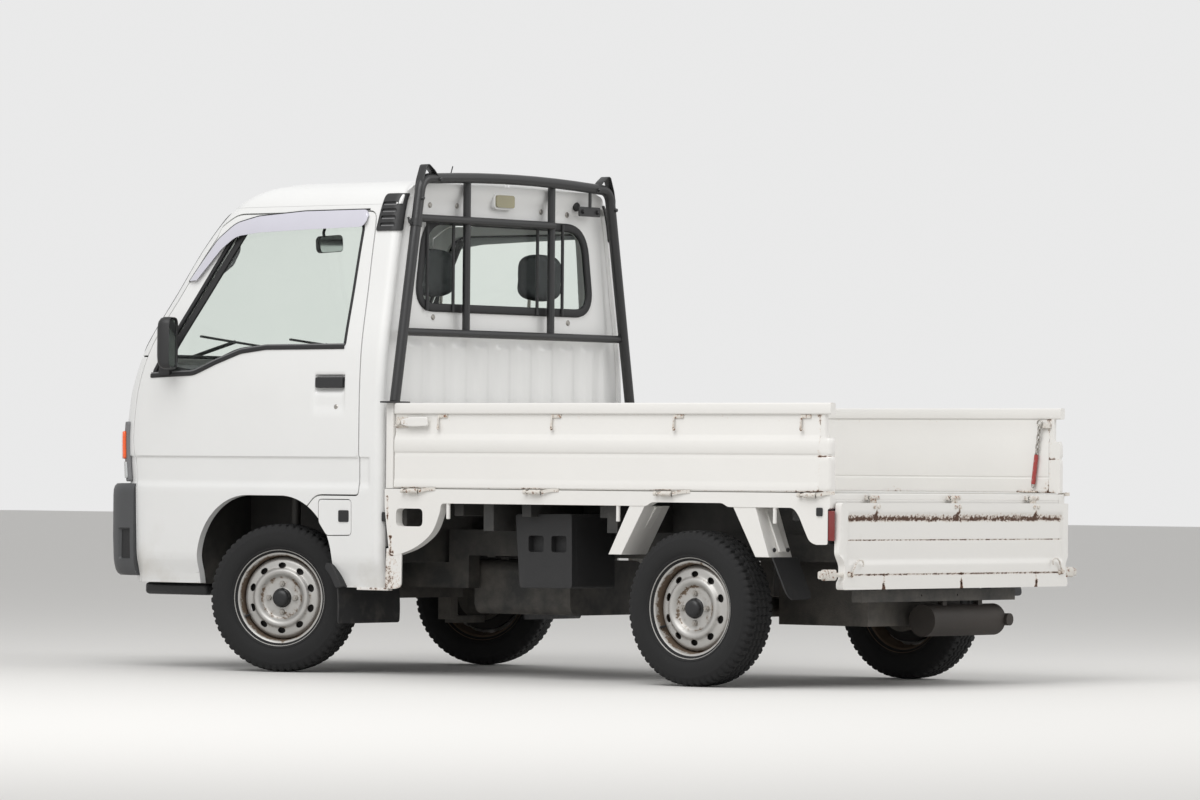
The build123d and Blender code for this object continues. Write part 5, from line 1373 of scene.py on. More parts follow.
# The cab's rear wall stands between the sides: a raised panel round the window, upright flutes below it
# that stiffen the sheet, and a row of plugged bolt holes over the glass.
wall_x = cab_rear_x + 0.016
wall_sheet = 0.018
flute_pitch = 0.122
flute_rise = 0.009
window_low_z = 1.29
window_high_z = 1.598
window_half = 0.492


def wall_skin(flat, depth):
    """The rear wall from points (left, height), pressed out rearwards by its flutes and its raised
    panel."""
    y, z = flat[:, 0], flat[:, 1]
    phase = np.abs((y / flute_pitch + 0.5) % 1 - 0.5) * flute_pitch
    flute = (
        ramp(phase, 0.046, 0.022) * ramp(z, 1.176, 1.15) * ramp(z, 0.5, 0.53) * ramp(np.abs(y), 0.6, 0.575)
    )
    half_at = np.interp(z, (1.2, 1.72), (0.6, 0.555))
    panel = ramp(np.abs(y), half_at, half_at - 0.02) * ramp(z, 1.188, 1.206)
    lean = 0.016 * ramp(z, 1.655, 1.705)
    x = wall_x - flute_rise * flute - 0.008 * panel - lean + depth
    return np.stack([x, y, z], 1)


wall_rise = np.array([0.45, 0.7, 0.95, 1.2, 1.355, 1.45, 1.54, 1.6, 1.64, 1.66, 1.68, 1.7, 1.715, 1.727])
_, wall_half, _ = cab_level(wall_rise)
wall_edge = np.stack([wall_half - 0.012, wall_rise], 1)
wall_ring = dense_ring(np.vstack([wall_edge, wall_edge[::-1] * (-1, 1)]), 0.02)
rear_pane_ring = dense_ring(rounded_ring((
    (-window_half, window_low_z, 0.09), (window_half, window_low_z, 0.09),
    (window_half - 0.045, window_high_z, 0.1), (-window_half + 0.045, window_high_z, 0.1),
), 8), 0.015)
wall_net = net_over(
    np.arange(-0.66, 0.66, 0.0122),
    np.union1d(
        np.arange(0.46, 1.14, 0.05),
        np.union1d(np.arange(1.145, 1.215, 0.008), np.arange(1.23, 1.73, 0.02)),
    ),
)
add_piece(
    "rear_wall_skin",
    walled(
        *filled(wall_ring, [rear_pane_ring], wall_net), lambda p: wall_skin(p, 0.0),
        lambda p: wall_skin(p, 0.0) * (0, 1, 1) + (wall_x + wall_sheet, 0, 0),
    ),
    cab_paint, node="cab_rear_wall", wear=edge_wear,
)
pane_net = net_over(np.arange(-0.48, 0.48, 0.05), np.arange(1.3, 1.6, 0.05))
pane = filled(dense_ring(grown(rear_pane_ring, 0.006), 0.02), [], pane_net)
add_piece(
    "rear_pane", walled(*pane, laid(wall_x, 0), laid(wall_x + 0.005, 0)), window_glass, node="rear_window",
)
gasket_path = laid(wall_x - 0.008, 0)(rear_pane_ring)
add_piece(
    "rear_window_rubber", carried(gasket_path, soft_box(0.03, 0.018, 0.007, 3), closed=True, up=(1, 0, 0)),
    black_rubber,
)
bar_shapes = [
    rod((wall_x - 0.02, y, 1.278), (wall_x - 0.02, y, 1.608), 0.006, 12)
    for y in (0.448, 0.305, -0.169, -0.313)
]
add_piece("window_bars", joined(*bar_shapes), black_plastic, slot="guard_black")
plug_shapes = [
    knob([(0.007, -0.004), (0.01, -0.001), (0.01, 0.004)], (wall_x - 0.009, y, z), (1, 0, 0), 16)
    for y, z in (
        (0.423, 1.65), (0.274, 1.653), (-0.201, 1.65), (-0.351, 1.645), (0.401, 1.256), (-0.362, 1.254),
    )
]
add_piece("wall_plugs", joined(*plug_shapes), nut_metal, slot="body_paint")
add_piece(
    "wall_grommet",
    turned(
        [(0, -0.008), (0.012, -0.007), (0.017, -0.002), (0.017, 0.004), (0, 0.004)],
        (wall_x - 0.018, -0.395, 1.676), (1, 0, 0), 24,
    ),
    black_rubber,
)

# A small lamp over the rear window lights the bed: a yellowed lens in a white plastic frame.
lamp_ring = rounded_ring(rect(-0.026, 1.648, 0.088, 1.706, 0.018), 6)
lens_yellow = make_finish(
    "lens_yellow", (0.36, 0.33, 0.2), 0.18, coat=0.7, mottle=0.2, grain=(260.0, 0.0006),
)
for label, shrink, outward, finish, slot_name in (
    ("frame", 0.0, 0.012, cab_paint, "body_paint"), ("lens", -0.007, 0.019, lens_yellow, "lamp_clear"),
):
    sheet = filled(grown(lamp_ring, shrink), [], net_over([0.0, 0.03, 0.06], [1.668, 1.684]))
    add_piece(
        "bed_light_" + label, walled(*sheet, laid(wall_x - 0.016 - outward, 0), laid(wall_x - 0.002, 0)),
        finish, slot=slot_name, rounding=0.003,
    )

# The bed's sides and tailgate are pressed from thin sheet and folded over a box rail along the top. Their
# white paint is chipped through to brown rust along the seams, round the hinges and wherever the fittings
# rub.
bed_white = (0.79, 0.776, 0.748)
rust_dark = (0.075, 0.03, 0.014)
rust_halo = (0.5, 0.33, 0.2)
bed_rear_x = -1.6185
gate_front_x = 0.2535
gate_outer_y = 0.689
gate_inner_y = 0.661
end_post_x = -1.572
rail_low_z = 0.911
rail_top_z = 0.95
gate_foot_z = 0.656

# columns: how far in from the gate's outer face, height
gate_outer_rows = (
    (0.01, 0.911), (0.01, 0.846), (0.0085, 0.84), (0.003, 0.826), (0.0012, 0.82), (0.001, 0.784),
    (0.0025, 0.781), (0.0048, 0.777), (0.0048, 0.773), (0.004, 0.768), (0.0035, 0.762), (0.0035, 0.69),
    (0.0028, 0.684), (0.0004, 0.674), (0.0, 0.668), (0.0, 0.66), (0.0025, 0.656),
)
gate_inner_rows = (
    (0.0255, 0.656), (0.028, 0.66), (0.028, 0.705), (0.0262, 0.708), (0.0262, 0.711), (0.028, 0.714),
    (0.028, 0.832), (0.0235, 0.848), (0.023, 0.911),
)

bed_finish = make_finish(
    "bed_finish", bed_white, 0.36, coat=0.2, mottle=0.02,
    dust=(pale_dust, 6.0, 0.35, 0.3, 1.2), worn=(rust_dark, rust_halo, 85.0), grain=(45.0, 0.0003),
)
rusty_steel = make_finish(
    "rusty_steel", (0.7, 0.67, 0.62), 0.5, mottle=0.1, spots=(rust_brown, 75.0, 0.455),
    worn=(rust_dark, rust_halo, 70.0), grain=(150.0, 0.0005),
)


def near(values, centre, width):
    """A bump of height 1 at the centre that has faded at the width."""
    return np.exp(-((values - centre) / width) ** 2)


def extruded(section, places, along=0):
    """A closed section of (first, second) points swept along one axis through the places, with flat
    ends."""
    section = np.asarray(section, float)
    return np.vstack([laid(place, along)(section) for place in places]), capped(len(places), len(section))


def corner_section(front, rear, outer, inner, radius):
    """A plan section of a gate's end post, its outer rear edge rounded."""
    angle = np.radians(np.linspace(0, 90, 8))
    arc = np.stack([rear + radius * (1 - np.sin(angle)), outer - radius * (1 - np.cos(angle))], 1)
    return np.vstack([[(front, outer)], arc, [(rear, inner), (front, inner)]])


def gate_wear(points):
    """Rust starts at the hinges, the bottom seam, the groove's rear end, the rail's end and the inner
    corners."""
    x, z = points[:, 0], points[:, 2]
    hinges = sum(near(x, place, 0.05) for place in side_hinge_places)
    foot = near(z, gate_foot_z, 0.006) * (0.3 + 0.22 * hinges)
    end_seam = near(x, end_post_x, 0.004) * (0.28 + 0.1 * near(z, 0.78, 0.012))
    groove = near(z, 0.774, 0.003) * (0.14 + 0.4 * near(x, -1.6, 0.03))
    rail_end = near(x, bed_rear_x, 0.02) * near(z, 0.945, 0.012) * 0.35
    under_rail = near(z, rail_low_z, 0.004) * 0.22
    return 0.1 + foot + end_seam + groove + rail_end + under_rail


side_hinge_places = (-1.5195, -0.9225, -0.3605, 0.1845)
rope_hook_places = (0.058, -0.443, -0.967, -1.496)
panel_section = [(gate_outer_y - back, height) for back, height in gate_outer_rows + gate_inner_rows]
panel_places = np.concatenate(
    [
        [gate_front_x, gate_front_x - 0.004], np.arange(gate_front_x - 0.02, end_post_x + 0.01, -0.02),
        [end_post_x],
    ]
)
rail_outline = soft_box(gate_outer_y - gate_inner_y, rail_top_z - rail_low_z, 0.007, 3)
rail_outline = rail_outline + ((gate_outer_y + gate_inner_y) / 2, (rail_top_z + rail_low_z) / 2)
rail_places = np.linspace(gate_front_x, bed_rear_x, 90)
add_pair(
    "gate_panel", joined(extruded(panel_section, panel_places), extruded(rail_outline, rail_places)),
    bed_finish, "gate", node="side_gate", sharp=28, wear=gate_wear,
)

post_rows = np.concatenate(
    [
        [gate_foot_z, 0.662], np.arange(0.67, 0.764, 0.012), [0.768, 0.773, 0.777, 0.782],
        np.arange(0.79, 0.83, 0.012), [0.829, 0.834],
    ]
)
inset = (
    0.0035 * near(post_rows, 0.775, 0.004) + 0.003 * ramp(post_rows, 0.82, 0.834)
    + 0.002 * ramp(post_rows, 0.662, 0.656)
)
post_points = np.vstack(
    [
        np.column_stack(
            [
                corner_section(
                    end_post_x - 0.001, bed_rear_x + shrink, gate_outer_y - shrink, gate_inner_y, 0.014,
                ),
                np.full(11, level),
            ]
        )
        for level, shrink in zip(post_rows, inset)
    ]
)
neck = extruded(
    corner_section(
        end_post_x - 0.001, bed_rear_x + 0.026, gate_outer_y - 0.008, gate_inner_y + 0.003, 0.008,
    ),
    [0.832, 0.87, 0.912], 2,
)
add_pair(
    "gate_end", joined((post_points, capped(len(post_rows), 11)), neck), bed_finish, "gate", sharp=30,
    wear=gate_wear,
)

hook_shapes, lug_shapes = [], []
for place in rope_hook_places:
    face_y = gate_outer_y - 0.01
    lug_shapes.append(
        block((place - 0.038, face_y - 0.001, 0.8985), (place + 0.004, face_y + 0.005, 0.9105))
    )
    bend = [
        (place, face_y + 0.003, 0.906), (place, face_y + 0.007, 0.896), (place, face_y + 0.008, 0.872),
        (place, face_y + 0.01, 0.861), (place - 0.004, face_y + 0.013, 0.858),
        (place - 0.007, face_y + 0.012, 0.864),
    ]
    hook_shapes.append(
        carried(
            smooth_path([(x, y, z) for x, y, z in bend], 0.005, 3), round_outline(0.0036, 10), up=(0, 1, 0),
        )
    )
add_pair("rope_lugs", joined(*lug_shapes), rusty_steel, "gate", rounding=0.0012, wear=0.42)
add_pair(
    "rope_hooks", joined(*hook_shapes), rusty_steel, "gate",
    wear=lambda p: 0.25 + 0.25 * near(p[:, 2], 0.862, 0.02),
)

strap_shapes = []
for place in side_hinge_places:
    strap_shapes.append(
        knob(
            [(0.0075, -0.024), (0.0085, -0.023), (0.0085, 0.023), (0.0075, 0.024)],
            (place - 0.026, 0.7015, 0.645), (1, 0, 0), 20,
        )
    )
    leaf = [(-0.052, 0.704, 0.6445), (-0.052, 0.7, 0.652), (-0.09, 0.693, 0.658), (-0.12, 0.69, 0.659)]
    leaf_points = np.array(
        [
            (place + x, y + out, z + drop)
            for x, y, z in leaf for out, drop in ((0, 0), (0.002, 0), (0.002, -0.012), (0, -0.012))
        ]
    )
    strap_shapes.append((leaf_points, capped(4, 4)))
add_pair("gate_hinges", joined(*strap_shapes), rusty_steel, "gate", rounding=0.0008, wear=0.34)

base_x, tip_x, lever_z = 0.246, 0.095, 0.8835
lever_outline = rounded_ring(
    (
        (base_x - 0.03, lever_z + 0.008, 0.004), (base_x - 0.07, lever_z + 0.018, 0.02),
        (tip_x + 0.004, lever_z + 0.018, 0.008), (tip_x, lever_z - 0.014, 0.008),
        (base_x - 0.07, lever_z - 0.017, 0.02), (base_x - 0.03, lever_z - 0.009, 0.004),
    ),
    4,
)
lever = extruded([(x, z) for x, z in lever_outline], [gate_outer_y + 0.002, gate_outer_y + 0.011], 1)
add_pair(
    "latch_lever", lever, bed_finish, "gate", rounding=0.003,
    wear=lambda p: 0.16 + 0.3 * near(p[:, 0], 0.22, 0.02),
)
pivot = joined(
    block(
        (base_x - 0.046, gate_outer_y - 0.012, lever_z - 0.02),
        (base_x + 0.002, gate_outer_y - 0.004, lever_z + 0.018),
    ),
    rod(
        (base_x - 0.018, gate_outer_y - 0.008, lever_z), (base_x - 0.018, gate_outer_y + 0.012, lever_z),
        0.01, 20, 0.002,
    ),
    rod(
        (base_x - 0.04, gate_outer_y - 0.002, lever_z - 0.012),
        (base_x + 0.004, gate_outer_y - 0.002, lever_z - 0.012), 0.004, 12,
    ),
)
add_pair("latch_pivot", pivot, rusty_steel, "gate", rounding=0.0015, wear=0.4)

# The tailgate hangs straight down, so its inner face looks to the rear: a proud frame with a pressed panel,
# two folds along it and a flat strip with three holes by its free edge. Stains run down from the hinges.
tail_face_x = -1.6535
tail_back_x = -1.6255
tail_half = 0.673
tail_top_z = 0.621
tail_foot_z = 0.335
tail_frame = 0.044

# columns: height, how deep the pressed panel lies there
tail_rows = (
    (0.618, 0.0), (0.596, 0.0), (0.59, 0.001), (0.576, 0.0085), (0.566, 0.0095), (0.564, 0.0115),
    (0.5615, 0.0115), (0.559, 0.009), (0.501, 0.0085), (0.4985, 0.011), (0.4965, 0.011), (0.494, 0.008),
    (0.436, 0.0078), (0.43, 0.0065), (0.418, 0.0012), (0.414, 0.0006), (0.387, 0.001), (0.3845, 0.0045),
    (0.382, 0.0045), (0.3795, 0.0), (0.34, 0.0),
)


def tail_surface(flat):
    """The tailgate's rear-facing side from points (left, height): proud at its ends and pressed in
    between."""
    y, z = flat[:, 0], flat[:, 1]
    depth = (
        through(tail_rows, z)
        * ramp(np.abs(y), tail_half - tail_frame + 0.006, tail_half - tail_frame - 0.006)
    )
    edge = 0.008 * ramp(np.abs(y), tail_half - 0.014, tail_half) ** 2
    return np.stack([tail_face_x + depth + edge, y, z], 1)


def tail_wear(points):
    """Rust along the folds and the bottom strip, under the hinges, round the holes and at the latches.
    The band under the top of the frame is partly rust stains and partly painted shade.
    """
    y, z = points[:, 1], points[:, 2]
    inner = ramp(np.abs(y), 0.645, 0.62) * (points[:, 0] < -1.64)
    # The first fold line and the band above it darken the recess under the top of the frame: partly rust
    # stains, partly painted shade.
    folds = (
        inner
        * (0.36 * near(z, 0.566, 0.012) + 0.46 * near(z, 0.498, 0.0034) + 0.46 * near(z, 0.384, 0.005))
    )
    recess_shade_and_stain = inner * 0.26 * near(z, 0.58, 0.018)
    holes = sum(near(y, place, 0.012) for place in tail_hole_places) * near(z, 0.35, 0.03) * 0.58
    drips = sum(near(y, place, 0.01) for place in tail_hinge_places) * near(z, 0.595, 0.026) * 0.4
    ends = near(np.abs(y), 0.675, 0.02) * near(z, 0.375, 0.055) * 0.42
    foot = 0.2 * near(z, tail_foot_z, 0.006) + 0.12 * near(z, tail_top_z, 0.006)
    return 0.1 + folds + recess_shade_and_stain + holes + drips + ends + foot


tail_hinge_places = (0.47, 0.0, -0.47)
tail_hole_places = (0.431, -0.02, -0.469)
tail_ring = dense_ring(
    rounded_ring(
        (
            (-tail_half + 0.006, tail_top_z, 0.01), (tail_half - 0.006, tail_top_z, 0.01),
            (tail_half, 0.452, 0.01), (tail_half - 0.024, 0.415, 0.01), (tail_half - 0.024, 0.37, 0.006),
            (tail_half - 0.012, 0.36, 0.008), (tail_half - 0.012, tail_foot_z, 0.014),
            (-tail_half + 0.012, tail_foot_z, 0.014), (-tail_half + 0.012, 0.36, 0.008),
            (-tail_half + 0.024, 0.37, 0.006), (-tail_half + 0.024, 0.415, 0.01), (-tail_half, 0.452, 0.01),
        )
    ),
    0.012,
)
tail_holes = [ring_net([0.0055], (place, 0.352), 0.003) for place in tail_hole_places]
tail_heights = np.union1d([row[0] for row in tail_rows], np.arange(0.345, 0.615, 0.008))
tail_places = np.union1d(
    np.arange(-0.676, 0.676, 0.014),
    np.concatenate(
        [sign * (tail_half - tail_frame + np.array([-0.006, -0.002, 0.002, 0.006])) for sign in (1, -1)]
    ),
)
tail_sheet = filled(tail_ring, tail_holes, net_over(tail_places, tail_heights))
add_piece(
    "tailgate_skin", walled(*tail_sheet, tail_surface, laid(tail_back_x, 0)), bed_finish, "rear_gate",
    node="tailgate", sharp=28, wear=tail_wear,
)

tail_knuckles, tail_bolts = [], []
for place in tail_hinge_places:
    tail_knuckles.append(
        knob(
            [(0.007, -0.017), (0.008, -0.016), (0.008, 0.016), (0.007, 0.017)],
            (-1.6395, place + 0.004, 0.638), (0, 1, 0), 20,
        )
    )
    tail_knuckles.append(block((-1.6435, place - 0.01, 0.606), (-1.6355, place + 0.018, 0.634)))
    for shift in (-0.008, 0.016):
        tail_bolts.append(
            knob(
                [(0.006, -0.005), (0.0075, -0.002), (0.0075, 0.003)], (-1.6535, place + shift, 0.608),
                (1, 0, 0), 12,
            )
        )
add_piece(
    "tailgate_knuckles", joined(*tail_knuckles, *tail_bolts), rusty_steel, "rear_gate", rounding=0.0008,
    wear=0.42,
)
for side, name in ((1, "left"), (-1, "right")):
    slid = 0.0 if side > 0 else 0.046
    handle = joined(
        rod((-1.6395, side * 0.64, 0.384), (-1.6395, side * (0.7 - slid), 0.384), 0.008, 16),
        extruded(
            soft_box(0.026, 0.036, 0.008, 4) + (-1.6395, 0.384),
            [side * (across - slid) for across in (0.694, 0.698, 0.745, 0.749)], 1,
        ),
        extruded(
            soft_box(0.02, 0.026, 0.006, 4) + (-1.6395, 0.384),
            [side * (0.748 - slid), side * (0.77 - slid)], 1,
        ),
    )
    add_piece(
        "tailgate_latch_" + name, handle, rusty_steel, "rear_gate", sharp=30, rounding=0.0015,
        wear=lambda p: 0.06 + 0.24 * near(np.abs(p[:, 1]), 0.695, 0.012),
    )
wire_path = [
    (-1.655, 0.612, 0.386), (-1.66, 0.612, 0.398), (-1.662, 0.6, 0.42), (-1.662, 0.585, 0.432),
    (-1.662, 0.565, 0.432), (-1.662, 0.556, 0.42), (-1.662, 0.56, 0.411),
]
wire = carried(smooth_path(wire_path, 0.012, 5), round_outline(0.0028, 10), up=(1, 0, 0))
add_pair("tailgate_wire", wire, rusty_steel, body="rear_gate", wear=0.3)
eye_profile = [(0, -0.007), (0.006, -0.006), (0.009, -0.001), (0.009, 0.003), (0, 0.003)]
eyes = [turned(eye_profile, (-1.6535, y, z), (1, 0, 0), 16) for y, z in ((0.612, 0.384), (0.628, 0.386))]
add_pair("tailgate_eye", joined(*eyes), rusty_steel, body="rear_gate", wear=0.48)

# A short chain on each side gate keeps it from dropping: welded links, part of them in a red sleeve,
# between a ring by the rail and a rusty plate at the foot.
link_radius = 0.0022
link_pitch = 0.0165
sleeve_red = make_finish(
    "sleeve_red", (0.38, 0.055, 0.05), 0.45, mottle=0.2, spots=(rust_brown, 60.0, 0.4),
)


def chain_link(middle, along, across, length, width):
    """One stadium-shaped link in the plane of along and across."""
    angle = np.linspace(0, 2 * math.pi, 20, endpoint=False)
    stretch = (length - width) / 2
    path = middle + np.outer(
        width / 2 * np.sin(angle) + stretch * np.sign(np.sin(angle)) * (np.abs(np.sin(angle)) > 0.01),
        along,
    ) + np.outer(width / 2 * np.cos(angle), across)
    return carried(path, round_outline(link_radius, 8), closed=True, up=np.cross(along, across))


chain_top = np.array([-1.54, gate_inner_y - 0.01, 0.89])
chain_foot = np.array([-1.512, gate_inner_y - 0.01, 0.668])
run = chain_foot - chain_top
along = run / np.linalg.norm(run)
across_one = np.array([0.0, 1.0, 0.0])
across_two = np.cross(along, across_one)
links = []
for index in range(int(np.linalg.norm(run) / link_pitch)):
    distance = (index + 0.5) * link_pitch
    links.append(
        chain_link(
            chain_top + along * distance, along, across_one if index % 2 else across_two, 0.021, 0.011,
        )
    )
ring_angle = np.linspace(0, 2 * math.pi, 24, endpoint=False)
ring_path = (
    chain_top + (0, 0, 0.008) + np.outer(0.01 * np.cos(ring_angle), (1, 0, 0))
    + np.outer(0.01 * np.sin(ring_angle), (0, 0, 1))
)
links.append(carried(ring_path, round_outline(0.0026, 8), closed=True, up=(0, 1, 0)))
add_pair("gate_chain", joined(*links), nut_metal, "gate", slot="bed_paint")
sleeve = rod(chain_top + along * 0.102, chain_top + along * 0.205, 0.0075, 16, 0.001)
add_pair("chain_sleeve", sleeve, sleeve_red, "gate")
lugs = joined(
    block((-1.58, gate_inner_y - 0.007, 0.88), (-1.538, gate_inner_y + 0.004, 0.898)),
    block((-1.53, gate_inner_y - 0.016, 0.6575), (-1.448, gate_inner_y + 0.002, 0.6635)),
)
add_pair(
    "chain_lugs", lugs, rusty_steel, "gate", rounding=0.002, wear=lambda p: 0.2 + 0.3 * (p[:, 2] < 0.7),
)

# The deck is one sheet with shallow beads along it, on a sill of folded steel that carries the hinges, the
# rope pegs and the corner plates.
deck_z = 0.655
bead_pitch = 0.106
deck_net = net_over(
    np.union1d(np.arange(-1.58, 0.24, 0.05), [-1.552, -1.54, 0.212, 0.224]),
    np.arange(-0.64, 0.641, 0.0106),
)
deck_ring = dense_ring([(-1.612, -0.652), (0.25, -0.652), (0.25, 0.652), (-1.612, 0.652)], 0.03)


def deck_surface(flat):
    """The deck from points (forward, left), raised along its beads."""
    x, y = flat[:, 0], flat[:, 1]
    off = np.abs((y / bead_pitch + 0.5) % 1 - 0.5) * bead_pitch
    bead = (
        ramp(off, 0.022, 0.01) * ramp(np.abs(y), 0.63, 0.6) * ramp(x, -1.556, -1.536)
        * ramp(x, 0.228, 0.208)
    )
    return np.stack([x, y, deck_z + 0.0004 + 0.0025 * bead], 1)


deck_finish = make_finish(
    "deck_finish", (0.6, 0.595, 0.57), 0.5, mottle=0.08, dust=(pale_dust, 9.0, 0.55, 0.3, 2.0),
    spots=(rust_brown, 24.0, 0.3), grain=(60.0, 0.0006),
)
add_piece(
    "deck_sheet", walled(*filled(deck_ring, [], deck_net), deck_surface, laid(deck_z - 0.004, 2)),
    deck_finish, sharp=50,
)

# The bed's front wall is a sheet with upright ribs between two folded corner posts, under a round-edged
# rail.
front_wall_x = 0.2765
front_wall_places = np.union1d(np.arange(-0.668, 0.669, 0.0195), [-0.668, 0.668])
rib_face = 0.007 * ramp(np.abs((front_wall_places / 0.167 + 0.5) % 1 - 0.5) * 0.167, 0.034, 0.022)
wall_plan = np.vstack([
    np.stack([front_wall_x - 0.008 - rib_face, front_wall_places], 1),
    np.stack([front_wall_x + 0.006 + 0 * rib_face, front_wall_places], 1)[::-1],
])
top_rail = soft_box(0.034, 0.036, 0.008, 3) + (front_wall_x, 0.932)
add_piece(
    "bed_wall_sheet",
    joined(
        extruded(wall_plan, [0.656, 0.67, 0.78, 0.9, 0.916], 2),
        extruded(top_rail, np.linspace(-0.655, 0.655, 12), 1),
        both_sides(
            extruded(soft_box(0.034, 0.034, 0.007, 3) + (front_wall_x, 0.672), [0.654, 0.7, 0.9, 0.95], 2)
        ),
    ),
    bed_finish, node="bed_front_wall", sharp=30, wear=lambda p: 0.12 + 0.2 * near(p[:, 2], 0.656, 0.01),
)

# A hoop of black-painted tube stands behind the cab to guard its window, with two crossbars, two uprights,
# flat feet on the bed's front wall and a flat strap bent into an eye at each shoulder.
guard_x = 0.2715
guard_tube = 0.0185
guard_bar = 0.014
guard_foot_half = 0.666
guard_foot_z = 0.955
guard_shoulder_half = 0.532
guard_top_z = 1.742
guard_bow = 0.013
guard_bend = 0.08
guard_low_bar_z = 1.2
guard_high_bar_z = 1.6

guard_black = make_finish(
    "guard_black", (0.016, 0.016, 0.017), 0.42, coat=0.2, mottle=0.2,
    dust=(road_dust, 22.0, 0.3, 0.9, 2.4), spots=(rust_brown, 60.0, 0.27), grain=(200.0, 0.0004),
)


def leg_half(height):
    """How far out the guard's legs stand at a height."""
    return (
        guard_foot_half
        + (guard_shoulder_half - guard_foot_half) * (height - guard_foot_z) / (guard_top_z - guard_foot_z)
    )


bowed_top = [
    (guard_x, y, guard_top_z + guard_bow * (1 - (y / 0.44) ** 2))
    for y in np.linspace(0.44, -0.44, 9)
]
hoop_path = smooth_path(
    [
        (guard_x, guard_foot_half, guard_foot_z), (guard_x, leg_half(guard_top_z), guard_top_z - 0.004),
        *bowed_top, (guard_x, -leg_half(guard_top_z), guard_top_z - 0.004),
        (guard_x, -guard_foot_half, guard_foot_z),
    ],
    guard_bend, 8,
)
guard_shapes = [carried(hoop_path, round_outline(guard_tube, 24), up=(1, 0, 0))]
low_half, high_half = leg_half(guard_low_bar_z), leg_half(guard_high_bar_z)
# columns: how far the bar stands ahead of the hoop, its two ends (left, height)
guard_bars = (
    (0.008, (low_half, guard_low_bar_z), (-low_half, guard_low_bar_z)),
    (0.008, (high_half, guard_high_bar_z), (-0.22, guard_high_bar_z)),
    (0.018, (0.258, guard_low_bar_z), (0.258, guard_top_z)),
    (0.018, (-0.22, guard_low_bar_z), (-0.22, guard_top_z)),
)
for shift, start, end in guard_bars:
    guard_shapes.append(rod((guard_x + shift, *start), (guard_x + shift, *end), guard_bar, 18))
foot_plan = rounded_ring(
    (
        (guard_x - 0.022, 0.606, 0.006), (guard_x - 0.022, 0.726, 0.012), (guard_x + 0.022, 0.726, 0.012),
        (guard_x + 0.022, 0.606, 0.006),
    )
)
guard_shapes.append(both_sides(extruded(foot_plan, [0.9502, 0.956], 2)))
add_piece("guard_tubes", joined(*guard_shapes), guard_black, node="guard_frame", sharp=40, rounding=0.0008)

strap_half = 0.0175
# columns: left, height
ear_line = (
    (0.543, 1.64), (0.548, 1.7), (0.54, 1.735), (0.52, 1.785), (0.508, 1.788), (0.478, 1.768),
    (0.452, 1.742), (0.44, 1.728),
)
ear_bolts = ((0.5475, 1.668), (0.45, 1.738))
ear_shapes = []
for side in (1, -1):
    path = smooth_path([(guard_x, side * y, z) for y, z in ear_line], 0.022, 6)
    ear_shapes.append(carried(path, soft_box(0.0035, 2 * strap_half, 0.0012, 2), up=(1, 0, 0)))
    for y, z in ear_bolts:
        head = [(0.006, -0.006), (0.008, -0.002), (0.008, 0.008)]
        ear_shapes.append(knob(head, (guard_x - 0.02, side * y, z), (1, 0, 0), 6))
add_piece("guard_ears", joined(*ear_shapes), guard_black, rounding=0.0006)
bracket = joined(
    extruded(rounded_ring(rect(-0.48, 1.64, -0.356, 1.675, 0.006)), [guard_x - 0.002, guard_x + 0.003], 0),
    block((guard_x, -0.44, 1.655), (wall_x - 0.012, -0.425, 1.668)),
    *[
        knob([(0.007, -0.007), (0.009, -0.002), (0.009, 0.004)], (guard_x - 0.004, y, 1.657), (1, 0, 0), 6)
        for y in (-0.462, -0.378)
    ],
    rod((guard_x, -0.42, 1.67), (guard_x, -0.42, 1.748), 0.006, 14),
)
add_piece("guard_bracket", bracket, guard_black, rounding=0.0008)
clamp_z = 1.582
clamp_y = leg_half(clamp_z)
clamp = joined(
    turned(
        [(0.0187, -0.012), (0.0218, -0.012), (0.0218, 0.012), (0.0187, 0.012)], (guard_x, clamp_y, clamp_z),
        (0, -0.168, 0.986), 24,
    ),
    carried(
        smooth_path(
            [
                (guard_x, clamp_y + 0.019, clamp_z), (guard_x, clamp_y + 0.036, clamp_z - 0.004),
                (guard_x, clamp_y + 0.042, clamp_z + 0.018),
            ],
            0.012, 5,
        ),
        round_outline(0.004, 10), up=(1, 0, 0),
    ),
)
add_piece("guard_hook", clamp, guard_black)

# Tinted plastic visors are stuck along the top and the front of both door windows, to keep rain out.
visor_lower = ((0.45, 1.569), (0.7, 1.564), (0.94, 1.557), (1.048, 1.545), (1.11, 1.501), (1.212, 1.39))
visor_upper = ((0.45, 1.632), (0.75, 1.631), (0.965, 1.617), (1.068, 1.594), (1.145, 1.537), (1.264, 1.387))
visor_root = 0.003
visor_reach = 0.014
visor_sheet = 0.0025


def even(path, count):
    """A path's points spread evenly along it."""
    path = np.asarray(path, float)
    run = np.concatenate([[0], np.cumsum(np.linalg.norm(np.diff(path, axis=0), axis=1))])
    places = np.linspace(0, run[-1], count)
    return np.stack([np.interp(places, run, column) for column in path.T], 1)


def triangles(quads):
    """Each quad as two triangles."""
    return np.vstack([quads[:, [0, 1, 2]], quads[:, [0, 2, 3]]])


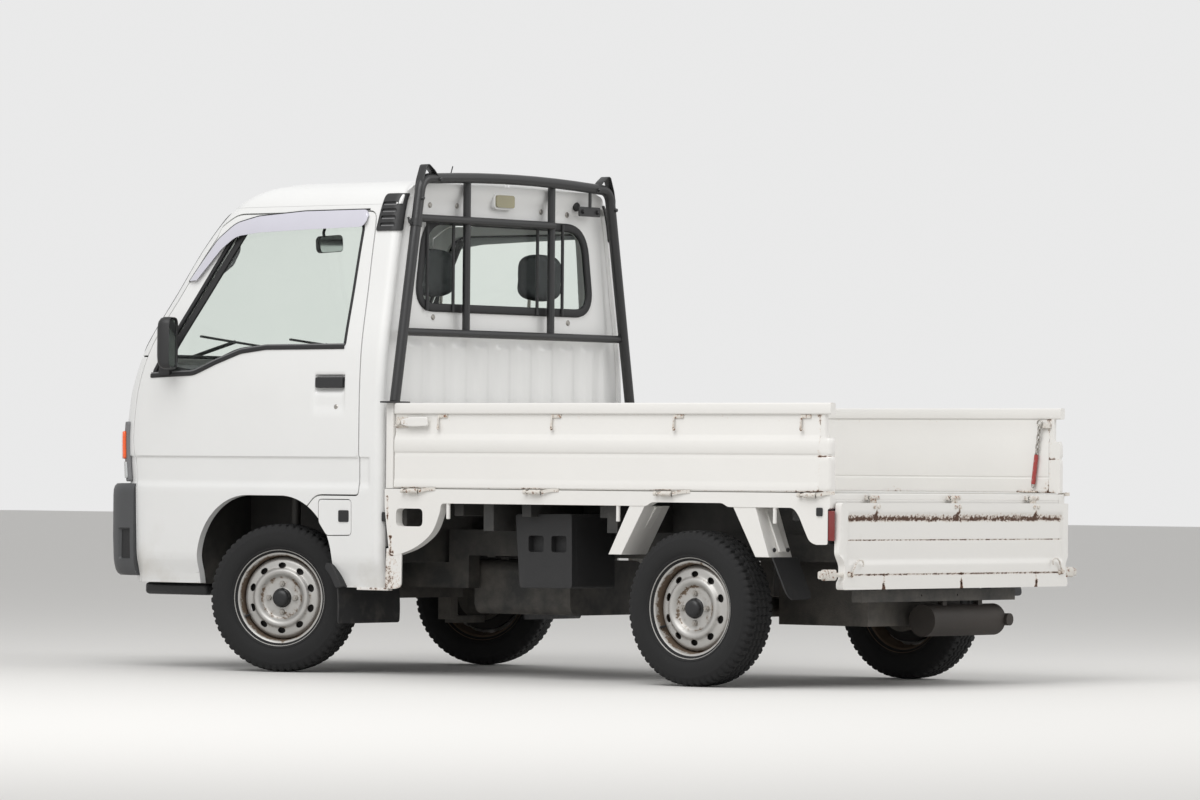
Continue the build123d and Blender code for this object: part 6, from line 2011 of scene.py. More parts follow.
def visor_shape():
    """A strip between its two edges that bulges away from the door towards the lower one. Its rear end is
    round."""
    lower = even(smooth_path(visor_lower, 0.1, 10), 100)
    upper = even(smooth_path(visor_upper, 0.12, 10), 100)
    end = np.clip(np.linspace(0, 1, 100) / 0.03, 0.04, 1)
    narrow = np.sqrt(1 - (1 - end) ** 2)[:, None]
    across = np.linspace(0, 1, 10)
    share = 0.5 + (across - 0.5) * narrow
    flat = (upper[:, None] * (1 - share[..., None]) + lower[:, None] * share[..., None]).reshape(-1, 2)
    stand = (visor_root + visor_reach * np.sin(across * math.pi / 2) ** 0.8 * (0.5 + 0.5 * narrow)).ravel()
    return walled(
        flat, triangles(grid_faces(100, 10)),
        lambda p: side_skin(p, -stand), lambda p: side_skin(p, visor_sheet - stand),
    )


add_pair("rain_visor", visor_shape(), visor_plastic, "door", sharp=50)
# A thin black strip under the visor's upper edge is a painted shadow: it darkens the gap between the visor
# and the door.
shadow_line_path = even(smooth_path(visor_upper, 0.12, 10), 70) - (0.0, 0.001)
shadow_line = carried(side_skin(shadow_line_path, -0.001), soft_box(0.006, 0.006, 0.002, 2), up=(0, 1, 0))
add_pair("visor_shadow_line", shadow_line, black_rubber, "door")

# Black rubber holds each door's glass: a channel all round, a wide sash up the front edge and a strip along
# the belt with a grey lip. The handle is black plastic over a well in the skin, with a round lock below it.
belt_line = (
    (0.492, 1.1465), (0.857, 1.1455), (0.975, 1.132), (1.093, 1.094), (1.195, 1.0555), (1.397, 1.048),
)
sash_line = ((1.35, 1.07), (1.281, 1.176), (1.048, 1.532), (1.022, 1.572))
belt_path = even(smooth_path(belt_line, 0.12, 10), 70)
facing = (0, 1, 0)
channel = carried(side_skin(window_ring, 0.006), soft_box(0.014, 0.014, 0.003, 2), closed=True, up=facing)
belt = carried(side_skin(belt_path, 0.0), soft_box(0.015, 0.011, 0.004, 3), up=facing)
sash = carried(side_skin(even(sash_line, 16), 0.01), soft_box(0.024, 0.012, 0.003, 2), up=facing)
add_pair("window_channel", joined(channel, belt, sash), black_rubber, "door")
lip = carried(side_skin(belt_path + (0.0, 0.0095), 0.002), soft_box(0.006, 0.008, 0.002, 2), up=facing)
add_pair("belt_lip", lip, grey_trim, "door")
handle_ring = rounded_ring(rect(0.492, 1.003, 0.617, 1.041, 0.007), 4)
handle = extruded(handle_ring, [0.67, 0.6925], 1)
add_pair("door_handle", handle, black_plastic, "door", rounding=0.004)
lock = joined(
    knob([(0.007, 0.003), (0.0095, 0.001), (0.0105, -0.004)], (0.524, 0.685, 0.936), facing, 28),
    block((0.5225, 0.687, 0.931), (0.5255, 0.6886, 0.941)),
)
add_pair("door_lock", lock, nut_metal, "door")

# A vent with four slots lets air out of the cab at the top of each rear pillar.
vent_ring = rounded_ring(
    ((0.3, 1.5535, 0.006), (0.407, 1.5535, 0.008), (0.39, 1.686, 0.012), (0.3, 1.686, 0.006))
)
vent_slot_heights = (1.5755, 1.6002, 1.6249, 1.6496)
vent_net = net_over(np.arange(0.302, 0.41, 0.006), np.arange(1.556, 1.686, 0.008))
slots = [rounded_ring(rect(0.33, z - 0.0065, 0.391, z + 0.0065, 0.006)) for z in vent_slot_heights]
grille = skin_shape(
    dense_ring(vent_ring, 0.008), [dense_ring(slot, 0.006) for slot in slots], vent_net, -0.006, 0.007,
)
add_pair("pillar_vent", grille, black_plastic, rounding=0.0014)
backing = skin_shape(dense_ring(grown(vent_ring, -0.004), 0.008), [], vent_net, -0.0012, 0.0022)
add_pair("vent_backing", backing, black_rubber)
lips = [
    carried(
        side_skin(even(((0.333, z - 0.004), (0.388, z - 0.004)), 8), -0.0022),
        soft_box(0.0045, 0.003, 0.001, 2), up=(0, 1, 0),
    )
    for z in vent_slot_heights
]
add_pair("vent_lips", joined(*lips), grey_trim)

# The door mirrors are black shells on short arms, turned in towards the driver.
mirror_middle = (1.2535, 0.76, 1.163)
mirror_turn = math.radians(24)
# columns: size of the outline there, how far ahead of the shell's middle
shell_rows = (
    (0.9, -0.013), (0.92, -0.02), (0.97, -0.022), (1.0, -0.018), (1.0, 0.004), (0.96, 0.015), (0.86, 0.023),
    (0.66, 0.028), (0.3, 0.0295),
)
mirror_glass = make_finish("mirror_glass", (0.5, 0.54, 0.52), 0.06, metal=1.0, mottle=0.02)


def stacked(outline, rows, middle, across, upward, ahead_way):
    """Copies of an outline in a row along one direction, each at its own size, joined to one closed
    shape."""
    flat = outline[:, :1] * across + outline[:, 1:] * upward
    rings = [middle + size * flat + shift * np.asarray(ahead_way) for size, shift in rows]
    return np.vstack(rings), capped(len(rows), len(outline))


mirror_outline = soft_box(0.104, 0.186, 0.026, 5)
middle = np.array(mirror_middle)
mirror_ahead = np.array([math.cos(mirror_turn), math.sin(mirror_turn), 0.0])
mirror_across = np.array([-math.sin(mirror_turn), math.cos(mirror_turn), 0.0])
upward = np.array([0.0, 0.0, 1.0])
arm_path = smooth_path([(1.328, 0.672, 1.098), (1.324, 0.722, 1.104), (1.262, 0.752, 1.116)], 0.03, 6)
foot_ring = rounded_ring(
    ((1.296, 1.052, 0.012), (1.352, 1.052, 0.012), (1.346, 1.12, 0.02), (1.312, 1.135, 0.012))
)
shell = joined(
    stacked(mirror_outline, shell_rows, middle, mirror_across, upward, mirror_ahead),
    carried(arm_path, soft_box(0.026, 0.034, 0.01, 3), up=(0, 0, 1)),
    skin_shape(
        dense_ring(foot_ring, 0.012), [],
        net_over(np.arange(1.3, 1.36, 0.012), np.arange(1.06, 1.14, 0.012)), -0.014, 0.018,
    ),
)
add_pair("mirror_shell", shell, black_plastic, "door", node="mirror", sharp=45, rounding=0.0015)
glass = stacked(
    mirror_outline, ((0.9, -0.0125), (0.9, -0.0165)), middle, mirror_across, upward, mirror_ahead,
)
add_pair("mirror_glass", glass, mirror_glass, "door")

# Lamp units wrap round the front corners: a dark frame, a clear headlamp over its reflector, and an orange
# turn lamp that stands proud at the corner.
lamp_frame_ring = ((0.335, 0.668, 0.02), (0.706, 0.668, 0.012), (0.706, 0.884, 0.012), (0.335, 0.88, 0.02))
lamp_orange = make_finish(
    "lamp_orange", (1.0, 0.12, 0.01), 0.14, coat=0.9, mottle=0.03, grain=(300.0, 0.0003),
)
lens_clear = make_finish(
    "lens_clear", (0.66, 0.68, 0.68), 0.1, coat=1.0, mottle=0.06, grain=(240.0, 0.0004),
)

add_pair(
    "lamp_frame", front_strip(lamp_frame_ring, -0.01, 0.014, 0.012), grey_trim, left_node="headlamps",
    rounding=0.003,
)
headlamp = joined(
    front_strip(rect(0.35, 0.682, 0.59, 0.866, 0.02), -0.019, 0.012, 0.012),
    front_strip(rect(0.604, 0.68, 0.694, 0.74, 0.008), -0.015, 0.008, 0.012),
)
add_pair("headlamp_lens", headlamp, lens_clear, rounding=0.004)
bowl = front_strip(rect(0.386, 0.698, 0.554, 0.85, 0.076), -0.02, 0.002, 0.012)
add_pair("headlamp_bowl", bowl, mirror_glass, rounding=0.0006)
flutes = [
    front_strip(rect(start, 0.694, start + 0.0045, 0.854, 0.001), -0.0212, 0.003, 0.012)
    for start in np.arange(0.364, 0.576, 0.0106)
]
add_pair("headlamp_flutes", joined(*flutes), lens_clear)
turn_lamp = front_strip(rect(0.6, 0.749, 0.692, 0.85, 0.012), -0.021, 0.014, 0.012)
add_pair("turn_lamp", turn_lamp, lamp_orange, rounding=0.005)

# The bumper is one moulding of dark grey plastic that wraps round to the doors, with a slot in each end.
# Below it hangs a black splash shield.
bumper_nose = 1.6355
bumper_half = 0.696
bumper_corner = 0.119
bumper_tail_x = 1.4705
# columns: how far in from the bumper's outline, height
bumper_rows = (
    (0.055, 0.655), (0.03, 0.662), (0.014, 0.661), (0.005, 0.652), (0.001, 0.638), (0.0, 0.62), (0.0, 0.59),
    (0.0, 0.56), (0.0, 0.53), (0.0, 0.502), (0.0, 0.496), (0.0, 0.49), (0.0, 0.47), (0.001, 0.445),
    (0.002, 0.42), (0.0025, 0.4), (0.003, 0.394), (0.0035, 0.388), (0.006, 0.37), (0.011, 0.35),
    (0.018, 0.338), (0.028, 0.331), (0.055, 0.33),
)
slot_front_x = 1.5395
slot_rear_x = 1.4905
slot_low_z = 0.393
slot_high_z = 0.497
bumper_grey = make_finish(
    "bumper_grey", (0.075, 0.077, 0.08), 0.52, mottle=0.12,
    dust=(road_dust, 14.0, 0.35, 0.25, 0.9), grain=(600.0, 0.0003),
)
bumper_turn = np.linspace(0, math.pi / 2, 26)
bumper_arc = np.stack(
    [
        bumper_nose - bumper_corner * (1 - np.cos(bumper_turn)),
        bumper_half - bumper_corner * (1 - np.sin(bumper_turn)),
    ],
    1,
)
bumper_way = np.stack([np.cos(bumper_turn), np.sin(bumper_turn)], 1)
bumper_side_x = np.array([1.508, 1.5, 1.4935, 1.4905, 1.4875, 1.48, bumper_tail_x])
bumper_across = np.linspace(0, bumper_half - bumper_corner, 24)[:-1]
nose_x = bumper_nose + 0.018 * (1 - (bumper_across / 0.577) ** 2)
bumper_plan = np.vstack(
    [
        np.stack([nose_x, bumper_across], 1), bumper_arc,
        np.stack([bumper_side_x, np.full(len(bumper_side_x), bumper_half)], 1),
    ]
)
bumper_out = np.vstack(
    [np.tile((1.0, 0.0), (len(bumper_across), 1)), bumper_way, np.tile((0.0, 1.0), (len(bumper_side_x), 1))]
)


def bumper_shape():
    """The bumper's section carried round its plan from one end to the other, pressed in where the slots
    are."""
    plan = np.vstack([bumper_plan[::-1], bumper_plan[1:] * (1, -1)])
    out = np.vstack([bumper_out[::-1], bumper_out[1:] * (1, -1)])
    rows = np.array(bumper_rows)
    x = plan[:, 0]
    in_slot = (
        ramp(x, slot_rear_x - 0.002, slot_rear_x + 0.001)
        * ramp(x, slot_front_x + 0.002, slot_front_x - 0.001)
    )
    in_height = (
        ramp(rows[:, 1], slot_low_z - 0.003, slot_low_z + 0.002)
        * ramp(rows[:, 1], slot_high_z + 0.003, slot_high_z - 0.002)
    )
    inset = rows[:, 0] + 0.012 * in_slot[:, None] * in_height
    flat = plan[:, None] - inset[..., None] * out[:, None]
    points = np.dstack([flat, np.broadcast_to(rows[:, 1], inset.shape)])
    return points.reshape(-1, 3), capped(len(plan), len(rows))


shield = block((1.1995, -0.6, 0.263), (1.5, 0.6, 0.306))
add_piece("bumper_cover", bumper_shape(), bumper_grey, node="front_bumper", sharp=40)
add_piece("splash_shield", shield, black_plastic, rounding=0.012)


def slot_plate(inset, thickness):
    """The dark back of the slot in the bumper's left end, from points (forward, height)."""
    flat = net_over(np.linspace(slot_rear_x, slot_front_x, 9), (slot_low_z, slot_high_z))

    def set_back(points, depth):
        cosine = np.clip(1 - (bumper_nose - points[:, 0]) / bumper_corner, 0, 1)
        sine = np.sqrt(1 - cosine**2)
        y = bumper_half - bumper_corner * (1 - sine) - depth * sine
        return np.stack([points[:, 0] - depth * cosine, y, points[:, 1]], 1)

    return walled(
        flat, triangles(grid_faces(9, 2)), lambda p: set_back(p, inset),
        lambda p: set_back(p, inset + thickness),
    )


add_piece("bumper_slots", both_sides(slot_plate(0.0105, 0.006)), black_rubber)
add_piece("plate_blank", block((1.6515, -0.165, 0.405), (1.6545, 0.165, 0.515)), grey_trim, rounding=0.002)

# A whip aerial stands on the right windscreen pillar.
aerial_foot = np.array((1.144, -0.587, 1.596))
aerial = joined(
    rod(aerial_foot, aerial_foot + (-0.01, -0.006, 0.03), 0.007, 14, 0.002),
    rod(aerial_foot + (-0.008, -0.005, 0.025), aerial_foot + (-0.111, 0.027, 0.252), 0.0022, 10),
)
add_piece("aerial", aerial, black_plastic)

# Inside the cab the dashboard is one grey moulding with a hood over the driver's dials, round-cornered
# vents and a glove box lid. The driver sits on the right.
driver_y = -0.305
dash_grey = make_finish(
    "dash_grey", (0.095, 0.1, 0.105), 0.58, mottle=0.08, grain=(700.0, 0.0004),
)
grip_grey = make_finish(
    "grip_grey", (0.42, 0.41, 0.44), 0.5, mottle=0.05, grain=(600.0, 0.0002),
)
soft_grey = make_finish(
    "soft_grey", (0.17, 0.175, 0.18), 0.62, mottle=0.06, grain=(600.0, 0.0003),
)
# columns: forward place, height
dash_rows = (
    (1.19, 0.765), (1.15, 0.785), (1.124, 0.82), (1.118, 0.86), (1.126, 0.895), (1.112, 0.93),
    (1.107, 0.985), (1.111, 1.02), (1.124, 1.044), (1.15, 1.056), (1.22, 1.064), (1.32, 1.078),
    (1.42, 1.09), (1.495, 1.094), (1.506, 1.07), (1.506, 0.9), (1.49, 0.765),
)
dash_places = np.concatenate([[-0.606], np.linspace(-0.6, 0.6, 61), [0.606]])


def dash_shape():
    """The dashboard's section repeated across the cab. The hood rises before the driver, and the ends are
    drawn in to clear the cab's round corners."""
    rows = np.array(dash_rows)
    hood_along = ramp(rows[:, 0], 1.105, 1.15) * ramp(rows[:, 0], 1.36, 1.24) * (rows[:, 1] > 1.0)
    rings = []
    for y in dash_places:
        hood = 0.045 * hood_along * float(ramp(np.array(abs(y - driver_y)), 0.19, 0.13))
        reach = 1.508 - 0.9 * max(0.0, abs(y) - 0.44) ** 2 - 0.02 * (abs(y) > 0.603)
        rings.append(
            np.column_stack([np.minimum(rows[:, 0], reach), np.full(len(rows), y), rows[:, 1] + hood])
        )
    return np.vstack(rings), capped(len(dash_places), len(rows))


add_piece("dash_moulding", dash_shape(), dash_grey, node="dashboard", sharp=50)
vent_shapes, slat_shapes = [], []
for y in (0.545, 0.075, -0.04, -0.55):
    vent_ring_flat = rounded_ring(rect(y - 0.048, 0.962, y + 0.048, 1.016, 0.01))
    vent_shapes.append(extruded(vent_ring_flat, [1.104, 1.116], 0))
    slat_shapes += [
        block((1.1, y - 0.042, z), (1.106, y + 0.042, z + 0.003))
        for z in (0.972, 0.982, 0.992, 1.002)
    ]
add_piece("dash_vents", joined(*vent_shapes), black_plastic, slot="interior_plastic", rounding=0.002)
add_piece("dash_slats", joined(*slat_shapes), soft_grey)
panel_shapes = [
    extruded(rounded_ring(rect(0.13, 0.8, 0.52, 0.905, 0.02)), [1.108, 1.122], 0),
    extruded(rounded_ring(rect(-0.11, 0.8, 0.11, 0.925, 0.012)), [1.102, 1.125], 0),
    extruded(rounded_ring(rect(driver_y - 0.15, 0.945, driver_y + 0.15, 1.068, 0.02)), [1.104, 1.15], 0),
]
add_piece("dash_panels", joined(*panel_shapes), soft_grey, rounding=0.003)
knobs = [
    turned(
        [(0, -0.016), (0.012, -0.014), (0.015, 0.0), (0.015, 0.006), (0, 0.006)], (1.101, y, 0.86),
        (1, 0, 0), 20,
    )
    for y in (-0.07, 0.0, 0.07)
]
add_piece("dash_knobs", joined(*knobs), black_plastic, slot="interior_plastic")

# The steering column leans up through a two-part cowl with a stalk on each side. The wheel has a padded
# middle.
column_top = np.array((1.0935, driver_y, 1.075))
column_down = np.array((math.cos(math.radians(48)), 0.0, -math.sin(math.radians(48))))
column_up = np.array((math.sin(math.radians(48)), 0.0, math.cos(math.radians(48))))
cowl_path = [column_top + column_down * run for run in (0.05, 0.06, 0.12, 0.185, 0.2)]
cowl = joined(
    carried(cowl_path, soft_box(0.086, 0.096, 0.026, 4), up=column_up),
    rod(column_top + column_down * 0.2, column_top + column_down * 0.3, 0.026, 20),
    rod(
        column_top + column_down * 0.085 + (0, 0.04, 0),
        column_top + column_down * 0.07 + (0, 0.165, 0.012), 0.006, 12, 0.002,
    ),
    rod(
        column_top + column_down * 0.085 - (0, 0.04, 0),
        column_top + column_down * 0.07 - (0, 0.165, -0.012), 0.006, 12, 0.002,
    ),
)
add_piece("column_cowl", cowl, dash_grey, rounding=0.002)
rim_angle = np.linspace(0, 2 * math.pi, 72, endpoint=False)[:, None]
rim_path = (
    column_top + 0.1845 * (np.cos(rim_angle) * np.array((0.0, 1.0, 0.0)) + np.sin(rim_angle) * column_up)
)
wheel_shapes = [carried(rim_path, round_outline(0.0125, 14), closed=True, up=column_down)]
for turn_by in (90, 215, 325):
    out_way = (
        math.cos(math.radians(turn_by)) * np.array((0.0, 1.0, 0.0))
        + math.sin(math.radians(turn_by)) * column_up
    )
    spoke = [
        column_top + column_down * drop + out_way * reach
        for reach, drop in ((0.028, 0.022), (0.08, 0.02), (0.14, 0.01), (0.176, 0.002))
    ]
    wheel_shapes.append(carried(spoke, soft_box(0.034, 0.01, 0.004, 2), up=-column_down))
wheel_shapes.append(
    stacked(
        soft_box(0.15, 0.092, 0.03, 5),
        ((0.8, -0.002), (0.94, 0.002), (1.0, 0.01), (1.0, 0.028), (0.92, 0.036), (0.6, 0.04)), column_top,
        np.array((0.0, 1.0, 0.0)), column_up, column_down,
    )
)
add_piece(
    "hand_wheel", joined(*wheel_shapes), black_plastic, "steering", slot="interior_plastic",
    node="steering_wheel", sharp=50,
)

# The mirror hangs from the header on a short stem. A grab handle is screwed to the left windscreen pillar.
inner_mirror = np.array((1.153, 0.0, 1.541))
tilt_across = np.array((0.0, math.cos(0.08), -math.sin(0.08)))
tilt_up = np.array((0.0, math.sin(0.08), math.cos(0.08)))
mirror_ring = soft_box(0.136, 0.062, 0.016, 4)
inner_shell = joined(
    stacked(
        mirror_ring, ((0.94, -0.011), (1.0, -0.01), (1.0, 0.002), (0.88, 0.012), (0.5, 0.016)),
        inner_mirror, tilt_across, tilt_up, np.array((1.0, 0, 0)),
    ),
    carried(
        smooth_path(
            [
                inner_mirror + (0.012, 0.006, 0.01), inner_mirror + (0.024, 0.004, 0.04),
                inner_mirror + (0.002, 0.0, 0.104),
            ],
            0.02, 5,
        ),
        round_outline(0.0055, 12), up=(0, 1, 0),
    ),
)
add_piece("inner_mirror", inner_shell, black_plastic, slot="interior_plastic", rounding=0.001)
add_piece(
    "inner_mirror_glass",
    stacked(
        mirror_ring, ((0.92, -0.0105), (0.92, -0.013)), inner_mirror, tilt_across, tilt_up,
        np.array((1.0, 0, 0)),
    ),
    mirror_glass,
)
grab_line = [
    (1.128, 0.59, 1.566), (1.096, 0.578, 1.548), (1.086, 0.572, 1.502), (1.118, 0.572, 1.451),
    (1.179, 0.574, 1.411), (1.23, 0.58, 1.388), (1.248, 0.604, 1.398),
]
add_piece(
    "grab_handle",
    carried(smooth_path(grab_line, 0.035, 6), soft_box(0.016, 0.018, 0.005, 3), up=(0, 1, 0)), grip_grey,
)

# The two seats are foam pads in dark grey cloth: cushion, reclined back with a sewn border, and a headrest
# on two chromed posts. Each pad is filled by a short cloth simulation from a slightly smaller shape.
seat_y = 0.305
seat_cloth = make_finish(
    "seat_cloth", (0.052, 0.055, 0.06), 0.85, mottle=0.12, grain=(1400.0, 0.0006),
)
square_ends = ((0.5, 0.86), (0.485, 0.94), (0.45, 0.985), (0.4, 1.0), (0.2, 1.0))
round_ends = ((0.5, 0.52), (0.485, 0.64), (0.45, 0.78), (0.38, 0.9), (0.28, 0.97), (0.14, 1.0))


def pillow(width, outline, ends):
    """A pad along Y from an outline of (forward, height, radius) that shrinks towards both ends. The rows
    of ends give the distance from the middle and the size there."""
    ring = rounded_ring(outline, 5)
    middle = (ring.min(0) + ring.max(0)) / 2
    rows = []
    for reach, size in [(-reach, size) for reach, size in ends] + [(0.0, 1.0)] + list(ends[::-1]):
        rows.append(np.insert(middle + (ring - middle) * size, 1, reach * width, axis=1))
    return np.vstack(rows), capped(len(rows), len(ring))


def stuffed(shape, voxel, cap):
    """A pad after it is filled: remeshed evenly, blown up by a cloth simulation without gravity, and no
    point moved further than the cap."""
    scene = bpy.context.scene
    mesh = bpy.data.meshes.new("pad")
    mesh.from_pydata(np.asarray(shape[0]).tolist(), [], [list(map(int, face)) for face in shape[1]])
    pad = bpy.data.objects.new("pad", mesh)
    scene.collection.objects.link(pad)
    remesh = pad.modifiers.new("remesh", "REMESH")
    remesh.mode = "VOXEL"
    remesh.voxel_size = voxel
    even_mesh = bpy.data.meshes.new_from_object(pad.evaluated_get(bpy.context.evaluated_depsgraph_get()))
    pad.modifiers.clear()
    pad.data = even_mesh
    start = np.zeros(len(even_mesh.vertices) * 3, np.float32)
    even_mesh.vertices.foreach_get("co", start)
    start = start.reshape(-1, 3).astype(float)
    shift = np.zeros_like(start)
    cloth = pad.modifiers.new("cloth", "CLOTH")
    cloth.settings.use_pressure = True
    cloth.settings.uniform_pressure_force = 4.0
    cloth.settings.effector_weights.gravity = 0
    cloth.point_cache.frame_start = 1
    cloth.point_cache.frame_end = 20
    for frame_number in range(1, 21):
        scene.frame_set(frame_number)
    filled_mesh = pad.evaluated_get(bpy.context.evaluated_depsgraph_get()).to_mesh()
    end = np.zeros(len(start) * 3, np.float32)
    filled_mesh.vertices.foreach_get("co", end)
    shift = end.reshape(-1, 3) - start
    length = np.linalg.norm(shift, axis=1, keepdims=True)
    shift = shift * np.minimum(1.0, cap / np.maximum(length, 1e-6))
    scene.frame_set(1)
    faces = [list(face.vertices) for face in even_mesh.polygons]
    bpy.data.objects.remove(pad)
    return start + shift, faces


# columns: name, width, outline, its ends, voxel size, the furthest that a point may move
pad_rows = (
    (
        "cushion", 0.425,
        ((0.545, 0.712, 0.02), (0.896, 0.712, 0.03), (0.898, 0.812, 0.035), (0.56, 0.796, 0.03)),
        square_ends, 0.009, 0.012,
    ),
    (
        "back", 0.415,
        (
            (0.47, 0.735, 0.02), (0.548, 0.822, 0.03), (0.462, 1.276, 0.035), (0.402, 1.276, 0.035),
            (0.44, 0.735, 0.02),
        ),
        square_ends, 0.009, 0.01,
    ),
    (
        "headrest", 0.214,
        ((0.378, 1.334, 0.03), (0.446, 1.334, 0.03), (0.44, 1.5, 0.034), (0.38, 1.5, 0.034)), round_ends,
        0.007, 0.006,
    ),
)
pad_shapes = {
    name: stuffed(pillow(width, outline, ends), voxel, cap)
    for name, width, outline, ends, voxel, cap in pad_rows
}
for side, name in ((1, "left"), (-1, "right")):
    middle = np.array((0.0, side * seat_y, 0.0))
    for label, (points, faces) in pad_shapes.items():
        pad = add_piece("seat_%s_%s" % (label, name), (points + middle, faces), seat_cloth, sharp=180)
        smooth = pad.modifiers.new("smooth", "SUBSURF")
        smooth.levels = 1
        smooth.render_levels = 1
        if side > 0 and label == "cushion":
            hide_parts("seats")
posts = [rod((0.42, y, 1.25), (0.412, y, 1.36), 0.006, 14) for y in (seat_y - 0.056, seat_y + 0.056)]
add_pair("headrest_posts", joined(*posts), nut_metal)
belt_stalk = smooth_path(
    [(0.505, seat_y - 0.232, 0.765), (0.56, seat_y - 0.24, 0.775), (0.62, seat_y - 0.24, 0.795)], 0.02, 4,
)
tray = joined(
    block((0.47, seat_y - 0.205, 0.7005), (0.88, seat_y + 0.205, 0.716)),
    carried(belt_stalk, soft_box(0.01, 0.022, 0.004, 2)),
)
add_pair("seat_tray", tray, black_plastic, slot="interior_plastic", rounding=0.002)

# Ribbed rubber matting covers the floor. Door trims are grey board with an armrest and a window winder.
dress("cab_floor", underbody_paint)
mat = [block((x, -0.345, 0.4105), (x + 0.012, 0.345, 0.416)) for x in np.arange(1.0, 1.5, 0.024)]
add_piece("floor_ribs", joined(block((0.996, -0.35, 0.4102), (1.512, 0.35, 0.4125)), *mat), black_rubber)
trim_ring = rounded_ring(
    (
        (0.44, 0.65, 0.02), (0.64, 0.645, 0.02), (0.78, 0.64, 0.06), (1.385, 0.64, 0.03),
        (1.375, 1.02, 0.03), (1.21, 1.03, 0.06), (0.99, 1.112, 0.06), (0.44, 1.128, 0.02),
    )
)
trim_net = net_over(np.arange(0.45, 1.39, 0.05), np.arange(0.66, 1.12, 0.05))
board = skin_shape(dense_ring(trim_ring, 0.03), [], trim_net, panel_depth + 0.0005, 0.005)
add_pair("door_trim", board, soft_grey, "door")
rest = joined(
    carried(
        smooth_path(
            [(0.62, 0.652, 0.93), (0.66, 0.625, 0.93), (0.9, 0.622, 0.935), (0.95, 0.652, 0.945)], 0.03, 5,
        ),
        soft_box(0.05, 0.034, 0.012, 3),
    ),
    rod((1.08, 0.655, 0.86), (1.08, 0.628, 0.86), 0.016, 18, 0.003),
    carried(
        [(1.08, 0.63, 0.86), (1.055, 0.626, 0.83), (1.02, 0.624, 0.792)], soft_box(0.01, 0.018, 0.004, 2),
        up=(0, 1, 0),
    ),
    rod((1.02, 0.63, 0.792), (1.02, 0.592, 0.792), 0.009, 16, 0.003),
)
add_pair("door_fittings", rest, black_plastic, "door", slot="interior_plastic", rounding=0.0015)

# The bed stands on a plate with deep sills. Each sill is one pressing with the plate at its front, the lamp
# plate at its rear and a cut over the wheel. Rust creeps in from its edges and from the seam under the
# gate.
bed_front_x = 0.2935
sill_top_z = 0.652
sill_low_z = 0.603
sill_face_y = 0.69
sill_back_y = 0.656
peg_places = (0.013, -0.731, -1.389)
sill_ring = dense_ring(
    rounded_ring(
        (
            (-1.6185, sill_top_z, 0.004), (-1.6185, sill_low_z, 0.002),
            (-1.6105, sill_low_z - 0.004, 0.004), (-1.6105, 0.483, 0.006), (-1.56, 0.482, 0.02),
            (-1.535, 0.494, 0.02), (-1.518, 0.526, 0.02), (-1.4915, 0.579, 0.02),
            (-1.4695, sill_low_z, 0.016), (-1.1975, sill_low_z, 0.012), (-1.1775, 0.616, 0.012),
            (-0.8775, 0.616, 0.012), (-0.8575, sill_low_z, 0.012), (0.0385, sill_low_z, 0.012),
            (0.044, 0.572, 0.01), (0.073, 0.502, 0.06), (0.1485, 0.448, 0.05), (0.2375, 0.421, 0.02),
            (0.2695, 0.417, 0.012), (bed_front_x, 0.59, 0.006), (bed_front_x, sill_top_z, 0.004),
        )
    ),
    0.012,
)
sill_hole = rounded_ring(rect(0.1215, 0.522, 0.2415, 0.584, 0.018))
sill_net = net_over(np.arange(-1.61, 0.29, 0.014), np.arange(0.425, 0.65, 0.012))


def sheet_wear(points):
    """Rust along the sill's lower edge and top seam, round the plates' edges and under the gate's
    hinges."""
    x, z = points[:, 0], points[:, 2]
    edge = 0.26 * near(z, sill_low_z, 0.006) * (np.abs(x + 0.7) < 0.78) + 0.16 * near(z, sill_top_z, 0.006)
    front = (
        0.46 * near(x, 0.284 - 0.14 * np.clip(0.59 - z, 0, 1), 0.01) * (z < 0.64)
        + 0.2 * near(z, 0.43, 0.02) * near(x, 0.26, 0.03)
    )
    rear = 0.2 * near(x, -1.606, 0.008) + 0.14 * near(z, 0.486, 0.006)
    hinges = sum(near(x, place, 0.045) for place in side_hinge_places) * near(z, 0.64, 0.016) * 0.3
    return 0.1 + edge + front + rear + hinges


sill = walled(*filled(sill_ring, [sill_hole], sill_net), laid(sill_face_y, 1), laid(sill_back_y, 1))
add_pair("bed_sill", sill, bed_finish, left_node="bed_floor", sharp=30, wear=sheet_wear)


def hinge_lugs(places, axis, low, high, pin):
    """Two lugs round a pin at each place along an axis. Low, high and pin give a lug's corners and the pin
    without that axis."""
    shapes = []
    for place in places:
        for middle in (place - 0.0185, place + 0.0185):
            start, end = middle - 0.0055, middle + 0.0055
            shapes.append(block(np.insert(low, axis, start), np.insert(high, axis, end)))
            shapes.append(rod(np.insert(pin, axis, start), np.insert(pin, axis, end), 0.008, 18))
        shapes.append(
            rod(np.insert(pin, axis, place - 0.025), np.insert(pin, axis, place + 0.025), 0.004, 12)
        )
    return joined(*shapes)


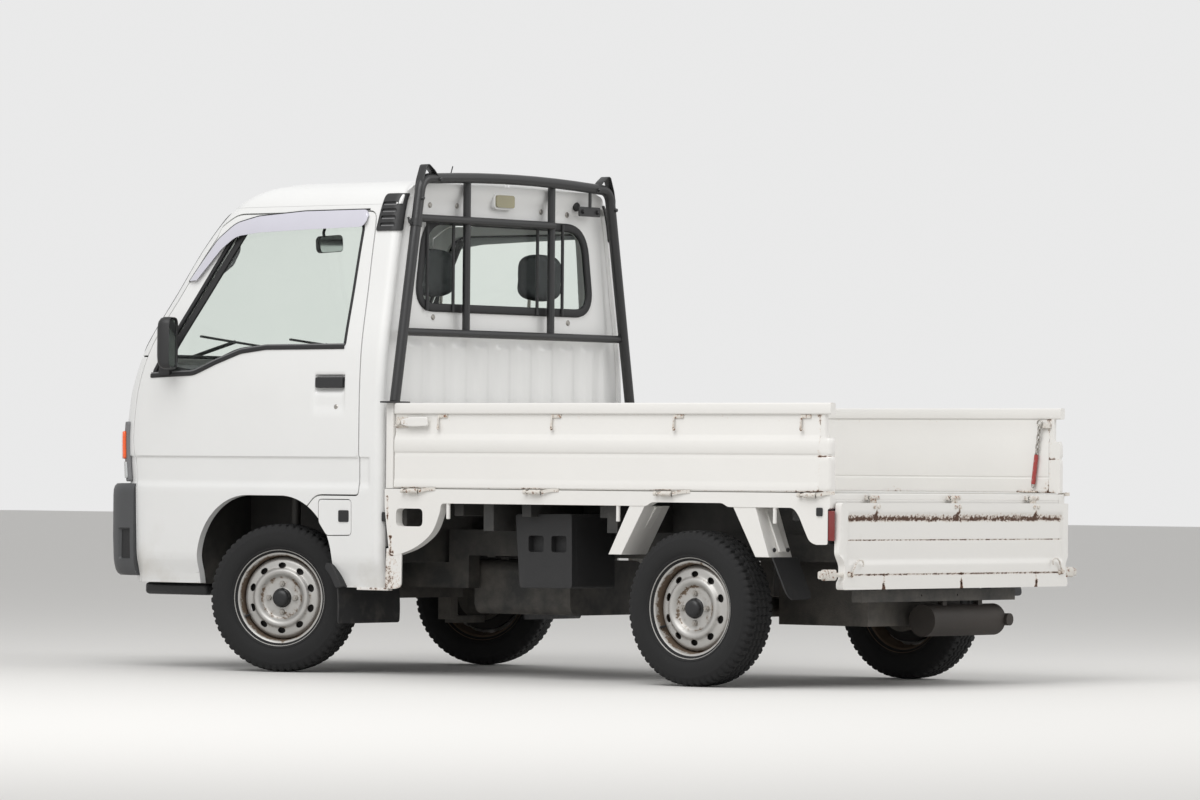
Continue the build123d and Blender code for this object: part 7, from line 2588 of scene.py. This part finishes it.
sill_lugs = hinge_lugs(side_hinge_places, 0, (0.689, 0.638), (0.702, 0.652), (0.702, 0.645))
add_pair("sill_lugs", sill_lugs, rusty_steel, rounding=0.0008, wear=0.36)
pegs = [rod((x, 0.681, 0.606), (x, 0.681, 0.549), 0.0072, 16, 0.002) for x in peg_places]
add_pair("rope_pegs", joined(*pegs), bed_finish, wear=lambda p: 0.1 + 0.2 * near(p[:, 2], 0.549, 0.008))
tab_ring = rounded_ring(
    (
        (0.216, 0.445, 0.003), (0.217, 0.312, 0.03), (0.248, 0.303, 0.016), (0.29, 0.306, 0.012),
        (0.285, 0.445, 0.003),
    )
)
flange = joined(extruded(tab_ring, [0.6825, 0.689], 1), block((0.296, 0.64, 0.297), (0.44, 0.664, 0.306)))
add_pair(
    "corner_tab", flange, bed_finish, sharp=30, rounding=0.0012,
    wear=lambda p: 0.27 + 0.16 * near(p[:, 2], 0.306, 0.02) + 0.16 * near(p[:, 0], 0.286, 0.01),
)
buffers = joined(
    extruded(soft_box(0.024, 0.033, 0.005, 3) + (0.3045, 0.5535), [0.64, 0.676, 0.679], 1),
    extruded(soft_box(0.024, 0.028, 0.004, 3) + (-1.5785, 0.5905), [0.6885, 0.6935, 0.695], 1),
)
add_pair("bed_buffers", buffers, black_rubber, rounding=0.001)
under_deck = joined(
    block((bed_rear_x, -0.657, 0.63), (bed_front_x, 0.657, 0.6515)),
    block((bed_rear_x, -0.6555, sill_low_z), (-1.5845, 0.6555, 0.631)),
)
add_piece(
    "deck_plate", under_deck, bed_finish, rounding=0.002,
    wear=lambda p: 0.08 + 0.2 * near(p[:, 2], sill_low_z, 0.006),
)
rear_lugs = hinge_lugs(tail_hinge_places, 1, (-1.64, 0.631), (-1.618, 0.645), (-1.6395, 0.638))
add_piece("rear_lugs", rear_lugs, rusty_steel, rounding=0.0008, wear=0.36)

# Deep channel braces carry the sill beside the wheels, and black joists carry the deck on the frame.
# columns: top front, top rear, bottom rear and bottom front of the outer flange, depth of the web
brace_rows = (
    ((-0.784, 0.603), (-0.848, 0.603), (-0.7505, 0.438), (-0.695, 0.438), 0.548),
    ((-1.2205, 0.603), (-1.3125, 0.603), (-1.371, 0.438), (-1.314, 0.438), 0.56),
)
brace_shapes, hole_shapes = [], []
for top_front, top_rear, low_rear, low_front, inner_y in brace_rows:
    web = [top_rear, low_rear, (low_rear[0] + 0.006, low_rear[1]), (top_rear[0] + 0.006, top_rear[1])]
    rib = [
        (top_rear[0] - 0.005, top_rear[1] - 0.004), (low_rear[0] - 0.005, low_rear[1] + 0.02),
        (low_rear[0] + 0.002, low_rear[1] + 0.016), (top_rear[0] + 0.002, top_rear[1]),
    ]
    middle_y = (inner_y + 0.688) / 2
    brace_shapes += [
        extruded([top_front, top_rear, low_rear, low_front], [0.682, 0.688], 1),
        extruded(web, [inner_y, 0.6835], 1),
        extruded(rib, [middle_y + step for step in (-0.026, -0.02, 0.004, 0.01)], 1),
    ]
    for y in (middle_y - 0.042, middle_y + 0.034):
        spot = (low_rear[0] - 0.0005, y, low_rear[1] + 0.024)
        hole_shapes.append(knob([(0.006, -0.002), (0.0075, 0.0), (0.0075, 0.003)], spot, (1, 0, 0), 16))
add_piece(
    "brace_channels", both_sides(*brace_shapes), bed_finish, node="arch_braces", sharp=30, rounding=0.0012,
    wear=lambda p: 0.12 + 0.14 * near(p[:, 2], 0.44, 0.012),
)
add_piece("brace_bolts", both_sides(*hole_shapes), black_rubber)
joists = [block((-1.57, y, 0.505), (0.03, y + 0.045, 0.631)) for y in (0.305, -0.35)]
joists += [block((x - 0.02, -0.64, 0.56), (x + 0.02, 0.64, 0.631)) for x in (-1.45, -0.64, -0.3, 0.0)]
joists.append(block((0.296, -0.63, 0.395), (0.308, 0.63, 0.64)))
add_piece("bed_joists", joined(*joists), underbody_paint, rounding=0.002)

# The tail lamps wrap round the corner beside the tailgate: red over the brake light, orange below.
lamp_red = make_finish(
    "lamp_red", (0.2, 0.007, 0.006), 0.14, coat=1.0, mottle=0.05,
    dust=(road_dust, 20.0, 0.25, 0.4, 0.9), grain=(260.0, 0.0004),
)
backing = block((-1.612, 0.54, 0.482), (-1.6025, 0.6895, 0.603))
add_pair("tail_lamp_back", backing, black_plastic, slot="lamp_red", left_node="tail_lamps", rounding=0.002)
red_plan = [
    (-1.611, 0.597), (-1.623, 0.601), (-1.6235, 0.6735), (-1.63, 0.675), (-1.633, 0.68), (-1.631, 0.686),
    (-1.611, 0.6885),
]
orange_plan = [(-1.611, 0.546), (-1.622, 0.552), (-1.623, 0.5955), (-1.611, 0.596)]
add_pair(
    "tail_lamp_red", extruded(red_plan, [0.496, 0.4985, 0.504, 0.588, 0.5925, 0.5945], 2), lamp_red,
    sharp=50, rounding=0.0015,
)
add_pair(
    "tail_lamp_orange", extruded(orange_plan, [0.496, 0.4985, 0.5925, 0.5945], 2), lamp_orange, sharp=50,
    rounding=0.0015,
)

# Black rubber flaps hang before and behind the rear wheels. The step box has two round-cornered recesses.
flap_black = make_finish(
    "flap_black", (0.02, 0.02, 0.021), 0.62, mottle=0.2,
    dust=(road_dust, 16.0, 0.5, 0.05, 0.4), grain=(260.0, 0.0005),
)


def hung_sheet(corners, thickness, forward):
    """A rubber sheet from an outline of (left, height, radius). The function gives how far forward it
    hangs."""
    flat, faces = filled(
        dense_ring(rounded_ring(corners), 0.015), [],
        net_over(np.arange(0.34, 0.7, 0.03), np.arange(0.17, 0.45, 0.015)),
    )
    lean = forward(flat[:, 0], flat[:, 1])
    return walled(flat, faces, laid(lean - thickness / 2, 0), laid(lean + thickness / 2, 0))


front_flap_ring = (
    (0.352, 0.178, 0.012), (0.684, 0.178, 0.012), (0.684, 0.303, 0.006), (0.622, 0.306, 0.006),
    (0.62, 0.395, 0.004), (0.368, 0.395, 0.004), (0.366, 0.306, 0.004), (0.352, 0.303, 0.006),
)
rear_flap_ring = ((0.556, 0.3, 0.026), (0.688, 0.298, 0.034), (0.688, 0.438, 0.003), (0.55, 0.438, 0.003))
add_pair(
    "front_flap",
    hung_sheet(front_flap_ring, 0.006, lambda y, z: 0.5105 - 0.004 * np.sin((0.3 - z) * 22) * (z < 0.303)),
    flap_black, left_node="mudflaps", sharp=50,
)
add_pair(
    "rear_flap",
    hung_sheet(
        rear_flap_ring, 0.006, lambda y, z: -1.3845 - 0.49 * (0.438 - z) + 0.006 * np.sin((y - 0.55) * 22),
    ),
    flap_black, sharp=50,
)
guard_ring = rounded_ring(
    (
        (0.556, 0.391, 0.006), (0.531, 0.385, 0.01), (0.506, 0.35, 0.02), (0.484, 0.306, 0.006),
        (0.512, 0.303, 0.006), (0.536, 0.345, 0.02), (0.562, 0.372, 0.006),
    )
)
add_pair("arch_flap", extruded(guard_ring, [0.64, 0.692, 0.6945], 1), flap_black, rounding=0.0015)
box_ring = dense_ring(
    rounded_ring(
        ((-0.4695, 0.318, 0.012), (-0.2405, 0.316, 0.012), (-0.2195, 0.568, 0.012), (-0.466, 0.572, 0.012))
    ),
    0.02,
)
box_holes = [rounded_ring(rect(x - 0.033, 0.44, x + 0.033, 0.496, 0.01)) for x in (-0.411, -0.311)]
box_flat, box_faces = filled(
    box_ring, box_holes, net_over(np.arange(-0.46, -0.22, 0.03), np.arange(0.33, 0.56, 0.03)),
)
box_front = walled(box_flat, box_faces[:, ::-1], laid(0.6, 1), laid(0.572, 1))
add_piece(
    "step_box",
    joined(
        box_front, extruded(box_ring[::-1], [0.362, 0.5722], 1),
        block((-0.44, 0.588, 0.318), (-0.256, 0.601, 0.324)),
    ),
    flap_black, slot="guard_black", node="under_bed_box", sharp=30, rounding=0.002,
)
bracket_ring = rounded_ring(
    ((0.025, 0.572, 0.006), (-0.225, 0.572, 0.003), (-0.225, 0.52, 0.003), (-0.056, 0.519, 0.04))
)
add_piece(
    "box_bracket",
    joined(extruded(bracket_ring, [0.398, 0.402], 1), block((-0.225, 0.4, 0.566), (0.01, 0.44, 0.571))),
    bed_finish, rounding=0.001, wear=0.14,
)

# Cast brake drums fill the wheels behind their vents, and turn with them.
drum_profile = (
    (0.0, 0.018), (0.096, 0.018), (0.128, 0.01), (0.132, 0.002), (0.132, -0.016), (0.126, -0.02),
    (0.0, -0.02),
)
drum_shape = turned(drum_profile, (0, 0, 0), (0, 0, 1), 48)
drum_iron = make_finish(
    "drum_iron", (0.03, 0.027, 0.025), 0.72, metal=0.3, mottle=0.3,
    spots=(rust_brown, 60.0, 0.34), grain=(200.0, 0.0006),
)
add_on_wheels("drum", drum_shape, drum_iron)
